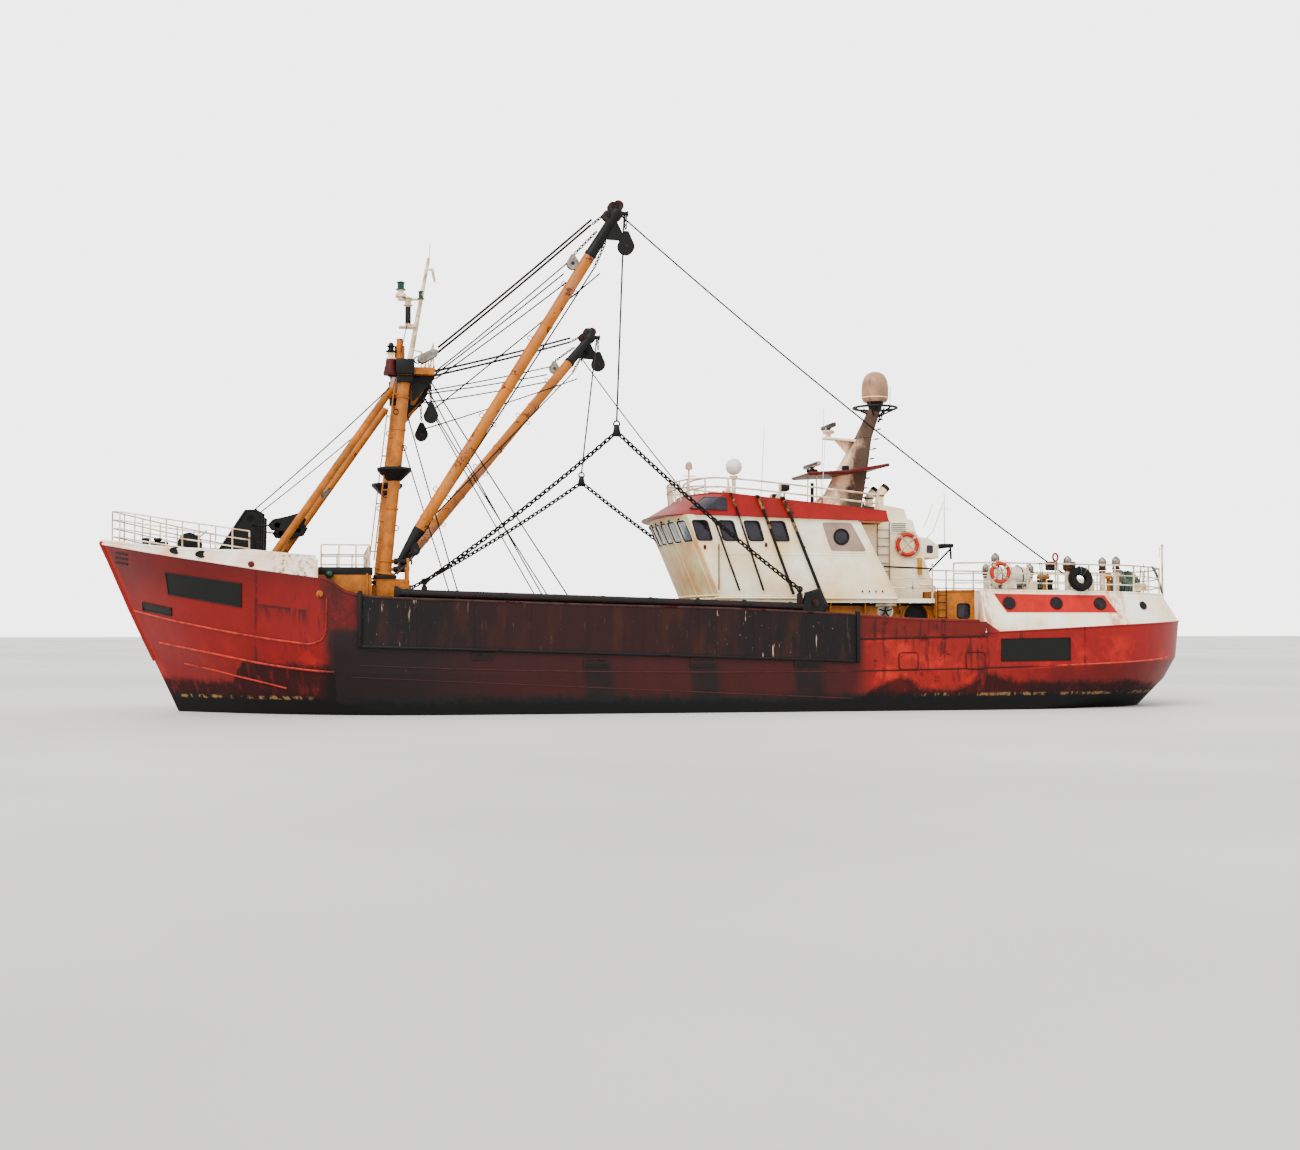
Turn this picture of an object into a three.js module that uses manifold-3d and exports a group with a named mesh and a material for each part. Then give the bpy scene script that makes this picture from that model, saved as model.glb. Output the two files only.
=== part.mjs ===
// Beam trawler afloat, in millimetres. +X runs aft, +Y to starboard and +Z up.
// The origin is amidships on the centreline, at the waterline.
import * as THREE from "three";
import { mergeVertices } from "three/addons/utils/BufferGeometryUtils.js";
import Module from "manifold-3d";

const wasm = await Module();
wasm.setup();

// Driving dimensions
const GAP = 0.3; // between pieces that touch
const HALF_BEAM = 3750;
const DECK_Z = 1100; // working deck
const FORE_END = -10500; // after end of the full-width forecastle
const HOUSE_FRONT = 200;
const HOUSE_BREAK = 7050; // where the low deckhouse meets its wide after part
const POOP_FRONT = 8200;
const STERN_START = 12200; // the sides turn in from here
const BOAT_DECK_Z = 3160;
const POOP_DECK_Z = 3400;
const SIDES = [
  { name: "port", s: -1 },
  { name: "starboard", s: 1 },
];

const PAINT = {
  hullRed: { color: 0xc8391f, roughness: 0.65, metalness: 0.1 },
  rustBrown: { color: 0x4a2a22, roughness: 0.9, metalness: 0.2 },
  ochre: { color: 0xc98a1e, roughness: 0.6, metalness: 0.1 },
  cream: { color: 0xe9dfd2, roughness: 0.55, metalness: 0.05 },
  roofRed: { color: 0xe0381a, roughness: 0.5, metalness: 0.05 },
  black: { color: 0x1f1c1c, roughness: 0.8, metalness: 0.3 },
  steel: { color: 0x77787a, roughness: 0.55, metalness: 0.7 },
  galvanised: { color: 0xb9b8b4, roughness: 0.5, metalness: 0.6 },
  glass: { color: 0x2b3440, roughness: 0.08, metalness: 0.0 },
  lifeRed: { color: 0xe2482a, roughness: 0.6, metalness: 0.0 },
  rubber: { color: 0x141414, roughness: 0.95, metalness: 0.0 },
  bronze: { color: 0x9a7437, roughness: 0.4, metalness: 0.9 },
  deckGreen: { color: 0x2f6b46, roughness: 0.8, metalness: 0.0 },
  engineGrey: { color: 0x5d7f86, roughness: 0.6, metalness: 0.4 },
  seatBlack: { color: 0x26262a, roughness: 0.85, metalness: 0.0 },
};

const boat = new THREE.Group();

// Solids from three.js geometry, and back

function toSolid(geometry) {
  const bare = geometry.index ? geometry.toNonIndexed() : geometry.clone();
  bare.deleteAttribute("normal");
  bare.deleteAttribute("uv");
  const merged = mergeVertices(bare, 1e-3);
  const build = (order) => {
    const triVerts = new Uint32Array(merged.index.count);
    for (let i = 0; i < triVerts.length; i += 3) {
      order.forEach((from, to) => {
        triVerts[i + to] = merged.index.getX(i + from);
      });
    }
    const vertProperties = merged.attributes.position.array;
    return new wasm.Manifold(new wasm.Mesh({ numProp: 3, vertProperties, triVerts }));
  };
  const solid = build([0, 1, 2]);
  return solid.volume() < 0 ? build([0, 2, 1]) : solid;
}

function toGeometry(solid) {
  const mesh = solid.getMesh();
  const positions = new Float32Array(mesh.numVert * 3);
  for (let i = 0; i < mesh.numVert; i += 1) {
    positions.set(mesh.vertProperties.subarray(i * mesh.numProp, i * mesh.numProp + 3), i * 3);
  }
  const geometry = new THREE.BufferGeometry();
  geometry.setAttribute("position", new THREE.BufferAttribute(positions, 3));
  geometry.setIndex(new THREE.BufferAttribute(mesh.triVerts, 1));
  const flat = geometry.toNonIndexed();
  flat.computeVertexNormals();
  return flat;
}

const join = (...solids) => solids.reduce((all, one) => all.add(one));
const cut = (solid, ...tools) => tools.reduce((left, tool) => left.subtract(tool), solid);

function addPiece(name, solid, paint) {
  const mesh = new THREE.Mesh(toGeometry(solid), new THREE.MeshStandardMaterial(paint));
  mesh.name = name;
  boat.add(mesh);
}

// Simple forms

function block([x0, x1], [y0, y1], [z0, z1]) {
  const box = new THREE.BoxGeometry(x1 - x0, y1 - y0, z1 - z0);
  return toSolid(box.translate((x0 + x1) / 2, (y0 + y1) / 2, (z0 + z1) / 2));
}

// A spar turned to a profile of [radius, distance] along the line from one point to another.
function spar(from, to, profile, sides = 16) {
  const a = new THREE.Vector3(...from);
  const along = new THREE.Vector3(...to).sub(a).normalize();
  const shape = new THREE.LatheGeometry(profile.map(([r, d]) => new THREE.Vector2(r, d)), sides);
  shape.applyQuaternion(new THREE.Quaternion().setFromUnitVectors(new THREE.Vector3(0, 1, 0), along));
  return toSolid(shape.translate(a.x, a.y, a.z));
}

// A rod or cone from one point to another.
function rod(from, to, radius, endRadius = radius, sides = 12) {
  const length = new THREE.Vector3(...from).distanceTo(new THREE.Vector3(...to));
  return spar(from, to, [[0, 0], [radius, 0], [endRadius, length], [0, length]], sides);
}

function ball([x, y, z], radius, sides = 12) {
  return toSolid(new THREE.SphereGeometry(radius, sides, sides / 2).translate(x, y, z));
}

// A ring of round section lying square to an axis.
function ring([x, y, z], axis, radius, thickness, sides = 24) {
  const shape = new THREE.TorusGeometry(radius, thickness, 8, sides);
  if (axis === "x") shape.rotateY(Math.PI / 2);
  if (axis === "y") shape.rotateX(Math.PI / 2);
  return toSolid(shape.translate(x, y, z));
}

// An outline in one plane, pushed out between two places on the third axis.
const PLANES = {
  xz: { u: [1, 0, 0], v: [0, 0, 1], w: [0, -1, 0] },
  xy: { u: [1, 0, 0], v: [0, 1, 0], w: [0, 0, 1] },
  yz: { u: [0, 1, 0], v: [0, 0, 1], w: [1, 0, 0] },
};

function plate(plane, outline, low, high) {
  const shape = outline instanceof THREE.Shape ? outline
    : new THREE.Shape(outline.map(([u, v]) => new THREE.Vector2(u, v)));
  const made = new THREE.ExtrudeGeometry(shape, {
    depth: high - low, bevelEnabled: false, curveSegments: 10,
  });
  const { u, v, w } = PLANES[plane];
  const basis = [u, v, w].map((axis) => new THREE.Vector3(...axis));
  made.applyMatrix4(new THREE.Matrix4().makeBasis(...basis));
  const start = w[1] < 0 ? [0, high, 0] : [w[0] * low, 0, w[2] * low];
  return toSolid(made.translate(...start));
}

// A turned form: its profile of [radius, height] starts and ends on the axis.
function turned([x, y, z], axis, profile, sides = 16) {
  const points = profile.map(([r, h]) => new THREE.Vector2(r, h));
  const shape = new THREE.LatheGeometry(points, sides);
  if (axis === "z") shape.rotateX(Math.PI / 2);
  if (axis === "x") shape.rotateZ(-Math.PI / 2);
  return toSolid(shape.translate(x, y, z));
}

// Flat-sided body through rings of points, closed at both ends.
function loft(rings, capPairs) {
  const size = rings[0].length;
  const points = rings.flat();
  const faces = [];
  for (let i = 0; i + 1 < rings.length; i += 1) {
    for (let k = 0; k < size; k += 1) {
      const a = i * size + k;
      const b = i * size + ((k + 1) % size);
      faces.push([a, b, b + size], [a, b + size, a + size]);
    }
  }
  const last = (rings.length - 1) * size;
  capPairs.forEach(([p, q, r]) => {
    faces.push([p, r, q], [last + p, last + q, last + r]);
  });
  const corners = faces.flat().map((index) => points[index]).flat();
  const shape = new THREE.BufferGeometry();
  shape.setAttribute("position", new THREE.BufferAttribute(new Float32Array(corners), 3));
  return toSolid(shape);
}

const fanCaps = (size) => Array.from({ length: size - 2 }, (_, i) => [0, i + 1, i + 2]);

// A body alike on both sides: each row holds [x, half-breadth, height] from its lowest line up.
function mirrored(rows) {
  const lines = rows[0].length;
  const rings = rows.map((row) => [
    ...row.map(([x, y, z]) => [x, -y, z]),
    ...row.toReversed().map(([x, y, z]) => [x, y, z]),
  ]);
  const caps = [];
  for (let j = 0; j + 1 < lines; j += 1) {
    const far = 2 * lines - 1 - j;
    caps.push([j, j + 1, far - 1], [j, far - 1, far]);
  }
  return loft(rings, caps);
}

// A smooth, never overshooting curve through knots of [place, value].
function through(knots) {
  const slope = (i) => (knots[i + 1][1] - knots[i][1]) / (knots[i + 1][0] - knots[i][0]);
  const tangents = knots.map((_, i) => {
    if (i === 0) return slope(0);
    if (i === knots.length - 1) return slope(i - 1);
    const [before, after] = [slope(i - 1), slope(i)];
    return before * after <= 0 ? 0 : (2 * before * after) / (before + after);
  });
  return (x) => {
    if (x <= knots[0][0]) return knots[0][1];
    const last = knots.length - 1;
    if (x >= knots[last][0]) return knots[last][1];
    const i = knots.findIndex((knot) => x < knot[0]) - 1;
    const span = knots[i + 1][0] - knots[i][0];
    const t = (x - knots[i][0]) / span;
    const ease = t * t * (3 - 2 * t);
    const swing = span * (t * (1 - t) ** 2 * tangents[i] - t * t * (1 - t) * tangents[i + 1]);
    return knots[i][1] * (1 - ease) + knots[i + 1][1] * ease + swing;
  };
}

// Straight stretches between knots of [place, value].
function straight(knots) {
  return (x) => {
    const last = knots.length - 1;
    if (x <= knots[0][0]) return knots[0][1];
    if (x >= knots[last][0]) return knots[last][1];
    const i = knots.findIndex((knot) => x < knot[0]) - 1;
    const part = (x - knots[i][0]) / (knots[i + 1][0] - knots[i][0]);
    return knots[i][1] + part * (knots[i + 1][1] - knots[i][1]);
  };
}

// Hull lines, from the keel up. Knots are [x, half-breadth, height]; each line starts on the stem,
// runs to where the stern turns in, and ends on the centreline at its own sternmost place.
const HULL_LINES = {
  keel: {
    knots: [[-12000, 30, -2950], [-9000, 130, -3080], [0, 150, -3180], [7000, 150, -3180],
      [10400, 160, -1500], [STERN_START, 160, -800]],
    end: [13600, -620],
  },
  bilge: {
    knots: [[-13550, 30, -1650], [-11000, 900, -2150], [-7000, 2300, -2500], [0, 2750, -2600],
      [6000, 2500, -2250], [10400, 1900, -1050], [STERN_START, 1600, -640]],
    end: [14100, -430],
  },
  chine: {
    knots: [[-14980, 30, 1430], [-14400, 560, 1290], [-11900, 2500, 750], [-9800, 3250, 260],
      [-7000, 3600, -300], [0, 3680, -560], [6000, 3640, -420], [10000, 3520, 60],
      [STERN_START, 3300, 520]],
    end: [15150, 900],
  },
  deck: {
    knots: [[-15270, 30, 2030], [-14500, 900, 1880], [-13400, 1900, 1670], [-11400, 3000, 1300],
      [-10000, 3470, 1160], [-8000, 3700, DECK_Z], [-5000, HALF_BEAM, DECK_Z],
      [8000, HALF_BEAM, DECK_Z], [STERN_START, 3700, 1330]],
    end: [15470, 1500],
  },
  knuckle: {
    knots: [[-15650, 30, 2850], [-13900, 1800, 2440], [-11300, 3280, 1980], [-10000, 3620, 1850],
      [-8000, 3730, 1840], [-5000, HALF_BEAM, 1740], [4400, HALF_BEAM, 1440],
      [STERN_START, 3720, 1700]],
    end: [15550, 1900],
  },
  sheer: {
    knots: [[-16440, 30, 4690], [-15500, 1150, 4500], [-14500, 1980, 4310], [-13300, 2700, 4110],
      [-12000, 3260, 3900], [-10700, 3560, 3720], [-9500, 3690, 3560], [-8000, HALF_BEAM, 3400],
      [STERN_START, 3720, 2410]],
    end: [15600, 2560],
  },
};

const ENTRY_END = -8000;
const ENTRY_STEPS = [0, 0.06, 0.13, 0.22, 0.32, 0.44, 0.57, 0.7, 0.85];
const MIDSHIP_PLACES = [ENTRY_END, -5000, 0, 4400, 8000, 10200];
const STERN_TURNS = [0, 18, 36, 52, 66, 78, 90];

const STERN_HALF = 20; // half-breadth left at the sternmost place of each line

// A line's stations in step with those of every other line; astern of the turn it is a quarter ellipse.
function stationsOf({ knots, end }) {
  const stem = knots[0][0];
  const breadth = through(knots.map(([x, y]) => [x, y]));
  const height = through([...knots.map(([x, , z]) => [x, z]), end]);
  const entry = ENTRY_STEPS.map((part) => stem + part * (ENTRY_END - stem));
  const stern = STERN_TURNS.map((turn) => {
    const angle = THREE.MathUtils.degToRad(turn);
    const x = STERN_START + Math.sin(angle) * (end[0] - STERN_START);
    return [x, Math.max(breadth(STERN_START) * Math.cos(angle), STERN_HALF), height(x)];
  });
  return [...[...entry, ...MIDSHIP_PLACES].map((x) => [x, breadth(x), height(x)]), ...stern];
}

for (const line of Object.values(HULL_LINES)) {
  line.stations = stationsOf(line);
  line.breadth = straight(line.stations.map(([x, y]) => [x, y]));
  line.height = straight(line.stations.map(([x, , z]) => [x, z]));
}

// The point [x, half-breadth, height] of a line as plated, straight between its stations.
const onLine = (line, x) => [x, line.breadth(x), line.height(x)];
const sternStations = (line) => line.stations.slice(-STERN_TURNS.length);

// The hull below the deck, with its pocket for the engine

const ENGINE_ROOM = { x: [2200, 6800], y: [-1700, 1700], floor: -2100 };
const SHAFT = { z: -2050, end: 11350 };
const SOLE_TOP = -3080; // of the bar under the propeller that carries the rudder

function hull() {
  const lines = [HULL_LINES.keel, HULL_LINES.bilge, HULL_LINES.chine, HULL_LINES.deck];
  const rows = lines[0].stations.map((_, i) => lines.map((line) => line.stations[i]));
  const room = block(ENGINE_ROOM.x, ENGINE_ROOM.y, [ENGINE_ROOM.floor, DECK_Z + 100]);
  const skeg = plate("xz", [[6500, -3180], [12900, -3180], [12900, SOLE_TOP], [11000, SOLE_TOP],
    [10700, -2300], [10700, -1100], [6500, -1100]], -150, 150);
  const boss = rod([9600, 0, SHAFT.z], [11150, 0, SHAFT.z], 210, 170);
  const shaft = rod([11100, 0, SHAFT.z], [SHAFT.end, 0, SHAFT.z], 70);
  return join(cut(mirrored(rows), room), skeg, boss, shaft);
}

addPiece("hull", hull(), PAINT.hullRed);
addPiece("engine", join(
  block([2500, 6100], [-650, 650], [ENGINE_ROOM.floor + GAP, -350]),
  block([2700, 5900], [-350, 350], [-400, 100]),
), PAINT.engineGrey);

// Upper works forward

const FORE_STATIONS = ENTRY_STEPS.filter((part) => part < 0.6).length;
const foreRows = (line) => [...line.stations.slice(0, FORE_STATIONS), onLine(line, FORE_END)];
const lifted = (rows, rise) => rows.map(([x, y, z]) => [x, y, z + rise]);

function forecastle() {
  const foot = lifted(foreRows(HULL_LINES.deck), GAP);
  const knuckle = foreRows(HULL_LINES.knuckle);
  const sheer = foreRows(HULL_LINES.sheer);
  return mirrored(foot.map((row, i) => [row, knuckle[i], sheer[i]]));
}

addPiece("forecastle", forecastle(), PAINT.hullRed);

// The pale plating that stands on the forecastle's edge, higher aft than at the stem.
const BAND_THICKNESS = 60;
const bandTop = through([[-16440, 4770], [-14500, 4500], [-13100, 4390], [-12500, 4310],
  [-11000, 4150], [FORE_END, 4110]]);

// One side, from the stem aft; the two sides run into each other at the stem.
function bowBand(s) {
  return loft(lifted(foreRows(HULL_LINES.sheer), GAP).map(([x, y, base]) => {
    const inner = y - BAND_THICKNESS;
    const top = bandTop(x);
    return [[x, s * y, base], [x, s * y, top], [x, s * inner, top], [x, s * inner, base]];
  }), fanCaps(4));
}

addPiece("bow_band", join(bowBand(-1), bowBand(1)), PAINT.cream);

// Yellow house at the after end of the forecastle, set in from the side
addPiece("forecastle_house", cut(
  block([FORE_END + GAP, -9080], [-3250, 3250], [HULL_LINES.deck.height(FORE_END) + GAP, 3960]),
  block([-9200, -9000], [900, 1650], [1350, 3150]),
), PAINT.ochre);

// Bulwarks of the working deck

const BULWARK_THICKNESS = 70;
const bulwarkTop = through([[FORE_END, 3690], [-10180, 3560], [-9970, 3400], [-9790, 3290],
  [-9450, 3200], [-9000, 3130], [-6200, 3030], [-3000, 2930], [400, 2850], [4350, 2680],
  [6200, 2560], [POOP_FRONT, 2520]]);
const BULWARK_PLACES = [FORE_END + GAP, -10180, -9970, -9790, -9450, -9000, -8000, -6500, -5000,
  -2500, 0, 2200, 4400, 6200, 8000, POOP_FRONT - GAP,
  ...[HULL_LINES.deck, HULL_LINES.sheer].flatMap((line) => line.stations.map(([x]) => x))
    .filter((x) => x > FORE_END + 50 && x < ENTRY_END - 50),
].sort((a, b) => a - b);
const STANCHIONS = { first: -8200, pitch: 1640, count: 10, reach: 260, thickness: 30 };

function bulwark(s) {
  const wall = loft(BULWARK_PLACES.map((x) => {
    const foot = onLine(HULL_LINES.deck, x);
    const crown = onLine(HULL_LINES.sheer, x);
    const top = bulwarkTop(x);
    return [
      [x, s * foot[1], foot[2] + GAP],
      [x, s * crown[1], top],
      [x, s * (crown[1] - BULWARK_THICKNESS), top],
      [x, s * (foot[1] - BULWARK_THICKNESS), foot[2] + GAP],
    ];
  }), fanCaps(4));
  const inside = HALF_BEAM - BULWARK_THICKNESS;
  const stays = Array.from({ length: STANCHIONS.count }, (_, i) => {
    const x = STANCHIONS.first + i * STANCHIONS.pitch;
    const top = bulwarkTop(x) - 150;
    const outline = [[inside + 20, DECK_Z + 5], [inside - STANCHIONS.reach, DECK_Z + 5],
      [inside - 60, top], [inside + 20, top]];
    return plate("yz", outline.map(([y, z]) => [s * y, z]), x, x + STANCHIONS.thickness);
  });
  return join(wall, ...stays);
}

// Thick rubbing plates bolted outside the bulwarks
const DOUBLER = { from: -9450, to: 4400, thickness: 90, endBar: 110 };
const doublerFoot = through([[-9450, 1850], [-3000, 1660], [4400, 1410]]);

function doubler(s) {
  const skin = (from, to, proud) => loft([from, ...BULWARK_PLACES.filter((x) => x > from && x < to), to]
    .map((x) => {
      const inner = Math.max(HULL_LINES.sheer.breadth(x), HULL_LINES.deck.breadth(x)) + GAP;
      const [low, high] = [doublerFoot(x), bulwarkTop(x) + 30];
      return [[x, s * inner, low], [x, s * (inner + proud), low],
        [x, s * (inner + proud), high], [x, s * inner, high]];
    }), fanCaps(4));
  return join(
    skin(DOUBLER.from, DOUBLER.to, DOUBLER.thickness),
    skin(DOUBLER.from, DOUBLER.from + DOUBLER.endBar, DOUBLER.thickness + 50),
    skin(DOUBLER.to - DOUBLER.endBar, DOUBLER.to, DOUBLER.thickness + 50),
  );
}

SIDES.forEach(({ name, s }) => {
  addPiece(`bulwark_${name}`, bulwark(s), PAINT.hullRed);
  addPiece(`doubler_${name}`, doubler(s), PAINT.rustBrown);
});

// Poop: red plating up to the boundary, pale house above it with its sides leaning in

const POOP_LEAN = 380;

const STERN_END = HULL_LINES.sheer.end[0];
const boundaryZ = through([[POOP_FRONT, 2200], [10400, 2310], [12300, 2410], [14200, 2500],
  HULL_LINES.sheer.end]);
const poopEdge = through([[POOP_FRONT, POOP_DECK_Z + 30], [13000, POOP_DECK_Z - 30],
  [STERN_END, POOP_DECK_Z - 100]]);
const poopRows = (line) => [POOP_FRONT, 10200].map((x) => onLine(line, x))
  .concat(sternStations(line));
const boundaryRows = poopRows(HULL_LINES.sheer).map(([x, y]) => [x, y, boundaryZ(x)]);

// The poop's top edge above a place on the boundary, drawn in all round by the lean.
function poopTop([x, y]) {
  const drawn = Math.max(0, (x - STERN_START) / (STERN_END - STERN_START)) * POOP_LEAN;
  return [x - drawn, Math.max(y - POOP_LEAN, STERN_HALF), poopEdge(x)];
}

const deckRows = lifted(poopRows(HULL_LINES.deck), GAP);
addPiece("stern_plating", mirrored(deckRows.map((row, i) => [row, boundaryRows[i]])), PAINT.hullRed);
addPiece("poop_house", mirrored(lifted(boundaryRows, GAP).map((row, i) => [
  row, poopTop(boundaryRows[i]),
])), PAINT.cream);
const poopTopRows = boundaryRows.map(poopTop);
const poopTopBreadth = straight(poopTopRows.map(([x, y]) => [x, y]));
const poopTopHeight = straight(poopTopRows.map(([x, , z]) => [x, z]));

// Deckhouse under the wheelhouse, open above to the boat deck, with its arched door

const WALL = 60;
const DECKHOUSE_HALF = 2450;
const AFTER_HOUSE_HALF = 2850;
const HOUSE_TOP = BOAT_DECK_Z - 80;
const ARCH = { x: 6550, half: 340, sill: DECK_Z + 180, spring: 2670 };

function archOutline(grow) {
  const shape = new THREE.Shape();
  const half = ARCH.half + grow;
  shape.moveTo(ARCH.x - half, ARCH.sill - grow);
  shape.lineTo(ARCH.x + half, ARCH.sill - grow);
  shape.lineTo(ARCH.x + half, ARCH.spring);
  shape.absarc(ARCH.x, ARCH.spring, half, 0, Math.PI, false);
  return shape;
}

const deckhouseWalls = cut(
  block([HOUSE_FRONT, HOUSE_BREAK], [-DECKHOUSE_HALF, DECKHOUSE_HALF], [DECK_Z + GAP, HOUSE_TOP]),
  block([HOUSE_FRONT + WALL, HOUSE_BREAK - WALL],
    [-DECKHOUSE_HALF + WALL, DECKHOUSE_HALF - WALL], [DECK_Z - 10, HOUSE_TOP + 10]),
  plate("xz", archOutline(0), -DECKHOUSE_HALF - 50, -DECKHOUSE_HALF + WALL + 50),
  block([HOUSE_FRONT - 50, HOUSE_FRONT + WALL + 50], [1000, 1700], [DECK_Z + 200, HOUSE_TOP - 130]),
);
const HINGE = { x: ARCH.x + ARCH.half - 30, y: -DECKHOUSE_HALF - 45, z: [1500, 2600], radius: 22 };
const lugZ = [HINGE.z[0] - 60, HINGE.z[0] - GAP];
// Under the pin, clear of the door's edge as it swings, and carried by the wall aft of it
const hingeLug = [
  block([HINGE.x - 25, HINGE.x + 80], [HINGE.y - 25, HINGE.y + HINGE.radius], lugZ),
  block([HINGE.x + 35, HINGE.x + 80], [HINGE.y - 25, -DECKHOUSE_HALF + 10], lugZ),
];
addPiece("deckhouse", join(deckhouseWalls, ...hingeLug), PAINT.ochre);

const afterHouse = cut(
  block([HOUSE_BREAK + GAP, POOP_FRONT - GAP], [-AFTER_HOUSE_HALF, AFTER_HOUSE_HALF],
    [HULL_LINES.deck.height(POOP_FRONT) + GAP, POOP_DECK_Z]),
  block([HOUSE_BREAK + WALL, POOP_FRONT - WALL],
    [-AFTER_HOUSE_HALF + WALL, AFTER_HOUSE_HALF - WALL], [DECK_Z - 50, POOP_DECK_Z - WALL]),
  block([7620, 8080], [-AFTER_HOUSE_HALF - 50, AFTER_HOUSE_HALF + 50], [2590, 3080]),
);
addPiece("deckhouse_after", afterHouse, PAINT.ochre);

addPiece("deckhouse_door", join(
  plate("xz", archOutline(-6), -DECKHOUSE_HALF + 1, -DECKHOUSE_HALF + 45),
  rod([HINGE.x, HINGE.y, HINGE.z[0]], [HINGE.x, HINGE.y, HINGE.z[1]], HINGE.radius),
  block([ARCH.x + ARCH.half - 60, ARCH.x + ARCH.half - 6],
    [-DECKHOUSE_HALF - 45, -DECKHOUSE_HALF + 10], [1600, 2500]),
), PAINT.black);

addPiece("boat_deck", block([HOUSE_FRONT, HOUSE_BREAK - GAP], [-2690, 2690],
  [HOUSE_TOP + GAP, BOAT_DECK_Z]), PAINT.deckGreen);

// Wheelhouse: front, two sides that run on aft as raked screens, after wall, glass and roof

const SIDE_OUT = 2750;
const WINDOW_BAND = [4810, 5370];
// Underside of the roof, a plane that falls going aft
const ROOF_AFT = 5620;
const underRoof = (x) => 5402 + 0.0235 * (ROOF_AFT - x);
const FRONT_BULGE = 380;
// Fore-and-aft place of the raked front at the centreline
const frontAt = (z) => 300 - 0.42 * (z - BOAT_DECK_Z);
const FRONT_STEPS = 12;

const bulgeAt = (y) => FRONT_BULGE * (y / SIDE_OUT) ** 2;
const frontTop = (y) => underRoof(frontAt(5550) + bulgeAt(y) + WALL) - GAP;

function frontSlab(offset, thickness, z0, topOf, half) {
  const ys = Array.from({ length: FRONT_STEPS + 1 }, (_, i) => -half + (2 * half * i) / FRONT_STEPS);
  return loft(ys.map((y) => {
    const z1 = topOf(y);
    const x = (z) => frontAt(z) + bulgeAt(y) + offset;
    return [[x(z0), y, z0], [x(z1), y, z1], [x(z1) + thickness, y, z1], [x(z0) + thickness, y, z0]];
  }), fanCaps(4));
}

const FRONT_WINDOWS = { count: 7, pitch: 740, width: 560 };
const frontHoles = Array.from({ length: FRONT_WINDOWS.count }, (_, i) => {
  const y = (i - (FRONT_WINDOWS.count - 1) / 2) * FRONT_WINDOWS.pitch;
  return block([-1400, 900], [y - FRONT_WINDOWS.width / 2, y + FRONT_WINDOWS.width / 2], WINDOW_BAND);
});
addPiece("wheelhouse_front", cut(
  frontSlab(0, WALL, BOAT_DECK_Z + GAP, frontTop, SIDE_OUT - WALL - 1),
  ...frontHoles,
), PAINT.cream);

const SIDE_AFT_TOP = 4720;
const SIDE_AFT_FOOT = 5900;
const SIDE_WINDOW = { first: -180, pitch: 750, width: 440, lean: 180, count: 4 };

function sideOutline() {
  const foot = frontAt(BOAT_DECK_Z) + FRONT_BULGE;
  const top = frontAt(5540) + FRONT_BULGE;
  return [[foot, BOAT_DECK_Z + GAP], [SIDE_AFT_FOOT, BOAT_DECK_Z + GAP],
    [SIDE_AFT_TOP, underRoof(SIDE_AFT_TOP) - GAP], [top, underRoof(top) - GAP]];
}

function leaningHole(x, width, lean, [z0, z1]) {
  return [[x + lean, z0], [x + width + lean, z0], [x + width, z1], [x, z1]];
}

function wheelhouseSide(s) {
  const faces = s < 0 ? [-SIDE_OUT, -SIDE_OUT + WALL] : [SIDE_OUT - WALL, SIDE_OUT];
  const across = [faces[0] - 40, faces[1] + 40];
  const windows = Array.from({ length: SIDE_WINDOW.count }, (_, i) => plate("xz",
    leaningHole(SIDE_WINDOW.first + i * SIDE_WINDOW.pitch, SIDE_WINDOW.width, SIDE_WINDOW.lean,
      WINDOW_BAND), ...across));
  const porthole = rod([4210, across[0], 4950], [4210, across[1], 4950], 200, 200, 20);
  return cut(plate("xz", sideOutline(), ...faces), ...windows, porthole);
}

SIDES.forEach(({ name, s }) => {
  addPiece(`wheelhouse_side_${name}`, wheelhouseSide(s), PAINT.cream);
});

const AFT_WALL = 4640;
const AFT_DOOR = { y: [-2600, -1950], z: [BOAT_DECK_Z + 120, 5050] };
addPiece("wheelhouse_aft", cut(
  block([AFT_WALL, AFT_WALL + WALL], [-SIDE_OUT + WALL + 1, SIDE_OUT - WALL - 1],
    [BOAT_DECK_Z + GAP, underRoof(AFT_WALL + WALL) - GAP]),
  block([AFT_WALL - 50, AFT_WALL + WALL + 50], AFT_DOOR.y, AFT_DOOR.z),
), PAINT.cream);

const DOOR_HINGE = { x: AFT_WALL + WALL + 25, y: -1920 };
addPiece("wheelhouse_door", join(
  block([AFT_WALL + 10, AFT_WALL + WALL], [AFT_DOOR.y[0] + 12, AFT_DOOR.y[1] - 6],
    [AFT_DOOR.z[0] + 6, AFT_DOOR.z[1] - 6]),
  block([AFT_WALL + WALL, AFT_WALL + WALL + 25], [-2040, DOOR_HINGE.y], [3500, 4900]),
), PAINT.cream);

const glassThickness = 14;
const GLASS_BAND = [4740, 5390];
const glassFront = frontSlab(WALL + GAP, glassThickness, GLASS_BAND[0], () => GLASS_BAND[1],
  SIDE_OUT - WALL - 1);
const glassCorner = (z) => frontAt(z) + FRONT_BULGE * ((SIDE_OUT - WALL - 1) / SIDE_OUT) ** 2 + WALL + 8;
function glassSide(s) {
  const inner = SIDE_OUT - WALL - 1 - glassThickness;
  const y = s < 0 ? [-inner - glassThickness + 0.5, -inner] : [inner, inner + glassThickness - 0.5];
  const [low, high] = GLASS_BAND;
  return plate("xz", [[glassCorner(low), low], [AFT_WALL - 60, low], [AFT_WALL - 60, high],
    [glassCorner(high), high]], ...y);
}
addPiece("wheelhouse_glass", join(glassFront, glassSide(-1), glassSide(1)), PAINT.glass);

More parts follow.
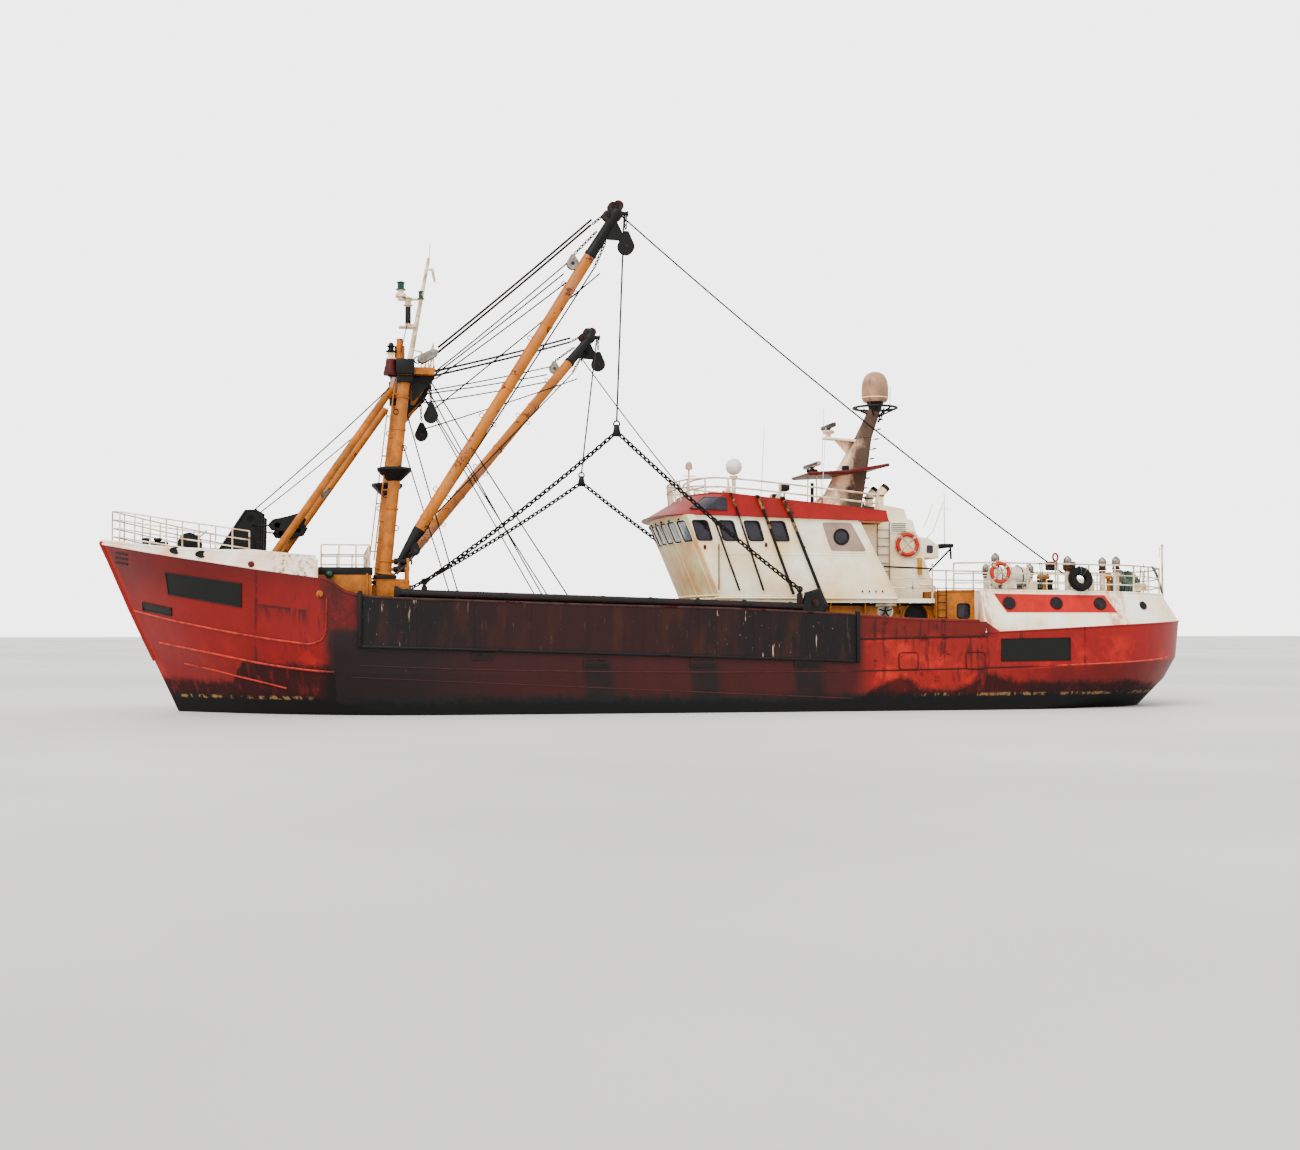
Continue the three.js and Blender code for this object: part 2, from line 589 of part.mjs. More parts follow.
// Roof with its deep fascia; each row is [x, half-breadth, height] of its lower and upper edge
const ROOF_ROWS = [
  { x: ROOF_AFT, half: 2820, topX: 5580, topHalf: 2740, topZ: 5680 },
  { x: 0, half: 2820, topX: 760, topHalf: 2740, topZ: 6140 },
  { x: -420, half: 2450, topX: 480, topHalf: 2250, topZ: 6160 },
  { x: -800, half: 1500, topX: 230, topHalf: 1350, topZ: 6180 },
  { x: -960, half: 500, topX: 90, topHalf: 450, topZ: 6190 },
];
addPiece("wheelhouse_roof", mirrored(ROOF_ROWS.map(({ x, half, topX, topHalf, topZ }) => [
  [x, half, underRoof(x)], [topX, topHalf, topZ],
])), PAINT.roofRed);

// Helm inside
addPiece("helm_console", plate("xz", [[900, BOAT_DECK_Z + GAP], [1500, BOAT_DECK_Z + GAP],
  [1450, 4150], [1000, 4350], [900, 4300]], -1300, 1300), PAINT.seatBlack);
addPiece("helm_seat", join(
  rod([2300, 0, BOAT_DECK_Z + GAP], [2300, 0, 3700], 60),
  block([2050, 2550], [-260, 260], [3680, 3800]),
  plate("xz", [[2480, 3750], [2560, 3750], [2680, 4450], [2600, 4450]], -240, 240),
), PAINT.seatBlack);

// Casing behind the wheelhouse, with the exhausts
const CASING_HALF = 1800;
const exhausts = [-500, 500].flatMap((y) => [
  rod([6120, y, 5850], [6120, y, 6400], 130),
  rod([6120, y, 6360], [6330, y, 6600], 130, 130),
]);
const casingFront = AFT_WALL + WALL + 1;
const casingOutline = [[casingFront, BOAT_DECK_Z + GAP], [7000, BOAT_DECK_Z + GAP],
  [7000, POOP_DECK_Z + 2], [7400, POOP_DECK_Z + 2], [6790, 5200], [6710, 5500], [6540, 5560],
  [6430, 5850], [5820, 5950], [5700, 5950], [5700, 5370], [casingFront, 5370]];
const casing = plate("xz", casingOutline, -CASING_HALF, CASING_HALF);
addPiece("casing", join(casing, ...exhausts), PAINT.cream);

// Radar mast on the roof: a leaning duct with a wing, ring platform and dome
const roofTop = straight(ROOF_ROWS.toReversed().map(({ topX, topZ }) => [topX, topZ]));
// Height clear above the sloping roof for a round foot
const onRoof = (x, radius) => roofTop(x - radius) + GAP;
const MAST_SECTIONS = [
  // z of the front and rear corner, x of each, half-width
  { z: [roofTop(4300) + GAP, roofTop(5560) + GAP], x: [4300, 5560], half: 420 },
  { z: [7060, 7100], x: [4930, 5840], half: 330 },
  { z: [8100, 8120], x: [5520, 6010], half: 240 },
  { z: [9000, 9000], x: [5960, 6330], half: 170 },
];
const mastDuct = loft(MAST_SECTIONS.map(({ z, x, half }) => [
  [x[0], -half, z[0]], [x[1], -half, z[1]], [x[1], half, z[1]], [x[0], half, z[0]],
]), fanCaps(4));
const RADOME = { x: 6160, z: 9240, r: 410 };
const RADOME_ARMS = 6;
const radomeArms = Array.from({ length: RADOME_ARMS }, (_, i) => {
  const turn = (i * 2 * Math.PI) / RADOME_ARMS;
  return rod([RADOME.x, 0, 8960], [RADOME.x + 640 * Math.cos(turn), 640 * Math.sin(turn), 9040], 28, 28, 8);
});
const wing = plate("xz", [[3800, 6900], [5000, 6960], [6280, 7200], [6290, 7270], [5000, 7050],
  [3800, 6960]], -900, 900);
const wingProp = rod([4160, 0, onRoof(4160, 60)], [4160, 0, 6960], 60);
const scannerShelf = plate("xz", [[4520, 8060], [5650, 7980], [5650, 8050], [4520, 8130]], -160, 160);
const SCANNERS = [
  { name: "upper", x: 4680, foot: 8080, head: 8330, half: 620 },
  { name: "lower", x: 4160, foot: 6940, head: 7140, half: 780 },
];
const scannerPosts = SCANNERS.flatMap(({ x, foot, head }) => [
  rod([x, 0, foot], [x, 0, head - 20], 70),
  rod([x, 0, head - 90], [x, 0, head], 170, 150, 16),
]);
addPiece("radar_mast", join(
  mastDuct, wing, wingProp, scannerShelf, ...radomeArms, ...scannerPosts,
  ring([RADOME.x, 0, 9050], "z", 660, 40),
  rod([RADOME.x, 0, 8950], [RADOME.x, 0, 9230], 230, 260),
), PAINT.cream);
addPiece("radome", turned([RADOME.x, 0, RADOME.z], "z", [[0, -9.7], [330, -9.7], [400, 110], [RADOME.r, 380],
  [370, 640], [260, 830], [110, 910], [0, 925]], 20), PAINT.cream);

SCANNERS.forEach(({ name, x, head, half }) => {
  addPiece(`scanner_${name}`, join(
    rod([x, 0, head + GAP], [x, 0, head + 60], 60),
    block([x - 70, x + 70], [-half, half], [head + 50, head + 190]),
  ), PAINT.cream);
});

// A rail of diamond section through points, mitred at its corners
function tubeRun(points, radius) {
  const places = points.map((point) => new THREE.Vector3(...point));
  const heading = (i) => places[i + 1].clone().sub(places[i]).setZ(0).normalize();
  return loft(places.map((place, i) => {
    const before = heading(Math.max(i - 1, 0));
    const after = heading(Math.min(i, places.length - 2));
    const mean = before.clone().add(after).normalize();
    const out = radius / mean.dot(after);
    const [dx, dy] = [-mean.y * out, mean.x * out];
    const { x, y, z } = place;
    return [[x + dx, y + dy, z], [x, y, z + radius], [x - dx, y - dy, z], [x, y, z - radius]];
  }), fanCaps(4));
}

function railing(feet, { height, rails, radius }) {
  const posts = feet.map(([x, y, z]) => rod([x, y, z], [x, y, z + height], radius * 1.25, radius * 1.25, 8));
  const runs = rails.map((part) => tubeRun(
    feet.map(([x, y, z]) => [x, y, z + height * part - radius * 1.3]), radius,
  ));
  return join(...posts, ...runs);
}

const roofRailFeet = (s) => [[5450, s * 2300], [4200, s * 2300], [2500, s * 2300], [1000, s * 2250],
  [450, s * 1700]];
const roofRing = [...roofRailFeet(-1), [300, 0], ...roofRailFeet(1).toReversed()];
addPiece("roof_rail", railing(
  roofRing.map(([x, y]) => [x, y, onRoof(x, 26)]),
  { height: 520, rails: [0.5, 1], radius: 22 },
), PAINT.cream);
addPiece("small_dome", join(
  rod([1500, -900, onRoof(1500, 60)], [1500, -900, 6900], 60),
  ball([1500, -900, 7080], 240, 14),
), PAINT.cream);

// Bow rail on the forecastle's edge
const foreDeck = HULL_LINES.sheer.height;
const bowRailFoot = (x, s) => [x, s * (HULL_LINES.sheer.breadth(x) - 160), foreDeck(x - 29.5) + GAP];
const BOW_RAIL_PLACES = [-15900, -15000, -14100, -13200, -12300];
addPiece("bow_rail", railing([
  ...BOW_RAIL_PLACES.toReversed().map((x) => bowRailFoot(x, -1)),
  ...BOW_RAIL_PLACES.map((x) => bowRailFoot(x, 1)),
], { height: 980, rails: [0.28, 0.52, 0.76, 1], radius: 24 }), PAINT.galvanised);

// Poop rail, with lamp posts standing in it
const POOP_RAIL = { inset: 90, height: 800 };
const poopRailPlaces = [8500, 9660, 10600, 11570, 12390, 13060, 13700, 14400];
const poopRailFoot = (x, s) => [x, s * (poopTopBreadth(x) - POOP_RAIL.inset),
  poopTopHeight(x - 28) + GAP];
addPiece("poop_rail", railing([
  ...poopRailPlaces.map((x) => poopRailFoot(x, -1)),
  [14950, 0, poopTopHeight(14920) + GAP],
  ...poopRailPlaces.toReversed().map((x) => poopRailFoot(x, 1)),
], { height: POOP_RAIL.height, rails: [0.28, 0.62, 1], radius: 24 }), PAINT.cream);

// Gantry: two raked columns on feet, a crosshead with gussets, props forward to the deck

const GANTRY = {
  foot: { x: -8720, y: 2750, z: 3960 },
  head: { x: -8190, y: 2450, z: 9300 },
  radius: 160,
};
const HEEL = { port: [-8330, -2700, 4150], starboard: [-8130, 2700, 4120] };
const PIN_RADIUS = 55;
const CHEEK = { gap: 200, thickness: 70, radius: 95 };

function cheek(heel, side) {
  const [x, y, z] = heel;
  const from = side < 0 ? x - CHEEK.gap - CHEEK.thickness : x + CHEEK.gap;
  const shape = new THREE.Shape();
  shape.moveTo(y - CHEEK.radius, z - 500);
  shape.lineTo(y + CHEEK.radius, z - 500);
  shape.lineTo(y + CHEEK.radius, z);
  shape.absarc(y, z, CHEEK.radius, 0, Math.PI, false);
  return plate("yz", shape, from, from + CHEEK.thickness);
}

function gantrySide(s, heel) {
  const { foot, head, radius } = GANTRY;
  const [x, y, z] = heel;
  const reach = CHEEK.gap + CHEEK.thickness;
  const base = block([foot.x - 230, x + reach], [s * foot.y - 240, s * foot.y + 240],
    [HULL_LINES.deck.height(foot.x - 230) + GAP, z - 480]);
  return join(
    base,
    rod([foot.x, s * foot.y, z - 500], [head.x, s * head.y, head.z - 30], radius, radius, 16),
    block([head.x - 200, head.x + 200], [s * head.y - 200, s * head.y + 200], [head.z - 60, head.z]),
    cheek(heel, -1),
    cheek(heel, 1),
    rod([x - reach, y, z], [x + reach, y, z], PIN_RADIUS, PIN_RADIUS, 24),
    turned([foot.x + 250, s * (foot.y - 140), 6520], "z", [[0, -160], [150, -160], [440, 120],
      [440, 170], [0, 170]], 20),
  );
}

SIDES.forEach(({ name, s }) => {
  addPiece(`gantry_column_${name}`, gantrySide(s, HEEL[name]), PAINT.ochre);
});

const HEAD_Z = GANTRY.head.z + GAP;
const gusset = (s) => plate("xz", [[-8000, HEAD_Z + 20], [-7400, HEAD_Z + 20], [-7900, HEAD_Z - 760],
  [-8000, HEAD_Z - 760]], s * 2000 - 20, s * 2000 + 20);
addPiece("gantry_head", join(
  block([-8420, -7960], [-2700, 2700], [HEAD_Z, HEAD_Z + 380]),
  block([-7980, -7380], [-2650, 2650], [HEAD_Z + 10, HEAD_Z + 200]),
  gusset(-1),
  gusset(1),
  rod([-8330, -2400, HEAD_Z + 370], [-8330, -2400, HEAD_Z + 800], 140),
  rod([-8330, -2400, HEAD_Z + 780], [-8330, -2400, HEAD_Z + 1000], 90),
), PAINT.ochre);

const PROPS = { from: [-8530, 2250, 8950], to: [-11950, 2250, 4020], radius: 105 };
SIDES.forEach(({ name, s }) => {
  const [fx, fy, fz] = PROPS.from;
  const [tx, ty] = PROPS.to;
  const deckHere = foreDeck(tx - 220) + GAP - 45;
  addPiece(`gantry_prop_${name}`, join(
    rod([fx, s * fy, fz], [tx, s * ty, deckHere + 60], PROPS.radius),
    block([tx - 220, tx + 180], [s * ty - 180, s * ty + 180], [deckHere + 45, deckHere + 90]),
  ), PAINT.ochre);
});

// Light mast above the crosshead
addPiece("light_mast", join(
  block([-8030, -7970], [-110, 110], [HEAD_Z + 380 + GAP, HEAD_Z + 500]),
  rod([-7992, 0, HEAD_Z + 470], [-7400, 0, 13100], 90, 45),
  rod([-8250, 0, 11840], [-7560, 0, 11890], 35),
  rod([-8200, 0, 11840], [-8200, 0, 12150], 90),
  rod([-8020, 0, 11100], [-7680, 0, 11130], 35),
  rod([-7990, 0, 11090], [-7990, 0, 11700], 80),
), PAINT.cream);

// Derricks: a long tube from the heel's eye to the headworks, and the block that hangs from it

const DERRICK = { length: 11550, radius: 165, heelLength: 950, headLength: 1500 };
const DERRICKS = [
  { name: "port", s: -1, reach: 6010, lean: 1.2 },
  { name: "starboard", s: 1, reach: 6690, lean: 29.9 },
];

function derrickAxis({ name, s, reach, lean }) {
  const heel = new THREE.Vector3(...HEEL[name]);
  const upright = Math.sqrt(DERRICK.length ** 2 - reach ** 2);
  const tilt = THREE.MathUtils.degToRad(lean);
  const along = new THREE.Vector3(reach, s * upright * Math.sin(tilt), upright * Math.cos(tilt));
  along.normalize();
  return { heel, along, at: (d) => heel.clone().addScaledVector(along, d).toArray() };
}

const BOSS_REACH = [140, CHEEK.gap - 6]; // of the heel's eye, fore and aft of the joint's middle
const HEAD_LUG = { radius: 60, reach: 330, hang: 270 };
const DERRICK_BLOCK = { drop: 620, radius: 250, thickness: 160 };

DERRICKS.forEach((side) => {
  const { heel, at } = derrickAxis(side);
  const { length, radius, heelLength, headLength } = DERRICK;
  const [hx, hy, hz] = at(length - 80);
  const acrossHeel = ([fore, aft], size) => rod([heel.x - fore, heel.y, heel.z],
    [heel.x + aft, heel.y, heel.z], size, size, 24);
  const tube = join(
    acrossHeel(BOSS_REACH, CHEEK.radius),
    spar(at(0), at(length), [[0, 85], [70, 85], [radius, heelLength], [radius, length - headLength],
      [radius * 0.85, length - 300], [190, length - 200], [190, length - 20], [120, length + 60],
      [0, length + 60]]),
    rod([hx, hy, hz], [hx + HEAD_LUG.reach, hy, hz], HEAD_LUG.radius, HEAD_LUG.radius, 24),
  );
  const pinHole = acrossHeel([400, 400], PIN_RADIUS + 0.8);
  addPiece(`derrick_${side.name}`, cut(tube, pinHole), PAINT.ochre);
  const x = hx + HEAD_LUG.hang;
  const top = hz - HEAD_LUG.radius - GAP;
  const sheave = top - DERRICK_BLOCK.drop - DERRICK_BLOCK.radius;
  const half = DERRICK_BLOCK.thickness / 2;
  addPiece(`derrick_block_${side.name}`, join(
    block([x - 45, x + 45], [hy - 40, hy + 40], [top - 100, top]),
    rod([x, hy, top - 50], [x, hy, sheave], 40, 40, 8),
    rod([x, hy - half, sheave], [x, hy + half, sheave], DERRICK_BLOCK.radius, DERRICK_BLOCK.radius, 16),
    plate("xz", [[x - 200, sheave], [x + 200, sheave], [x + 70, sheave + 380], [x - 70, sheave + 380]],
      hy - half - 12, hy + half + 12),
  ), PAINT.black);
});

// Trawl beams laid on the bulwarks, with a head at each end
const BEAM = { from: -8480, to: 2850, radius: 115, y: 3640 };
const beamZ = (x) => bulwarkTop(x) + BEAM.radius + 56;

const BEAM_LUGS = [{ x: -7700, height: 200 }, { x: 2720, height: 360 }];
const lugTop = ({ x, height }) => beamZ(x) + height;

SIDES.forEach(({ name, s }) => {
  const y = s * BEAM.y;
  const head = (x) => plate("xz", [[x - 60, beamZ(BEAM.to) - 170], [x + 420, beamZ(BEAM.to) - 170],
    [x + 520, beamZ(BEAM.to) + 60], [x + 330, beamZ(BEAM.to) + 420], [x + 40, beamZ(BEAM.to) + 300]],
  y - 60, y + 60);
  addPiece(`trawl_beam_${name}`, join(
    rod([BEAM.from, y, beamZ(BEAM.from)], [BEAM.to, y, beamZ(BEAM.to)], BEAM.radius, BEAM.radius, 14),
    head(BEAM.to),
    ...BEAM_LUGS.map((lug) => block([lug.x - 80, lug.x + 80], [y - 40, y + 40], [beamZ(lug.x), lugTop(lug)])),
  ), PAINT.rustBrown);
});

// Chain bridles, from the lugs on each beam up to the shackle that its derrick lifts by
const LINK = { pitch: 240, length: 290, width: 84, thickness: 28 };
const BRIDLE_SAG = 110;
const BRIDLES = [
  { name: "port", top: [-2400, -3200, 7750] },
  { name: "starboard", top: [-2400, 3300, 6900] },
];

// Flat links along a hanging line, each turned a quarter from the last
function chainRun(from, to, sag) {
  const [a, b] = [new THREE.Vector3(...from), new THREE.Vector3(...to)];
  const middle = a.clone().lerp(b, 0.5).setZ((a.z + b.z) / 2 - 2 * sag);
  const line = new THREE.QuadraticBezierCurve3(a, middle, b);
  const count = Math.round(line.getLength() / LINK.pitch);
  return Array.from({ length: count }, (_, i) => {
    const part = (i + 0.5) / count;
    const link = i % 2
      ? new THREE.BoxGeometry(LINK.length, LINK.width, LINK.thickness)
      : new THREE.BoxGeometry(LINK.length, LINK.thickness, LINK.width);
    const along = line.getTangentAt(part);
    link.applyQuaternion(new THREE.Quaternion().setFromUnitVectors(new THREE.Vector3(1, 0, 0), along));
    return toSolid(link.translate(...line.getPointAt(part).toArray()));
  });
}

BRIDLES.forEach(({ name, top }, i) => {
  const y = SIDES[i].s * BEAM.y;
  const [x, topY, topZ] = top;
  const feet = BEAM_LUGS.map((lug) => [lug.x, y, lugTop(lug) + GAP]);
  addPiece(`beam_bridle_${name}`, join(
    ...feet.map((foot) => block([foot[0] - 60, foot[0] + 60], [y - 35, y + 35], [foot[2], foot[2] + 110])),
    ...feet.flatMap((foot) => chainRun([foot[0], y, foot[2] + 70], top, BRIDLE_SAG)),
    plate("xz", [[x - 130, topZ - 110], [x + 130, topZ - 110], [x + 60, topZ + 220], [x - 60, topZ + 220]],
      topY - 45, topY + 45),
  ), PAINT.steel);
});

// Working deck: winch with two drums, hatch with its lid

const WINCH = { x: -6300, z: 1880, drumRadius: 480, core: 230 };
const winchCheeks = [-1900, -120, 120, 1900].map((y) => plate("xz", [[WINCH.x - 620, DECK_Z + 2],
  [WINCH.x + 620, DECK_Z + 2], [WINCH.x + 180, WINCH.z + 220], [WINCH.x - 180, WINCH.z + 220]],
y - 40, y + 40));
addPiece("winch_frame", cut(join(
  ...winchCheeks,
  block([WINCH.x - 620, WINCH.x + 620], [-1940, 1940], [DECK_Z + GAP, DECK_Z + 90]),
), rod([WINCH.x, -2200, WINCH.z], [WINCH.x, 2200, WINCH.z], 91, 91, 24)), PAINT.steel);
SIDES.forEach(({ name, s }) => {
  const y = (d) => s * d;
  addPiece(`winch_drum_${name}`, join(
    rod([WINCH.x, y(20), WINCH.z], [WINCH.x, y(2060), WINCH.z], 90, 90, 24),
    rod([WINCH.x, y(170), WINCH.z], [WINCH.x, y(1850), WINCH.z], WINCH.core, WINCH.core, 20),
    rod([WINCH.x, y(170), WINCH.z], [WINCH.x, y(220), WINCH.z], WINCH.drumRadius, WINCH.drumRadius, 24),
    rod([WINCH.x, y(1800), WINCH.z], [WINCH.x, y(1850), WINCH.z], WINCH.drumRadius, WINCH.drumRadius, 24),
    rod([WINCH.x, y(1960), WINCH.z], [WINCH.x, y(2160), WINCH.z], 150, 210, 20),
  ), PAINT.steel);
});

const HATCH = { x: [-3300, -1700], y: [-800, 800], top: 1700 };
addPiece("hatch_coaming", cut(
  block(HATCH.x, HATCH.y, [DECK_Z + GAP, HATCH.top]),
  block([HATCH.x[0] + WALL, HATCH.x[1] - WALL], [HATCH.y[0] + WALL, HATCH.y[1] - WALL],
    [DECK_Z + 60, HATCH.top + 10]),
), PAINT.steel);
addPiece("hatch_lid", join(
  block([HATCH.x[0] - 30, HATCH.x[1] + 30], [HATCH.y[0] - 30, HATCH.y[1] + 30],
    [HATCH.top + GAP, HATCH.top + 70]),
  rod([HATCH.x[1] + 50, -600, HATCH.top + 60], [HATCH.x[1] + 50, 600, HATCH.top + 60], 24, 24, 8),
), PAINT.galvanised);

// Forecastle deck gear
addPiece("windlass", join(
  block([-14450, -13650], [-500, 500], [foreDeck(-14450) + GAP, foreDeck(-14450) + 120]),
  rod([-14050, -620, 4700], [-14050, 620, 4700], 180, 180, 16),
  block([-14200, -13900], [-300, 300], [foreDeck(-14450) + 100, 4900]),
), PAINT.black);
const gallowsFoot = foreDeck(-13400) + GAP;
const gallowsOutline = [[-13400, gallowsFoot], [-12040, gallowsFoot], [-12040, 5500],
  [-12200, 5600], [-12480, 5600]];
addPiece("bow_gallows", join(
  plate("xz", gallowsOutline, -1060, -1000),
  plate("xz", gallowsOutline, 1000, 1060),
  rod([-12350, -1050, 5450], [-12350, 1050, 5450], 90, 90, 12),
), PAINT.black);

// Life-saving gear, tyre fender and raft
addPiece("lifebuoy_casing", ring([6520, -CASING_HALF - 60.3, 4790], "y", 300, 60), PAINT.lifeRed);
const outsidePoopRail = (x, reach) => -poopTopBreadth(x) + POOP_RAIL.inset - reach;
addPiece("lifebuoy_poop", ring([8720, outsidePoopRail(8720, 88.6), 3930], "y", 260, 58),
  PAINT.lifeRed);
addPiece("tyre_fender", ring([11240, outsidePoopRail(11240, 134.7), 3760], "y", 260, 110),
  PAINT.rubber);
addPiece("raft_canister", join(
  rod([9000, -2000, 3850], [10250, -2000, 3850], 300, 300, 16),
  ...[9250, 9920].map((x) => block([x, x + 80], [-2300, -1700], [poopTopHeight(x) + GAP, 3620])),
), PAINT.cream);

// Rudder and propeller under the counter
const RUDDER_X = 12500;
addPiece("rudder", join(
  plate("xz", [[RUDDER_X - 200, -2900], [RUDDER_X + 900, -2900], [RUDDER_X + 1000, -1100],
    [RUDDER_X - 250, -1100]], -70, 70),
  rod([RUDDER_X, 0, SOLE_TOP + GAP], [RUDDER_X, 0, -790], 80, 80, 16),
), PAINT.rustBrown);
const PROP_X = SHAFT.end + 150;
const BLADES = 4;
const BLADE_PITCH = 55;
const blades = Array.from({ length: BLADES }, (_, i) => {
  const outline = new THREE.Shape();
  outline.moveTo(-90, 150);
  outline.bezierCurveTo(-400, 480, -360, 860, 0, 900);
  outline.bezierCurveTo(320, 860, 300, 440, 90, 150);
  const blade = new THREE.ExtrudeGeometry(outline, { depth: 36, bevelEnabled: false, curveSegments: 6 });
  blade.translate(0, 0, -18);
  blade.rotateX(Math.PI / 2);
  blade.rotateZ(THREE.MathUtils.degToRad(BLADE_PITCH));
  blade.rotateX((i * 2 * Math.PI) / BLADES);
  return toSolid(blade.translate(PROP_X, 0, SHAFT.z));
});
addPiece("propeller", join(
  rod([SHAFT.end + GAP, 0, SHAFT.z], [PROP_X + 220, 0, SHAFT.z], 190, 130, 20),
  ...blades,
), PAINT.bronze);

export default boat;
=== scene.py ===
import math
import random

import bmesh
import bpy
from mathutils import Matrix, Vector


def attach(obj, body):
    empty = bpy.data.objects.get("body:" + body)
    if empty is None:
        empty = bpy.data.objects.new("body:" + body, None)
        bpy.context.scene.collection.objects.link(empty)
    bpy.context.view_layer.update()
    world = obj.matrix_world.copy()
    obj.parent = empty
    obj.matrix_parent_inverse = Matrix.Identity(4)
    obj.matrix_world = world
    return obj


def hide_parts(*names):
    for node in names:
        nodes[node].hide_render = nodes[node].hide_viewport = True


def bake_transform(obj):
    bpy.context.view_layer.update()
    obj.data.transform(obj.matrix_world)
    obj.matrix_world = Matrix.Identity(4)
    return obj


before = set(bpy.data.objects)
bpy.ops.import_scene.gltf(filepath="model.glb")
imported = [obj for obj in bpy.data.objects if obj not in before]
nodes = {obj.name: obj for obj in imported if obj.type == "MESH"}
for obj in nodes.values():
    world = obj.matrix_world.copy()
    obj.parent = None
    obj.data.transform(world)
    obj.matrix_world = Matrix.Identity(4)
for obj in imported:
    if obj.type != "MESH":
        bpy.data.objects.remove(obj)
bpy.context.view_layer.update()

# Metres, in the frame of the CAD: +X runs aft, +Y to starboard, +Z up from the waterline.

# Camera

CAMERA_PLACE = Vector((-10.369, -49.296, 2.341))
CAMERA_AZIMUTH = math.radians(-10.94)
CAMERA_ELEVATION = math.radians(-1.789)
CAMERA_SENSOR = 36.0
FOCAL_PIXELS, FRAME_PIXELS = 1693, 1300
CAMERA_LENS = CAMERA_SENSOR * FOCAL_PIXELS / FRAME_PIXELS


def make_camera():
    data = bpy.data.cameras.new("camera")
    data.sensor_width = CAMERA_SENSOR
    data.lens = CAMERA_LENS
    data.clip_end = 500
    camera = bpy.data.objects.new("camera", data)
    bpy.context.scene.collection.objects.link(camera)
    level = math.cos(CAMERA_ELEVATION)
    back = Vector((math.sin(CAMERA_AZIMUTH) * level, -math.cos(CAMERA_AZIMUTH) * level,
        math.sin(CAMERA_ELEVATION)))
    camera.location = CAMERA_PLACE
    camera.rotation_mode = "QUATERNION"
    camera.rotation_quaternion = back.to_track_quat("Z", "Y")
    bpy.context.scene.camera = camera


make_camera()

# Hull lines as in the CAD, [x, half-breadth, height] from the stem to where the stern turns in

HALF_BEAM = 3.75
BULWARK_THICKNESS = .07
FACE_GAP = .0003  # keeps two faces from lying in one plane
SHAFT_Z = -2.05
DECK_Z = 1.1
FORE_END = -10.5
STERN_START = 12.2
POOP_FRONT = 8.2
BOAT_DECK_Z = 3.16
LINES = {
    "keel": ([(-12, .03, -2.95), (-9, .13, -3.08), (0, .15, -3.18), (7, .15, -3.18),
              (10.4, .16, -1.5), (12.2, .16, -.8)], (13.6, -.62)),
    "bilge": ([(-13.55, .03, -1.65), (-11, .9, -2.15), (-7, 2.3, -2.5), (0, 2.75, -2.6),
               (6, 2.5, -2.25), (10.4, 1.9, -1.05), (12.2, 1.6, -.64)], (14.1, -.43)),
    "chine": ([(-14.98, .03, 1.43), (-14.4, .56, 1.29), (-11.9, 2.5, .75), (-9.8, 3.25, .26),
               (-7, 3.6, -.3), (0, 3.68, -.56), (6, 3.64, -.42), (10, 3.52, .06),
               (12.2, 3.3, .52)], (15.15, .9)),
    "deck": ([(-15.27, .03, 2.03), (-14.5, .9, 1.88), (-13.4, 1.9, 1.67), (-11.4, 3, 1.3),
              (-10, 3.47, 1.16), (-8, 3.7, 1.1), (-5, 3.75, 1.1), (8, 3.75, 1.1),
              (12.2, 3.7, 1.33)], (15.47, 1.5)),
    "knuckle": ([(-15.65, .03, 2.85), (-13.9, 1.8, 2.44), (-11.3, 3.28, 1.98), (-10, 3.62, 1.85),
                 (-8, 3.73, 1.84), (-5, 3.75, 1.74), (4.4, 3.75, 1.44), (12.2, 3.72, 1.7)],
                (15.55, 1.9)),
    "sheer": ([(-16.44, .03, 4.69), (-15.5, 1.15, 4.5), (-14.5, 1.98, 4.31), (-13.3, 2.7, 4.11),
               (-12, 3.26, 3.9), (-10.7, 3.56, 3.72), (-9.5, 3.69, 3.56), (-8, 3.75, 3.4),
               (12.2, 3.72, 2.41)], (15.6, 2.56)),
}
ORDER = ["keel", "bilge", "chine", "deck", "knuckle", "sheer"]


def through(knots):
    """A smooth, never overshooting curve through knots of (place, value)."""
    xs = [k[0] for k in knots]
    ys = [k[1] for k in knots]
    slopes = [(ys[i + 1] - ys[i]) / (xs[i + 1] - xs[i]) for i in range(len(xs) - 1)]
    tangents = [slopes[0]]
    for before, after in zip(slopes, slopes[1:]):
        tangents.append(0 if before * after <= 0 else 2 * before * after / (before + after))
    tangents.append(slopes[-1])

    def at(x):
        if x <= xs[0]:
            return ys[0]
        if x >= xs[-1]:
            return ys[-1]
        i = max(j for j in range(len(xs) - 1) if xs[j] <= x)
        span = xs[i + 1] - xs[i]
        t = (x - xs[i]) / span
        ease = t * t * (3 - 2 * t)
        swing = span * (t * (1 - t) ** 2 * tangents[i] - t * t * (1 - t) * tangents[i + 1])
        return ys[i] * (1 - ease) + ys[i + 1] * ease + swing
    return at


class Line:
    """One hull line. Place p runs 0 to 1 over the entry, to 2 along the sides, to 3 round the stern."""

    def __init__(self, knots, end):
        self.stem = knots[0][0]
        self.end = end[0]
        self.breadth = through([(x, y) for x, y, _ in knots])
        self.height = through([(x, z) for x, _, z in knots] + [end])

    def at(self, p):
        if p <= 1:
            x = self.stem + p * (FORE_END - self.stem)
        elif p <= 2:
            x = FORE_END + (p - 1) * (STERN_START - FORE_END)
        else:
            turn = (p - 2) * math.pi / 2
            x = STERN_START + math.sin(turn) * (self.end - STERN_START)
            return Vector((x, max(self.breadth(STERN_START) * math.cos(turn), .02), self.height(x)))
        return Vector((x, self.breadth(x), self.height(x)))


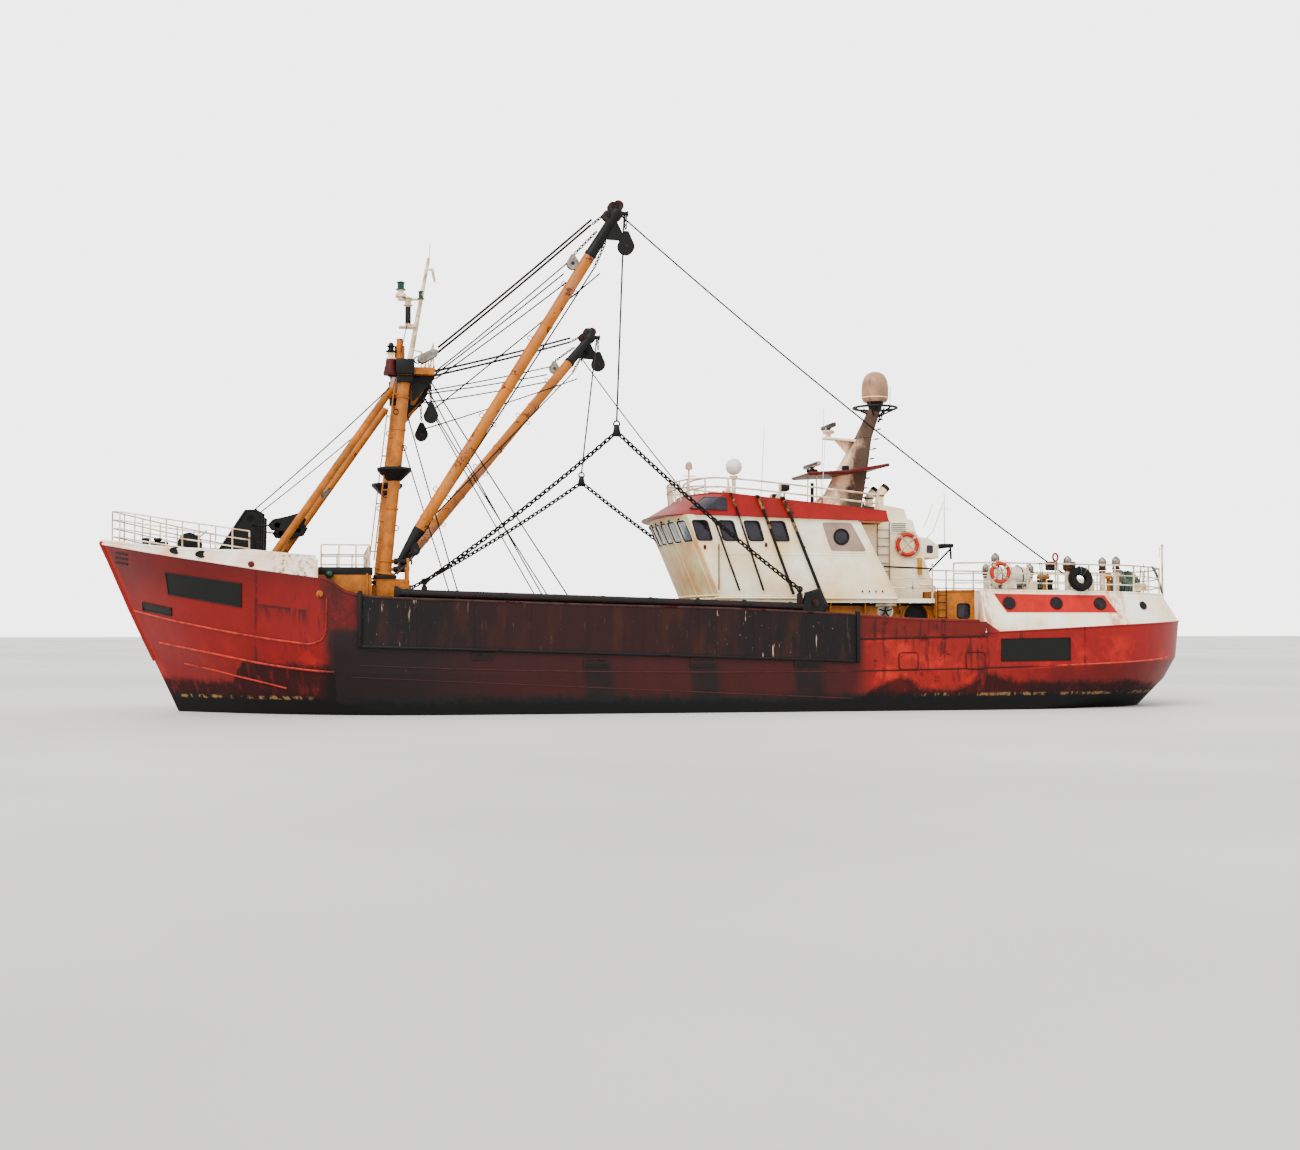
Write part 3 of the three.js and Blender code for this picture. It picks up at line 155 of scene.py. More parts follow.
lines = {name: Line(*LINES[name]) for name in ORDER}
bulwark_top = through([(-10.5, 3.69), (-10.18, 3.56), (-9.97, 3.4), (-9.79, 3.29), (-9.45, 3.2), (-9, 3.13),
    (-6.2, 3.03), (-3, 2.93), (.4, 2.85), (4.35, 2.68), (6.2, 2.56), (8.2, 2.52)])
boundary_z = through([(8.2, 2.2), (10.4, 2.31), (12.3, 2.41), (14.2, 2.5), (15.6, 2.56)])
poop_edge = through([(8.2, 3.43), (13, 3.37), (15.6, 3.3)])
band_top = through([(-16.44, 4.77), (-14.5, 4.5), (-13.1, 4.39), (-12.5, 4.31), (-11, 4.15), (-10.5, 4.11)])
doubler_foot = through([(-9.45, 1.85), (-3, 1.66), (4.4, 1.41)])


def place_of(x):
    """Where along the sides an x lies, for x between the entry and the stern."""
    return 1 + (x - FORE_END) / (STERN_START - FORE_END)


def side_at(p, z):
    """Port-side point of the plating at a place and a height, as a starboard (positive) breadth."""
    points = [lines[name].at(p) for name in ORDER]
    for low, high in zip(points, points[1:]):
        if z <= high.z or high is points[-1]:
            t = (z - low.z) / max(high.z - low.z, 1e-6)
            return low.lerp(high, t)
    return points[-1]


def on_side(x, z, proud=0.0):
    """Starboard-side point of the plating at an x and height, moved out by proud."""
    low, high = 0.0, 3.0
    for _ in range(30):
        middle = (low + high) / 2
        if side_at(middle, z).x < x:
            low = middle
        else:
            high = middle
    p = (low + high) / 2
    here = side_at(p, z)
    if not proud:
        return here
    ahead = side_at(min(p + .01, 3), z) - side_at(max(p - .01, 0), z)
    up = side_at(p, z + .05) - side_at(p, z - .05)
    out = up.cross(ahead).normalized()
    return here + out * (proud if out.y > 0 else -proud)


def span(low, high, count):
    return [low + (high - low) * i / (count - 1) for i in range(count)]


def angles(count):
    """Equal turns round a circle, in radians."""
    return [2 * math.pi * k / count for k in range(count)]


def above(height):
    return Vector((0, 0, height))


def sided(path, s):
    """A starboard path as it is, or mirrored to port for s of -1."""
    return [Vector((p.x, s * p.y, p.z)) for p in path]


def disc(radius, thick, core=.001):
    """Profile of a plain disc or collar, for Form.turned."""
    return [(core, 0), (radius, 0), (radius, thick), (core, thick)]


# Mesh forms

class Form:
    """Points and faces of one piece; each face carries the number of its finish."""

    def __init__(self):
        self.points = []
        self.faces = []
        self.finishes = []

    def add(self, points, faces, finish=0):
        start = len(self.points)
        self.points.extend(Vector(p) for p in points)
        self.faces.extend([start + i for i in face] for face in faces)
        self.finishes.extend([finish] * len(faces))

    def grid(self, rows, finish=0, closed=False, caps=False):
        """Faces between rows of points; closed joins each row's ends."""
        size = len(rows[0])
        points = [p for row in rows for p in row]
        turns = size if closed else size - 1
        faces = [(i * size + k, i * size + (k + 1) % size, (i + 1) * size + (k + 1) % size,
            (i + 1) * size + k) for i in range(len(rows) - 1) for k in range(turns)]
        if caps:
            faces.append(tuple(range(size))[::-1])
            faces.append(tuple(range((len(rows) - 1) * size, len(rows) * size)))
        self.add(points, faces, finish)

    def tube(self, path, radius, sides=10, finish=0, closed=False):
        """Round bar along points; radius is one number or one for each point."""
        path = [Vector(p) for p in path]
        count = len(path)
        radii = radius if isinstance(radius, (list, tuple)) else [radius] * count
        rows = []
        across = None
        for i, here in enumerate(path):
            before = path[i - 1] if i or closed else here
            after = path[(i + 1) % count] if i < count - 1 or closed else here
            along = (after - before).normalized()
            if across is None:
                across = along.orthogonal().normalized()
            across = (across - along * across.dot(along)).normalized()
            up = along.cross(across)
            bend = 1.0
            if 0 < i < count - 1 or closed:
                half = (here - before).normalized().dot(along)
                bend = 1 / max(half, .5)
            rows.append([here + (across * math.cos(a) + up * math.sin(a)) * radii[i] * bend
                for a in (2 * math.pi * k / sides for k in range(sides))])
        if closed:
            shift = min(range(sides), key=lambda k: (rows[0][k] - rows[-1][0]).length)
            rows.append(rows[0][shift:] + rows[0][:shift])
        self.grid(rows, finish, closed=True, caps=not closed)

    def block(self, centre, size, finish=0, bevel=.01, turn=None):
        """Box with rounded edges."""
        mesh = bmesh.new()
        bmesh.ops.create_cube(mesh, size=1)
        for v in mesh.verts:
            v.co = Vector(v.co[i] * size[i] for i in range(3))
        bevel = min(bevel, min(size) * .3)
        bmesh.ops.bevel(mesh, geom=mesh.edges[:], offset=bevel, segments=2, profile=.5, affect="EDGES")
        self.take(mesh, centre, turn, finish)

    def take(self, mesh, centre=(0, 0, 0), turn=None, finish=0):
        matrix = Matrix.Translation(centre) @ (turn.to_4x4() if turn else Matrix.Identity(4))
        mesh.verts.ensure_lookup_table()
        mesh.verts.index_update()
        self.add([matrix @ v.co for v in mesh.verts], [[v.index for v in f.verts] for f in mesh.faces],
            finish)
        mesh.free()

    def slab(self, outline, plane, low, high, finish=0, bevel=.006):
        """Flat plate: an outline in the xz, xy or yz plane, from low to high on the third axis."""
        mesh = bmesh.new()
        lift = {"xz": lambda u, v, w: (u, w, v), "xy": lambda u, v, w: (u, v, w), "yz": lambda u, v,
            w: (w, u, v)}[plane]
        foot = [mesh.verts.new(lift(u, v, low)) for u, v in outline]
        head = [mesh.verts.new(lift(u, v, high)) for u, v in outline]
        mesh.faces.new(foot[::-1])
        mesh.faces.new(head)
        for i in range(len(outline)):
            j = (i + 1) % len(outline)
            mesh.faces.new((foot[i], foot[j], head[j], head[i]))
        bmesh.ops.recalc_face_normals(mesh, faces=mesh.faces[:])
        rim = [e for e in mesh.edges if e.calc_face_angle(0) > .6]
        if bevel and rim:
            bmesh.ops.bevel(mesh, geom=rim, offset=bevel, segments=1, profile=.5, affect="EDGES")
        self.take(mesh, finish=finish)

    def halves(self, rows, other):
        """Starboard plating and its mirror image."""
        self.grid(rows)
        self.grid([row[::-1] for row in other])

    def foot_strip(self, rows, other):
        self.grid([[b[0], a[0]] for a, b in zip(rows, other)])

    def end_cap(self, row, mate):
        self.add(row + mate[::-1], [tuple(range(2 * len(row)))])

    def plate(self, outline, middle, half, finish=0, bevel=.006):
        """Upright slab in the xz plane, half to either side of middle."""
        self.slab(outline, "xz", middle - half, middle + half, finish, bevel)

    def ring(self, centre, axis, radius, count, thick, sides, finish=0):
        self.tube(circle(centre, axis, radius, count), thick, sides, finish, closed=True)

    def turned(self, foot, head, profile, sides=24, finish=0):
        """Turned form: profile of (radius, distance) from foot towards head."""
        foot, head = Vector(foot), Vector(head)
        along = (head - foot).normalized()
        across = along.orthogonal().normalized()
        up = along.cross(across)
        rows = [[foot + along * d + (across * math.cos(a) + up * math.sin(a)) * max(r, 1e-4)
            for a in (2 * math.pi * k / sides for k in range(sides))] for r, d in profile]
        self.grid(rows, finish, closed=True, caps=True)

    def piece(self, name, finishes, body="boat", replaces=(), smooth=35):
        mesh = bpy.data.meshes.new(name)
        mesh.from_pydata([tuple(p) for p in self.points], [], self.faces)
        mesh.update()
        tidy = bmesh.new()
        tidy.from_mesh(mesh)
        bmesh.ops.recalc_face_normals(tidy, faces=tidy.faces[:])
        tidy.to_mesh(mesh)
        tidy.free()
        finishes = finishes if isinstance(finishes, (list, tuple)) else [finishes]
        for finish in finishes:
            mesh.materials.append(finish)
        mesh.polygons.foreach_set("material_index", self.finishes)
        mesh.polygons.foreach_set("use_smooth", [True] * len(mesh.polygons))
        mesh.set_sharp_from_angle(angle=math.radians(smooth))
        made = bpy.data.objects.new(name, mesh)
        bpy.context.scene.collection.objects.link(made)
        if body:
            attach(made, body)
        if replaces:
            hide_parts(*replaces)
        return made


def circle(centre, axis, radius, count=32, start=0.0):
    """Points round a centre, square to the x, y or z axis."""
    u, v = {"x": ((0, 1, 0), (0, 0, 1)), "y": ((1, 0, 0), (0, 0, 1)), "z": ((1, 0, 0), (0, 1, 0))}[axis]
    return [Vector(centre) + Vector(u) * math.cos(a) * radius + Vector(v) * math.sin(a) * radius
        for a in (start + 2 * math.pi * k / count for k in range(count))]


def rounded(corners, radius, steps=5):
    """An outline's points with its corners rounded."""
    made = []
    count = len(corners)
    for i in range(count):
        here = Vector(corners[i])
        back = (Vector(corners[i - 1]) - here)
        fore = (Vector(corners[(i + 1) % count]) - here)
        reach = min(radius, back.length * .45, fore.length * .45)
        a, b = here + back.normalized() * reach, here + fore.normalized() * reach
        for k in range(steps + 1):
            t = k / steps
            made.append(a * (1 - t) ** 2 + here * 2 * t * (1 - t) + b * t * t)
    return made


# Shader node helpers

SHOWN = through([(0, 0), (9, .005), (18, .01), (32, .02), (51, .04), (76, .08), (96, .12), (118, .18),
                 (136, .25), (153, .35), (170, .5), (184, .7), (193, .9), (202, 1.2), (211, 1.6),
                 (220, 2.2), (233, 4), (255, 7)])
LIGHT = 2.7
SHEEN = .03


def tone(red, green, blue):
    """Base colour that shows as this 8-bit screen colour in the scene's light."""
    def base(c):
        c = max(SHOWN(c) - SHEEN, .003) / LIGHT
        return c / (1 + (c / .95) ** 4) ** .25
    return (base(red), base(green), base(blue), 1)


def node(tree, kind, inputs=None, **settings):
    made = tree.nodes.new(kind)
    for name, value in settings.items():
        setattr(made, name, value)
    for key, value in (inputs or {}).items():
        if isinstance(value, bpy.types.NodeSocket):
            tree.links.new(value, made.inputs[key])
        else:
            made.inputs[key].default_value = value
    return made


def maths(tree, operation, a, b=None, clamp=False):
    inputs = {0: a} if b is None else {0: a, 1: b}
    return node(tree, "ShaderNodeMath", inputs, operation=operation, use_clamp=clamp).outputs[0]


def plus(tree, a, b):
    return maths(tree, "ADD", a, b)


def minus(tree, a, b):
    return maths(tree, "SUBTRACT", a, b)


def larger(tree, a, b):
    return maths(tree, "MAXIMUM", a, b)


def times(tree, *masks):
    made = masks[0]
    for mask in masks[1:]:
        made = maths(tree, "MULTIPLY", made, mask)
    return made


def own_place(tree):
    return node(tree, "ShaderNodeTexCoord").outputs["Object"]


def axes_of(tree, where):
    return node(tree, "ShaderNodeSeparateXYZ", {"Vector": where}).outputs[:3]


def plug(shader, name, value):
    shader.id_data.links.new(value, shader.inputs[name])


def emboss(tree, shader, strength, distance, height):
    swell = node(tree, "ShaderNodeBump", {"Strength": strength, "Distance": distance, "Height": height})
    plug(shader, "Normal", swell.outputs[0])


def brushed(tree, shader, strength, distance, brush, dents):
    """Bump of brushed paint over dented plate."""
    emboss(tree, shader, strength, distance, effect(tree, "skin", Brush=brush, Dents=dents))


def clouds_of(tree, where, scale, detail, rough, low, high, **placed):
    """Noise as a mask: nought below low, one above high."""
    return ramp(tree, noise(tree, scale, detail, rough, where, **placed), [(low, 0.0), (high, 1.0)])


def blend_colour(tree, factor, a, b, blend="MIX"):
    made = node(tree, "ShaderNodeMix", {0: factor, 6: a, 7: b}, data_type="RGBA", blend_type=blend)
    return made.outputs[2]


def ramp(tree, factor, stops, interpolation="LINEAR"):
    """A scale of values: stops are (place, value) or (place, colour)."""
    made = node(tree, "ShaderNodeValToRGB", {0: factor})
    scale = made.color_ramp
    scale.interpolation = interpolation
    while len(scale.elements) > 1:
        scale.elements.remove(scale.elements[-1])
    for i, (place, value) in enumerate(stops):
        stop = scale.elements[0] if i == 0 else scale.elements.new(place)
        stop.position = place
        stop.color = value if isinstance(value, tuple) else (value, value, value, 1)
    return made.outputs[0]


def step(tree, value, low, high):
    """Nought below low and one above high, smooth between."""
    made = node(tree, "ShaderNodeMapRange", {0: value, 1: low, 2: high}, interpolation_type="SMOOTHSTEP")
    return made.outputs[0]


def noise(tree, scale, detail=4.0, rough=.55, at=None, stretch=(1, 1, 1), shift=(0, 0, 0)):
    """Noise in the piece's own place, in metres, stretched along its axes."""
    where = at or own_place(tree)
    if stretch != (1, 1, 1) or shift != (0, 0, 0):
        where = node(tree, "ShaderNodeMapping", {0: where, 1: shift, 3: stretch}).outputs[0]
    return node(tree, "ShaderNodeTexNoise", {"Vector": where, "Scale": scale, "Detail": detail,
        "Roughness": rough}).outputs[0]


def new_effect(name, inputs, outputs):
    """A shared effect's node group with named inputs and outputs; gives its tree, input and output."""
    tree = bpy.data.node_groups.new(name, "ShaderNodeTree")
    for label, value in inputs.items():
        kind = "NodeSocketColor" if isinstance(value, tuple) else "NodeSocketFloat"
        tree.interface.new_socket(label, in_out="INPUT", socket_type=kind).default_value = value
    for label in outputs:
        kind = "NodeSocketColor" if label == "Color" else "NodeSocketFloat"
        tree.interface.new_socket(label, in_out="OUTPUT", socket_type=kind)
    entry = tree.nodes.new("NodeGroupInput")
    leave = tree.nodes.new("NodeGroupOutput")
    return tree, entry.outputs, leave.inputs


def patches_effect():
    """Irregular patches, such as rust that has broken through paint."""
    tree, given, out = new_effect("Patches", {"Scale": 1.0, "Cover": .5, "Edge": .06}, ["Mask"])
    where = own_place(tree)
    broad = noise(tree, given["Scale"], 3, .5, where)
    fine = noise(tree, times(tree, given["Scale"], 7.3), 6, .65, where)
    height = plus(tree, times(tree, broad, .62), times(tree, fine, .38))
    start = minus(tree, .75, times(tree, given["Cover"], .5))
    tree.links.new(step(tree, height, start, plus(tree, start, given["Edge"])), out["Mask"])
    return tree


def runs_effect():
    """Streaks that run down a wall."""
    tree, given, out = new_effect("Runs", {"Scale": 1.0, "Cover": .5, "Edge": .12}, ["Mask"])
    where = own_place(tree)
    thin = noise(tree, times(tree, given["Scale"], 5.0), 3, .6, where, stretch=(1, 1, .07))
    broad = noise(tree, times(tree, given["Scale"], .8), 2, .5, where, shift=(7, 3, 1))
    height = plus(tree, times(tree, thin, .6), times(tree, broad, .4))
    start = minus(tree, .75, times(tree, given["Cover"], .5))
    tree.links.new(step(tree, height, start, plus(tree, start, given["Edge"])), out["Mask"])
    return tree


def skin_effect():
    """Small unevenness of brushed paint over dented plate, as a height."""
    tree, given, out = new_effect("Plate skin", {"Brush": .3, "Dents": .7}, ["Height"])
    where = own_place(tree)
    brush = noise(tree, 40, 3, .6, where)
    dents = noise(tree, 1.3, 2, .4, where)
    height = plus(tree, times(tree, brush, given["Brush"]), times(tree, dents, given["Dents"]))
    tree.links.new(height, out["Height"])
    return tree


def rust_effect():
    """Rust's own colour, from dark scale to fresh orange."""
    tree, given, out = new_effect("Rust colour", {"Fresh": .5}, ["Color"])
    grain = noise(tree, 9, 6, .7)
    shade = plus(tree, grain, minus(tree, given["Fresh"], .5))
    colours = ramp(tree, shade, [(.3, tone(46, 26, 22)), (.45, tone(88, 44, 28)), (.6, tone(132, 66, 32)),
        (.75, tone(176, 98, 48))])
    tree.links.new(colours, out["Color"])
    return tree


EFFECTS = {"patches": patches_effect(), "runs": runs_effect(), "skin": skin_effect(),
           "rust": rust_effect()}


def effect(tree, name, **values):
    made = tree.nodes.new("ShaderNodeGroup")
    made.node_tree = EFFECTS[name]
    for key, value in values.items():
        if isinstance(value, bpy.types.NodeSocket):
            tree.links.new(value, made.inputs[key])
        else:
            made.inputs[key].default_value = value
    return made.outputs[0]


def new_finish(name, **sockets):
    """A material with a Principled shader; gives the material, its tree and the shader."""
    material = bpy.data.materials.new(name)
    material.use_nodes = True
    tree = material.node_tree
    shader = tree.nodes["Principled BSDF"]
    shader.inputs["Specular IOR Level"].default_value = .22
    for key, value in sockets.items():
        shader.inputs[key.replace("_", " ")].default_value = value
    return material, tree, shader


def weathered(name, colour, faded, rust=.25, runs=.25, grime=.3, gloss=.45, scale=1.0, brush=.3, bump=.4,
        fresh=.45, metallic=0.0):
    """Painted steel: faded paint, rust patches and runs, grime, and an uneven skin."""
    material, tree, shader = new_finish(name, Metallic=metallic)
    paint = blend_colour(tree, ramp(tree, noise(tree, .9 * scale, 5), [(.35, 0.0), (.65, 1.0)]), colour,
        faded)
    dirt = ramp(tree, noise(tree, 2.6 * scale, 8, .65), [(.42, 0.0), (.72, 1.0)])
    paint = blend_colour(tree, times(tree, dirt, grime), paint, tone(70, 55, 48), "MULTIPLY")
    broken = effect(tree, "patches", Scale=1.6 * scale, Cover=rust, Edge=.05)
    streaks = effect(tree, "runs", Scale=1.4 * scale, Cover=runs, Edge=.2)
    colour_of_rust = effect(tree, "rust", Fresh=fresh)
    paint = blend_colour(tree, times(tree, streaks, .75), paint, colour_of_rust)
    paint = blend_colour(tree, broken, paint, colour_of_rust)
    plug(shader, "Base Color", paint)
    rough = plus(tree, gloss, times(tree, larger(tree, broken, streaks), .4))
    plug(shader, "Roughness", rough)
    height = minus(tree, effect(tree, "skin", Brush=brush, Dents=.7), times(tree, broken, .15))
    emboss(tree, shader, bump, .02, height)
    return material


# Finishes

FREEING_PORTS = [(-3.4, -2.7), (-.44, .29), (2.52, 3.27)]
AFTER_PORTS = [(5.58, 6.14), (7.58, 8.14)]
UPRIGHT_SEAMS = [-12.12, 8.25, 11.22]


def along_boat(tree, x, stops):
    """Colour or value by the place along the boat; stops are (x in metres, value)."""
    share = maths(tree, "DIVIDE", plus(tree, x, 16.5), 33)
    return ramp(tree, share, [((at + 16.5) / 33, value) for at, value in stops])


def between_heights(tree, z, foot, head, soft):
    """One between two heights, soft at both."""
    return times(tree, step(tree, z, foot - soft, foot + soft), step(tree, z, head + soft, head - soft))


def hull_paint():
    """Red plating, maroon and brown amidships, scraped to black over the waterline."""
    material, tree, shader = new_finish("hull paint")
    where = own_place(tree)
    x, y, z = axes_of(tree, where)
    grain = minus(tree, noise(tree, 1.7, 6, .65, where), .5)
    fine = minus(tree, noise(tree, 7, 6, .7, where), .5)
    ragged_x = plus(tree, x, times(tree, grain, .4))
    ragged_z = plus(tree, z, times(tree, plus(tree, grain, fine), .35))
    red, maroon = tone(172, 46, 31), tone(56, 30, 35)
    paint = along_boat(tree, ragged_x, [(-16.5, red), (-10.4, red), (-10.15, maroon),
        (-7.8, tone(58, 31, 35)), (-5.4, tone(84, 44, 42)), (-2, tone(92, 45, 40)), (3.4, tone(98, 41, 37)),
        (4.3, tone(104, 41, 36)), (4.75, tone(174, 50, 33)), (5.4, tone(184, 54, 34)),
        (8.6, tone(178, 50, 33)), (10.9, tone(180, 46, 29)), (16.5, tone(182, 44, 28))])
    # Painted shade on the bow's top edge; duller in the strip over the after bar and before the rubbing
    # plates
    bow = step(tree, x, -10.3, -10.34)
    edge = times(tree, bow, step(tree, ragged_z, 2.9, 4.0))
    paint = blend_colour(tree, times(tree, edge, .8), paint, tone(136, 40, 33))
    strip = times(tree, along_boat(tree, x, [(4.42, 0.0), (4.5, .85), (8.3, .8), (8.6, 0.0)]),
        step(tree, z, 2.04, 2.1))
    paint = blend_colour(tree, strip, paint, tone(140, 49, 39))
    shoulder = times(tree, along_boat(tree, x, [(-10.3, 0.0), (-10.25, 1.0), (-9.7, 1.0), (-9.3, 0.0)]),
        step(tree, ragged_z, 2.15, 2.45))
    torn = ramp(tree, noise(tree, 2.6, 5, .65, where), [(.38, 1.0), (.6, .35)])
    paint = blend_colour(tree, times(tree, shoulder, torn), paint, tone(156, 46, 38))
    stem = step(tree, maths(tree, "ABSOLUTE", y), .3, .12)
    paint = blend_colour(tree, times(tree, bow, stem, step(tree, z, .7, 1.0)), paint, tone(182, 52, 33))
    # Clouds, brush marks and long faint runs
    clouds = clouds_of(tree, where, .9, 6, .6, .38, .68)
    paint = blend_colour(tree, times(tree, clouds, .45), paint, (.62, .5, .5, 1), "MULTIPLY")
    marks = clouds_of(tree, where, 6, 6, .7, .4, .68, stretch=(1, 1, .35))
    paint = blend_colour(tree, times(tree, marks, .4), paint, (.6, .52, .52, 1), "MULTIPLY")
    bright = clouds_of(tree, where, 1.3, 5, .6, .52, .72, shift=(5, 2, 0))
    hot = along_boat(tree, x, [(-12, .15), (-10.4, .4), (-10.3, 0.0), (4.5, 0.0), (4.7, .75), (9, .6),
        (14, .4)])
    paint = blend_colour(tree, times(tree, bright, hot, step(tree, z, 2.3, 1.9)), paint, tone(214, 66, 36))
    # Black chips and drips
    chance = along_boat(tree, x, [(-16, .0), (-12.5, .1), (-10.3, .25), (-9, .1), (4.4, .1), (4.6, .36),
        (9, .3), (10, .12), (15, .1)])
    chips = effect(tree, "patches", Scale=3.4, Cover=chance, Edge=.04)
    drips = effect(tree, "runs", Scale=2.1, Cover=plus(tree, chance, .12), Edge=.1)
    paint = blend_colour(tree, times(tree, larger(tree, chips, drips), .7), paint, tone(64, 34, 34))
    for place in UPRIGHT_SEAMS:
        near = maths(tree, "ABSOLUTE", minus(tree, plus(tree, x, times(tree, fine, .05)), place))
        stain = times(tree, step(tree, near, .07, .015), step(tree, noise(tree, 4, 4, .6, where), .42, .6),
            step(tree, z, 1.1, 1.3))
        paint = blend_colour(tree, times(tree, stain, .6), paint, tone(60, 34, 36))
    weld = plus(tree, z, times(tree, plus(tree, x, 12.07), .13))
    under = times(tree, along_boat(tree, x, [(-12.1, 0.0), (-12.05, 1.0), (-10.75, 1.0), (-10.7, 0.0)]),
        step(tree, weld, 2.4, 2.95), step(tree, weld, 3.0, 2.97))
    trickle = clouds_of(tree, where, 8, 5, .6, .44, .54, stretch=(1, 1, .1))
    line_up = times(tree, under, step(tree, weld, 2.9, 2.94), clouds_of(tree, where, 6, 3, .5, .4, .5))
    paint = blend_colour(tree, times(tree, larger(tree, times(tree, under, trickle), line_up), .75), paint,
        tone(60, 34, 36))
    low_strake = times(tree, step(tree, x, 9.2, 9.7), step(tree,
        minus(tree, z, times(tree, minus(tree, x, 12.2), .05)), 1.33, 1.28))
    paint = blend_colour(tree, times(tree, low_strake, .7), paint, tone(122, 36, 32))
    # Plating scraped bare under the bow's shoulder and dark smears over the waterline
    top = along_boat(tree, ragged_x, [(-16, .2), (-12.75, .18), (-12.5, .3), (-10.1, .27), (-9.9, .08),
        (4.4, .08), (4.8, .13), (5.6, .2), (6.4, .13), (7.2, .12), (8.3, .22), (9.2, .17), (13, .17),
        (15.5, .08)])
    over = minus(tree, times(tree, top, 5), ragged_z)
    smear = step(tree, over, -.08, .14)
    left = ramp(tree, noise(tree, 5, 5, .65, where, stretch=(1, 1, .16)), [(.55, 1.0), (.68, .58)])
    keep = step(tree, z, .75, .45)
    smear = times(tree, smear, larger(tree, left, keep))
    paint = blend_colour(tree, times(tree, smear, .88), paint, tone(40, 27, 31))
    # Dirt washed out of the freeing ports
    stops = [(-16.4, 0.0)]
    for start, end in FREEING_PORTS:
        stops += [(start - .03, 0.0), (start + .06, 1.0), (end, 1.0), (end + .16, 0.0)]
    drift = times(tree, minus(tree, 1.3, z), .12)
    wash = times(tree, along_boat(tree, minus(tree, x, drift), stops), step(tree, z, 1.5, 1.3),
        ramp(tree, noise(tree, 3, 5, .6, where), [(.3, .95), (.7, .7)]))
    paint = blend_colour(tree, wash, paint, tone(36, 26, 30))
    # Worn boot line, and weed-dark plating under it
    dashes = clouds_of(tree, where, 3.4, 5, .75, .5, .56, shift=(4, 0, 0), stretch=(1, 1, .4))
    ends = along_boat(tree, x, [(-15, .8), (-10.9, .8), (-10.5, 0.0), (6, 0.0), (6.4, .5), (13.5, .6),
        (15.5, .2)])
    line = times(tree, between_heights(tree, plus(tree, z, times(tree, fine, .1)), .42, .5, .02), dashes,
        ends)
    boot = along_boat(tree, x, [(-12, tone(46, 28, 33)), (-8, tone(31, 28, 32)), (3, tone(28, 30, 29)),
        (8, tone(25, 24, 29))])
    paint = blend_colour(tree, step(tree, ragged_z, .62, .36), paint, boot)
    paint = blend_colour(tree, line, paint, tone(186, 162, 116))
    plug(shader, "Base Color", paint)
    plug(shader, "Roughness", plus(tree, .48, times(tree, larger(tree, smear, chips), .35)))
    height = minus(tree, effect(tree, "skin", Brush=.2, Dents=1.0), times(tree, chips, .15))
    emboss(tree, shader, .4, .03, height)
    return material


def bar_paint():
    """Half-round bars: a lighter red at bow and stern, dark amidships."""
    material, tree, shader = new_finish("bar paint", Roughness=.5)
    where = own_place(tree)
    x = axes_of(tree, where)[0]
    paint = along_boat(tree, x, [(-16, tone(206, 84, 64)), (-10.6, tone(196, 74, 56)),
        (-10, tone(58, 36, 38)), (-6, tone(104, 62, 60)), (4, tone(116, 62, 56)), (4.6, tone(70, 36, 34)),
        (9.5, tone(78, 38, 34)), (10.5, tone(208, 98, 82)), (16, tone(214, 110, 96))])
    worn = ramp(tree, noise(tree, 5, 6, .7, where), [(.45, 0.0), (.65, .8)])
    paint = blend_colour(tree, worn, paint, tone(84, 40, 36))
    plug(shader, "Base Color", paint)
    return material


def rubbing_plate_finish():
    """Dark maroon plates, streaked upright and scratched to white by gear."""
    material, tree, shader = new_finish("rubbing plate", Roughness=.66)
    where = own_place(tree)
    x = axes_of(tree, where)[0]
    tint = along_boat(tree, x, [(-9.4, tone(46, 31, 38)), (-7.2, tone(52, 34, 40)), (-5, tone(74, 44, 42)),
        (-1.4, tone(70, 41, 40)), (.5, tone(56, 34, 37)), (4.3, tone(48, 31, 35))])
    fine = clouds_of(tree, where, 7, 6, .65, .36, .66, stretch=(1, 1, .16))
    tint = blend_colour(tree, times(tree, fine, .6), tint, (.5, .46, .5, 1), "MULTIPLY")
    broad = ramp(tree, noise(tree, 1.6, 4, .6, where, stretch=(1, 1, .25), shift=(9, 0, 0)),
        [(.5, 0.0), (.7, .7)])
    tint = blend_colour(tree, broad, tint, tone(98, 56, 46))
    pale = effect(tree, "runs", Scale=3.1, Cover=.3, Edge=.08)
    tint = blend_colour(tree, times(tree, pale, .5), tint, tone(128, 84, 70))
    slanted = node(tree, "ShaderNodeMapping", {0: where, 2: (0, .35, 0), 3: (1, 1, .14)}).outputs[0]
    cuts = ramp(tree, noise(tree, 9, 3, .5, slanted), [(.69, 0.0), (.73, 1.0)])
    gear = along_boat(tree, x, [(-9.3, .7), (-8.4, .2), (-7.9, .5), (-7, .1), (-1.4, .1), (-.9, .9),
        (-.3, .3), (.4, .9), (2.2, .9), (2.7, .3), (3.1, .8), (4.3, .6)])
    specks = clouds_of(tree, where, 11, 4, .6, .68, .71)
    cuts = larger(tree, cuts, times(tree, specks, .7))
    tint = blend_colour(tree, times(tree, cuts, gear), tint, tone(206, 190, 182))
    plug(shader, "Base Color", tint)
    brushed(tree, shader, .3, .02, .4, 1.2)
    return material


def black_gear():
    return weathered("black gear", tone(26, 24, 26), tone(46, 42, 44), rust=.34, runs=.25, grime=.2,
        gloss=.55, scale=2.2, fresh=.15)


def white_plating():
    return weathered("white plating", tone(252, 236, 220), tone(238, 216, 194), rust=.14, runs=.2,
        grime=.16, gloss=.42, fresh=.6)


def yellow_paint():
    return weathered("yellow paint", tone(206, 156, 24), tone(192, 144, 56), rust=.3, runs=.35, grime=.5,
        gloss=.5, scale=1.5, fresh=.35)


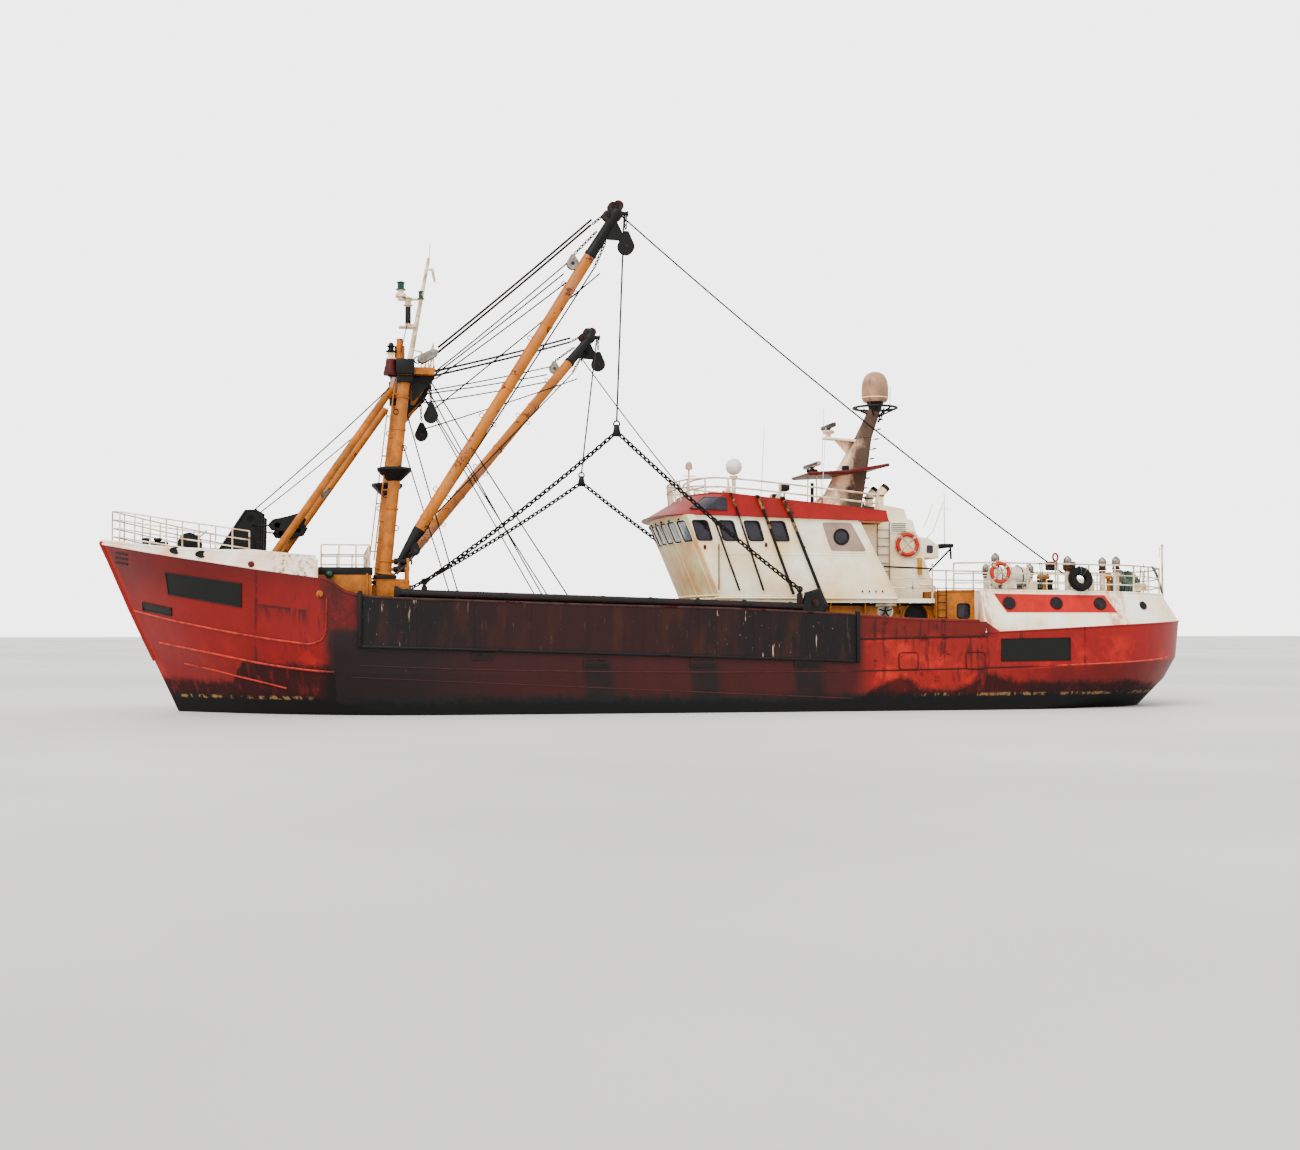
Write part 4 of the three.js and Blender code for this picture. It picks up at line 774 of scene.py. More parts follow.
def deck_paint():
    return weathered("deck paint", tone(62, 70, 54), tone(84, 72, 56), rust=.5, runs=.1, grime=.7, gloss=.7,
        scale=1.4, fresh=.3)


def inner_bulwark_paint():
    return weathered("inner bulwark paint", tone(128, 60, 38), tone(104, 66, 48), rust=.55, runs=.5,
        grime=.6, gloss=.6, fresh=.4)


HULL = hull_paint()
RUBBING = rubbing_plate_finish()
BARS = bar_paint()
BLACK = black_gear()
WHITE = white_plating()
YELLOW = yellow_paint()
DECK = deck_paint()
INNER = inner_bulwark_paint()


# Hull and its plating

def mirror_rows(rows):
    return [[Vector((p.x, -p.y, p.z)) for p in row] for row in rows]


def between(low, high, steps):
    return [low.lerp(high, i / steps) for i in range(steps + 1)]


ENTRY = [(i / 44) ** 1.15 for i in range(45)]
SIDE = [place_of(x) for x in span(FORE_END, STERN_START, 76)]
STERN = [2 + i / 22 for i in range(23)]


def hull_plating():
    """Bottom and sides up to the deck line, with the deck over it."""
    form = Form()
    places = ENTRY + SIDE[1:] + STERN[1:]
    rows = []
    for p in places:
        row = []
        for low, high, steps in [("keel", "bilge", 4), ("bilge", "chine", 6), ("chine", "deck", 8)]:
            row += between(lines[low].at(p), lines[high].at(p), steps)[1 if row else 0:]
        rows.append(row)
    other = mirror_rows(rows)
    form.halves(rows, other)
    form.foot_strip(rows, other)
    deck = [[a[-1].lerp(b[-1], i / 12) for i in range(13)] for a, b in zip(rows, other)]
    form.grid(deck, 1)
    form.end_cap(rows[-1], other[-1])
    form.end_cap(rows[0], other[0])
    skeg = [(6.5, -3.18), (12.9, -3.18), (12.9, -3.08), (11, -3.08), (10.7, -2.3), (10.7, -1.1),
        (6.5, -1.1)]
    form.slab(skeg, "xz", -.15, .15, bevel=.03)
    form.turned((9.6, 0, SHAFT_Z), (11.15, 0, SHAFT_Z), [(.02, 0), (.21, .05), (.2, 1.2), (.17, 1.55),
        (.02, 1.55)])
    form.tube([(11.1, 0, SHAFT_Z), (11.35, 0, SHAFT_Z)], .07, 16)
    form.piece("hull_plating", [HULL, DECK], replaces=["hull"], smooth=28)


def forecastle_plating():
    form = Form()
    rows = []
    for p in ENTRY:
        deck, knuckle, sheer = (lines[n].at(p) for n in ("deck", "knuckle", "sheer"))
        deck.z += FACE_GAP
        rows.append(between(deck, knuckle, 5) + between(knuckle, sheer, 12)[1:])
    other = mirror_rows(rows)
    form.halves(rows, other)
    form.grid([[a[-1].lerp(b[-1], i / 8) for i in range(9)] for a, b in zip(rows, other)], 1)
    form.foot_strip(rows, other)
    for row, mate in ((rows[0], other[0]), (rows[-1], other[-1])):
        form.end_cap(row, mate)
    form.piece("forecastle_plating", [HULL, DECK], replaces=["forecastle"], smooth=28)


def bulwark_plating(side, s):
    """Side plating with its swept top, capping bar and inner stays."""
    form = Form()
    xs = sorted(set(span(-10.4997, -9, 22) + span(-9, 8.1997, 90)))
    outer, inner = [], []
    for x in xs:
        p = place_of(x)
        foot, head = lines["deck"].at(p), bulwark_top(x)
        outer.append([side_at(p, z) for z in span(foot.z + FACE_GAP, head, 14)])
        inner.append([Vector((q.x, q.y - BULWARK_THICKNESS, q.z)) for q in outer[-1]])
    if s < 0:
        outer, inner = mirror_rows(outer), [sided(row, -1) for row in inner]
    form.grid(outer)
    form.grid(inner, 1)
    form.grid([[a[-1], b[-1]] for a, b in zip(outer, inner)])
    form.grid([[a[0], b[0]] for a, b in zip(outer, inner)])
    for a, b in ((outer[0], inner[0]), (outer[-1], inner[-1])):
        form.end_cap(a, b)
    crest = [(a[-1] + b[-1]) / 2 + above(.005) for a, b in zip(outer, inner)]
    form.tube(crest[1:-1], .055, 8)
    inside = HALF_BEAM - BULWARK_THICKNESS
    for i in range(10):
        x = -8.2 + i * 1.64
        top = bulwark_top(x) - .15
        outline = [(s * y, z) for y, z in ((inside + .02, 1.105), (inside - .26, 1.105),
            (inside - .24, 1.16), (inside - .06, top), (inside + .02, top))]
        form.slab(outline, "yz", x, x + .03, 1)
    form.piece(f"bulwark_plating_{side}", [HULL, INNER], replaces=[f"bulwark_{side}"])


def stern_plating():
    form = Form()
    places = [place_of(x) for x in span(POOP_FRONT, STERN_START, 22)] + STERN[1:]
    rows = []
    for p in places:
        foot = lines["deck"].at(p)
        foot.z += FACE_GAP
        x_top = lines["sheer"].at(p).x
        top = side_at(p, boundary_z(x_top))
        rows.append(between(foot, top, 10))
    other = mirror_rows(rows)
    form.halves(rows, other)
    form.grid([[a[-1], b[-1]] for a, b in zip(rows, other)])
    form.foot_strip(rows, other)
    for row, mate in ((rows[0], other[0]), (rows[-1], other[-1])):
        form.end_cap(row, mate)
    form.piece("stern_plating_skin", HULL, replaces=["stern_plating"], smooth=28)


def strake_path(line, start, end, count=60):
    return [lines[line].at(p) for p in span(start, end, count)]


def half_round_bars():
    """Welded bars along the plating's lines; the one along seam is on the port side only."""
    form = Form()
    upper = strake_path("knuckle", .02, .955)
    corner = [on_side(x, z) for x, z in ((-10.6, 1.93), (-10.42, 2.0), (-10.32, 2.12), (-10.28, 2.3),
        (-10.27, 2.7), (-10.26, 3.15))]
    middle = strake_path("deck", .1, 1.02)
    third = through([(-14.1, 1.36), (-13.3, 1.2), (-12.6, 1.03), (-11.9, .87), (-11.3, .72)])
    lower = [on_side(x, third(x)) for x in span(-14.1, -11.3, 16)]
    low_seam = [on_side(x, 1.0 - .048 * (x + 9)) for x in span(-9.6, 4.2, 40)]
    seam = [on_side(x, z) for x, z in zip(span(-9.4, 14.2, 90),
        (1.46 - .36 * math.sin(math.pi * t) ** .6 + .04 * t for t in span(.05, 1, 90)))]
    rub = [on_side(x, 2.03 + .02 * (x - 4.4)) for x in span(4.45, 8.2, 20)]
    for s in (-1, 1):
        for path, radius in ((upper + corner, .032), (middle, .032), (lower, .026), (low_seam, .016),
                (seam, .02), (rub, .028)):
            form.tube(sided(path, s), radius, 8)
        for x, (foot, head) in zip(UPRIGHT_SEAMS, ((2.0, 3.95), (1.2, 2.1), (1.2, 2.32))):
            seam = [on_side(x, z) for z in span(foot, head, 10)]
            form.tube(sided(seam, s), .011, 6, 1)
    form.piece("half_round_bars", [BARS, HULL], smooth=60)


def number_places():
    """Blank boards at the bow and on the quarter, and the small one under the bow's."""
    form = Form()
    boards = [[(-14.55, 3.83), (-12.5, 3.51), (-12.5, 2.9), (-14.48, 3.26)],
        [(-15.26, 3.05), (-14.42, 2.87), (-14.42, 2.67), (-15.25, 2.84)],
        [(8.65, 2.02), (10.75, 2.05), (10.75, 1.42), (8.65, 1.4)]]
    for corners in boards:
        for s in (-1, 1):
            rows = []
            for i in range(15):
                t = i / 14
                top = Vector(corners[0]).lerp(Vector(corners[1]), t)
                foot = Vector(corners[3]).lerp(Vector(corners[2]), t)
                rows.append([on_side(q[0], q[1], .014) for q in (foot.lerp(top, k / 4) for k in range(5))])
            rows = [sided(row, s) for row in rows]
            form.grid(rows, 0)
            rim = ([row[0] for row in rows] + rows[-1] + [row[-1] for row in rows[::-1]] + rows[0][::-1])
            rim = [p for i, p in enumerate(rim) if (p - rim[i - 1]).length > 1e-4]
            form.tube(rim, .016, 6, closed=True)
    board = weathered("board black", tone(30, 28, 30), tone(44, 40, 40), rust=.12, runs=.2, grime=.1,
        gloss=.5, scale=2)
    form.piece("number_boards", [board], smooth=60)


FORE_SLOT = (-6.45, -5.85, 1.68, 1.48)


def freeing_port_pads():
    """Raised pads with the freeing ports' slots, and the closed flaps abaft them."""
    form = Form()
    for x0, x1, top, foot in [(a, b, 1.53, 1.26) for a, b in FREEING_PORTS] + [FORE_SLOT]:
        for s in (-1, 1):
            outline = rounded([(x0, foot), (x1, foot), (x1, top), (x0, top)], .05, 3)
            form.slab([tuple(p) for p in outline], "xz", s * 3.7, s * 3.785, 0)
            # Each slot is a black plate proud of the pad: painted shade for the dark inside the opening
            for z in span(foot + .07, top - .07, 2):
                slot = rounded([(x0 + .05, z - .03), (x1 - .05, z - .03), (x1 - .05, z + .03),
                    (x0 + .05, z + .03)], .03, 3)
                form.slab([tuple(p) for p in slot], "xz", s * 3.73, s * 3.792, 1, bevel=0)
    for x0, x1 in AFTER_PORTS:
        for s in (-1, 1):
            outline = rounded([(x0, 1.17), (x1, 1.17), (x1, 1.64), (x0, 1.64)], .09, 4)
            form.slab([tuple(p) for p in outline], "xz", s * 3.7, s * 3.765, 0)
            rim = [Vector((p.x, s * 3.763, p.y)) for p in outline]
            form.tube(rim, .015, 6, 2, closed=True)
    form.piece("freeing_ports", [HULL, BLACK, BARS])


def rubbing_plates(side, s):
    """A row of plates over the bulwark, a flat bar along their tops and bars at the ends."""
    form = Form()
    rng = random.Random(21 if s < 0 else 22)
    edges = span(-9.45, 4.4, 10)

    def outside(x):
        p = place_of(x)
        return max(lines["sheer"].at(p).y, lines["deck"].at(p).y) + FACE_GAP

    for x0, x1 in zip(edges, edges[1:]):
        sag = rng.uniform(-.006, .003)
        rows = []
        for x in span(x0 + .002, x1 - .002, 9):
            belly = 1 - ((x - (x0 + x1) / 2) / ((x1 - x0) / 2)) ** 2
            z0, z1 = doubler_foot(x), bulwark_top(x) + .03
            y = outside(x)
            face = []
            for k in range(9):
                z = z0 + (z1 - z0) * k / 8
                bulge = sag * belly * math.sin(math.pi * k / 8)
                face.append(Vector((x, s * (y + .075 + bulge), z)))
            rows.append([Vector((x, s * y, z0))] + face + [Vector((x, s * y, z1))])
        form.grid(rows, 0, closed=True, caps=True)
    xs = span(-9.45, 4.4, 60)
    # A pale flat bar along the plates' tops; along their feet a black bar that is painted shadow under the
    # plates
    for height, thick, finish in ((lambda x: bulwark_top(x) + .03, .036, 1), (doubler_foot, .045, 2)):
        form.tube([(x, s * (outside(x) + .065), height(x)) for x in xs], thick, 8, finish)
    for x in (-9.4, 4.35):
        z0, z1 = doubler_foot(x), bulwark_top(x) + .03
        form.block((x, s * (outside(x) + .07), (z0 + z1) / 2 + .03), (.1, .15, z1 - z0 + .12), 2, .02)
        form.block((x, s * (outside(x) + .05), z1 + .06), (.13, .12, .1), 2, .03)
    edge = weathered("plate edge", tone(108, 74, 72), tone(88, 54, 50), rust=.4, runs=.2, grime=.4,
        gloss=.6, scale=2)
    form.piece(f"rubbing_plates_{side}", [RUBBING, edge, BLACK],
        replaces=[f"doubler_{side}"], smooth=25)


hull_plating()
forecastle_plating()
stern_plating()
for side, s in (("port", -1), ("starboard", 1)):
    bulwark_plating(side, s)
    rubbing_plates(side, s)
half_round_bars()
number_places()
freeing_port_pads()


# Small parts used in several places

def sagging(start, end, drop=0.0, count=16):
    """Points along a stretched wire that hangs by drop at its middle."""
    start, end = Vector(start), Vector(end)
    made = [start.lerp(end, i / (count - 1)) for i in range(count)]
    for i, point in enumerate(made):
        t = i / (count - 1)
        point.z -= 4 * drop * t * (1 - t)
    return made


def chain(form, path, pitch=.09, thick=.011, finish=0):
    """Links along a path, each turned a quarter from the last."""
    path = [Vector(p) for p in path]
    lengths = [(b - a).length for a, b in zip(path, path[1:])]
    count = max(2, int(sum(lengths) / pitch))
    for k in range(count):
        reach = (k + .5) * sum(lengths) / count
        i = 0
        while i < len(lengths) - 1 and reach > lengths[i]:
            reach -= lengths[i]
            i += 1
        along = (path[i + 1] - path[i]).normalized()
        middle = path[i] + along * reach
        across = along.orthogonal().normalized()
        if k % 2:
            across = along.cross(across)
        link = [middle + along * math.cos(a) * pitch * .66 + across * math.sin(a) * pitch * .36
            for a in angles(10)]
        form.tube(link, thick, 5, finish, closed=True)


def railing(form, feet, height, rails, radius=.022, finish=0, lean=(0, 0, 0), closed=False):
    """Posts with round rails between them."""
    lean = Vector(lean)
    heads = []
    for foot in feet:
        foot = Vector(foot)
        head = foot + above(height) + lean
        heads.append(head)
        form.tube([foot, head], radius * 1.1, 10, finish)
        form.turned(foot, foot + above(.02), [(.001, 0), (radius * 2.6, 0), (radius * 2.6, .012),
            (.001, .014)], 10, finish)
    for part in rails:
        form.tube([Vector(foot).lerp(head, part) for foot, head in zip(feet, heads)], radius, 10, finish,
            closed=closed)


def ladder(form, foot, head, width, across, finish=0, rung=.3, radius=.02):
    foot, head, across = Vector(foot), Vector(head), Vector(across) * width / 2
    for side in (-1, 1):
        form.tube([foot + across * side, head + across * side], radius, 8, finish)
    count = int((head - foot).length / rung)
    for i in range(1, count + 1):
        at = foot.lerp(head, i / (count + 1))
        form.tube([at - across, at + across], radius * .8, 8, finish)


def shackle(form, centre, size=.1, finish=0, axis="y"):
    ring = circle(centre, axis, size, 14)
    form.tube(ring, size * .22, 7, finish, closed=True)


def sheave_block(form, centre, radius, finish=0, metal=1, thick=.14, hang=.35):
    """Teardrop block: two cheeks, a sheave between them, a strap, pins and an eye on top."""
    x, y, z = centre
    outline = [(x + radius * math.cos(a), z + radius * math.sin(a))
        for a in span(math.radians(-200), math.radians(20), 22)]
    outline += [(x + radius * .28, z + radius + hang * .75), (x - radius * .28, z + radius + hang * .75)]
    for side in (-1, 1):
        form.plate(outline, y + side * thick * .5, .018, finish, .008)
    form.turned((x, y - thick * .36, z), (x, y + thick * .36, z),
        [(.01, 0), (radius * .93, 0), (radius * .8, thick * .3), (radius * .8, thick * .42),
        (radius * .93, thick * .72), (.01, thick * .72)], 28, metal)
    form.turned((x, y - thick * .72, z), (x, y + thick * .72, z), disc(.05, thick * 1.44), 14, metal)
    pin = z + (radius + hang * .45)
    form.tube([(x, y - thick * .6, pin), (x, y + thick * .6, pin)], .022, 8, metal)


def plain_metal(name, colour, dull, metallic=.85, rough=.45, spots=.3):
    """Bare or galvanised metal: cloudy tint, stains and small scratches."""
    material, tree, shader = new_finish(name, Metallic=metallic)
    cloudy = ramp(tree, noise(tree, 6, 6, .6), [(.35, 0.0), (.65, 1.0)])
    tint = blend_colour(tree, cloudy, colour, dull)
    stains = effect(tree, "patches", Scale=3.0, Cover=spots, Edge=.06)
    tint = blend_colour(tree, times(tree, stains, .8), tint, effect(tree, "rust", Fresh=.5))
    plug(shader, "Base Color", tint)
    plug(shader, "Roughness", plus(tree, rough, times(tree, cloudy, .15)))
    emboss(tree, shader, .25, .006, noise(tree, 55, 4, .6))
    return material


def wire_rope():
    """Greasy laid wire: slanting strands in the bump."""
    material, tree, shader = new_finish("wire rope", Metallic=.25, Roughness=.65)
    tint = ramp(tree, noise(tree, 12, 4, .6), [(.3, tone(40, 34, 34)), (.7, tone(72, 56, 50))])
    plug(shader, "Base Color", tint)
    lay = node(tree, "ShaderNodeTexWave", {"Scale": 26.0, "Distortion": 1.5}, bands_direction="DIAGONAL")
    emboss(tree, shader, .6, .004, lay.outputs[1])
    return material


def window_glass():
    material, tree, shader = new_finish("window glass", Metallic=0.0, IOR=1.5)
    shader.inputs["Transmission Weight"].default_value = .25
    # The glass's colour is a painted reflection of the sky; the same noise varies the haze in its roughness
    reflection_and_haze = noise(tree, 3.5, 5, .6)
    plug(shader, "Base Color", ramp(tree, reflection_and_haze, [(.3, tone(62, 58, 72)), (.7, tone(96, 88, 104))]))
    plug(shader, "Roughness", ramp(tree, reflection_and_haze, [(.35, .04), (.75, .16)]))
    return material


def lamp_glass(name, colour):
    material, tree, shader = new_finish(name, Metallic=0.0, IOR=1.45)
    shader.inputs["Transmission Weight"].default_value = .15
    grime = noise(tree, 14, 4, .6)
    plug(shader, "Base Color", blend_colour(tree, times(tree, grime, .35), colour, tone(96, 84, 70)))
    plug(shader, "Roughness", ramp(tree, grime, [(.3, .15), (.7, .4)]))
    return material


def rubber(name="rubber", colour=tone(22, 21, 22), dusty=tone(58, 54, 50)):
    material, tree, shader = new_finish(name, Metallic=0.0)
    dust = ramp(tree, noise(tree, 7, 7, .7), [(.4, 0.0), (.75, .7)])
    plug(shader, "Base Color", blend_colour(tree, dust, colour, dusty))
    plug(shader, "Roughness", ramp(tree, noise(tree, 20, 3), [(.3, .7), (.7, .92)]))
    emboss(tree, shader, .3, .006, noise(tree, 60, 4, .7))
    return material


def rope_fibre(name, colour, worn):
    """Laid fibre rope or net twine: strands, fluff and fading."""
    material, tree, shader = new_finish(name, Metallic=0.0, Roughness=.85)
    shader.inputs["Sheen Weight"].default_value = .3
    plug(shader, "Base Color", blend_colour(tree, ramp(tree, noise(tree, 9, 5, .6), [(.3, 0.0), (.7, 1.0)]),
        colour, worn))
    strands = node(tree, "ShaderNodeTexWave", {"Scale": 38.0, "Distortion": 3.0},
        bands_direction="DIAGONAL")
    emboss(tree, shader, .7, .005, strands.outputs[1])
    return material


STEEL = plain_metal("worn steel", tone(110, 106, 104), tone(70, 62, 58), rough=.42, spots=.5)
GALVANISED = plain_metal("galvanised tube", tone(196, 192, 186), tone(150, 144, 138), rough=.4, spots=.28)
WIRE = wire_rope()
CHAIN = plain_metal("rusty chain", tone(56, 42, 42), tone(36, 30, 32), metallic=.15, rough=.7, spots=.3)
GLASS = window_glass()
RUBBER = rubber()
GASKET = rubber("gasket", tone(52, 48, 52), tone(92, 86, 84))
RED_TRIM = weathered("red trim", tone(186, 42, 18), tone(174, 52, 34), rust=.16, runs=.25, grime=.25,
                     gloss=.4, fresh=.4)
PALE_TUBE = weathered("white tube", tone(232, 224, 212), tone(206, 190, 168), rust=.3, runs=.2,
                      grime=.4, gloss=.45, scale=3)
CLEAR_LAMP = lamp_glass("clear lamp", tone(214, 208, 190))
GREEN_LAMP = lamp_glass("green lamp", tone(40, 120, 92))


# Bow

def band_paint():
    """White plating of the bow's edge, flecked with rust at its after end."""
    material, tree, shader = new_finish("bow band", Roughness=.5)
    where = own_place(tree)
    x = axes_of(tree, where)[0]
    clouds = clouds_of(tree, where, 1.1, 5, .6, .35, .68)
    paint = blend_colour(tree, clouds, tone(252, 238, 224), tone(226, 204, 186))
    flecks = clouds_of(tree, where, 9, 4, .6, .5, .56)
    zone = along_boat(tree, x, [(-16, .03), (-11.8, .05), (-11.45, .75), (-10.8, .8), (-10.6, .3)])
    patch = clouds_of(tree, where, 2.2, 4, .6, .42, .55)
    rust = effect(tree, "rust", Fresh=.4)
    paint = blend_colour(tree, times(tree, flecks, zone, patch), paint, rust)
    paint = blend_colour(tree, times(tree, effect(tree, "patches", Scale=1.6, Cover=.16, Edge=.05), .8),
        paint, rust)
    plug(shader, "Base Color", paint)
    brushed(tree, shader, .3, .02, .3, .8)
    return material


DEEP_RED = weathered("deep red fittings", tone(142, 46, 40), tone(112, 44, 40), rust=.4, runs=.3, grime=.3,
    scale=3)


def bow_band():
    """Pale plating along the forecastle's edge, with a rail bar on top, slits and fairleads."""
    form = Form()
    for s in (-1, 1):
        rows = []
        for p in ENTRY:
            foot = lines["sheer"].at(p)
            head = Vector((foot.x, foot.y, band_top(foot.x)))
            inner = max(foot.y - .06, 0)
            outside = between(foot + above(FACE_GAP), head, 4)
            row = outside + [Vector((head.x, inner, head.z)), Vector((foot.x, inner, foot.z + FACE_GAP))]
            rows.append(sided(row, s))
        form.grid(rows, 0, closed=True, caps=True)
        crest = [(row[4] + row[5]) / 2 for row in rows]
        form.tube(crest, .045, 8)
        foot_bar = [Vector((q.x, s * (abs(q.y) + .004), q.z)) for q in (row[0] for row in rows)]
        form.tube(foot_bar, .03, 8)
        # The taller plate aft, standing a little outside the first
        plate = []
        for x in span(-13.05, -10.55, 24):
            y = lines["sheer"].breadth(x) + .012
            top = band_top(x) + .05 + .1 * min(1, (x + 13.05) / .8)
            foot = lines["sheer"].height(x) + .02
            plate.append([Vector((x, s * y, foot)), Vector((x, s * y, top)),
                Vector((x, s * (y - .05), top)), Vector((x, s * (y - .05), foot))])
        form.grid(plate, 0, closed=True, caps=True)
        # The slits are black bars proud of the plating: painted shade for the dark inside the openings
        for drop in (0, .13, .26):
            slit = [on_side(x, 4.43 - drop - .2 * (x + 16.05), .004) for x in span(-16.02, -15.66, 5)]
            form.tube(sided(slit, s), .026, 8, 1)
        boss = on_side(-10.45, 3.24)
        form.turned((boss.x, s * boss.y, boss.z), (boss.x, s * (boss.y + .1), boss.z),
            [(.001, 0), (.09, 0), (.09, .05), (.065, .06), (.06, .045), (.001, .045)], 20, 2)
        form.turned((-12.24, s * (lines["sheer"].breadth(-12.24) + .02), 4.03), (-12.24, s * 5, 4.03),
            [(.001, 0), (.085, 0), (.085, .03), (.05, .05), (.001, .05)], 20, 3)
        # Fairleads: a black ring, and inside it a black plate as painted shade of the opening
        for x in (-14.25, -13.55):
            y = lines["sheer"].breadth(x) + .02
            z = lines["sheer"].height(x) + .16
            ring = [Vector((x + .16 * math.cos(a), s * y, z + .075 * math.sin(a))) for a in angles(18)]
            form.tube(ring, .026, 8, 1, closed=True)
            form.slab([(x + .14 * math.cos(a), z + .06 * math.sin(a)) for a in angles(16)], "xz",
                s * (y - .01), s * (y + .006), 1, 0)
    form.piece("bow_band_plating", [band_paint(), BLACK, YELLOW, DEEP_RED],
        replaces=["bow_band"])


def stem_head():
    """Rounded bar down the stem, with the knob at its head."""
    form = Form()
    path = [lines[name].at(0) for name in ("chine", "deck", "knuckle", "sheer")]
    run = []
    for low, high in zip(path, path[1:]):
        run += between(low, high, 4)[0 if not run else 1:]
    run = [Vector((q.x, 0, q.z)) for q in run]
    form.tube(run, [.06] * (len(run) - 1) + [.075], 12)
    form.turned((-16.42, 0, 4.62), (-16.42, 0, 4.8), [(.001, 0), (.08, .01), (.1, .07), (.08, .14),
        (.001, .17)], 16)
    form.piece("stem_bar", [HULL])


def bow_rails():
    form = Form()
    sheer = lines["sheer"]
    feet = {s: [Vector((x, s * (sheer.breadth(x) - .16), sheer.height(x)))
        for x in (-15.9, -15.45, -15.0, -14.55, -14.1, -13.65, -13.2, -12.75, -12.3)] for s in (-1, 1)}
    run = feet[-1][::-1] + [Vector((-16.16, 0, 4.62))] + feet[1]
    for p in run:
        p.z -= .006
    railing(form, run, .98, (.28, .52, .76, 1), .019)
    form.piece("bow_rail_tubes", PALE_TUBE, replaces=["bow_rail"])
    # Rails at the after end of the forecastle
    form = Form()
    for s in (-1, 1):
        feet = [(x, s * 3.1, 3.955) for x in (-10.42, -9.95, -9.5, -9.14)]
        railing(form, feet, .62, (.5, 1), .02)
    railing(form, [(-9.14, y, 3.955) for y in span(-2.1, 2.1, 5)], .62, (.5, 1), .02)
    form.piece("house_top_rails", PALE_TUBE)


def forecastle_house_fittings():
    """Black top band, lamps, door with its frame, ports and pipes of the yellow house."""
    form = Form()
    for s in (-1, 1):
        form.block((-9.79, s * 3.252, 3.87), (1.42, .03, .2), 0, .01)
        form.turned((-10.2, s * 3.25, 3.78), (-10.2, s * 3.45, 3.78),
            [(.001, 0), (.09, 0), (.1, .04), (.085, .13), (.04, .17), (.001, .17)], 18, 3)
        form.ring((-10.2, s * 3.33, 3.78), "y", .1, 16, .02, 6)
        form.tube([(-9.2, s * 3.27, 1.3), (-9.2, s * 3.27, 3.8)], .03, 8, 1)
    form.block((-9.068, 0, 3.87), (.03, 6.4, .2), 0, .01)
    frame_line = [tuple(p) for p in rounded([(.84, 1.32), (1.71, 1.32), (1.71, 3.2), (.84, 3.2)], .12, 4)]
    form.tube([(-9.07, y, z) for y, z in frame_line], .03, 8, 1, closed=True)
    for y in (-2.2, -.9):
        form.ring((-9.07, y, 2.9), "x", .17, 20, .03, 8, 4)
        form.turned((-9.075, y, 2.9), (-9.05, y, 2.9), disc(.16, .02), 20, 5)
    for i in range(5):
        form.block((-9.04, -1.6 + .03 * i, 1.5 + .09 * i), (.06, .5, .03), 1, .008)
    form.piece("forecastle_house_fittings", [BLACK, YELLOW, CLEAR_LAMP, GREEN_LAMP, STEEL, GLASS],
        smooth=50)


def windlass_dressing():
    """Windlass with gypsies, brake bands, a chain over the deck and bollards."""
    form = Form()
    for s in (-1, 1):
        form.turned((-14.05, s * .2, 4.7), (-14.05, s * .66, 4.7),
            [(.05, 0), (.27, 0), (.27, .05), (.17, .09), (.19, .25), (.17, .34), (.27, .38), (.27, .44),
            (.05, .46)])
        form.ring((-14.05, s * .45, 4.7), "y", .285, 26, .022, 6, 1)
        for x in (-13.1, -15.0):
            z = lines["sheer"].height(x)
            y = s * (lines["sheer"].breadth(x) - .62)
            for dx in (-.16, .16):
                form.turned((x + dx, y, z - .01), (x + dx, y, z + .4),
                    [(.001, 0), (.1, 0), (.085, .05), (.085, .33), (.12, .37), (.1, .42), (.001, .43)], 16)
            form.block((x, y, z + .02), (.6, .3, .04), 0, .01)
    form.block((-14.05, 0, 4.88), (.5, .34, .16), 0, .04)
    form.tube([(-13.9, .32, 4.86), (-13.7, .36, 5.02), (-13.62, .36, 5.12)], .018, 8, 1)
    chain(form, [(-14.3, .3, 4.62), (-14.9, .22, 4.62), (-15.6, .12, 4.62)], .13, .018, 1)
    form.piece("windlass_dressing", [BLACK, STEEL])


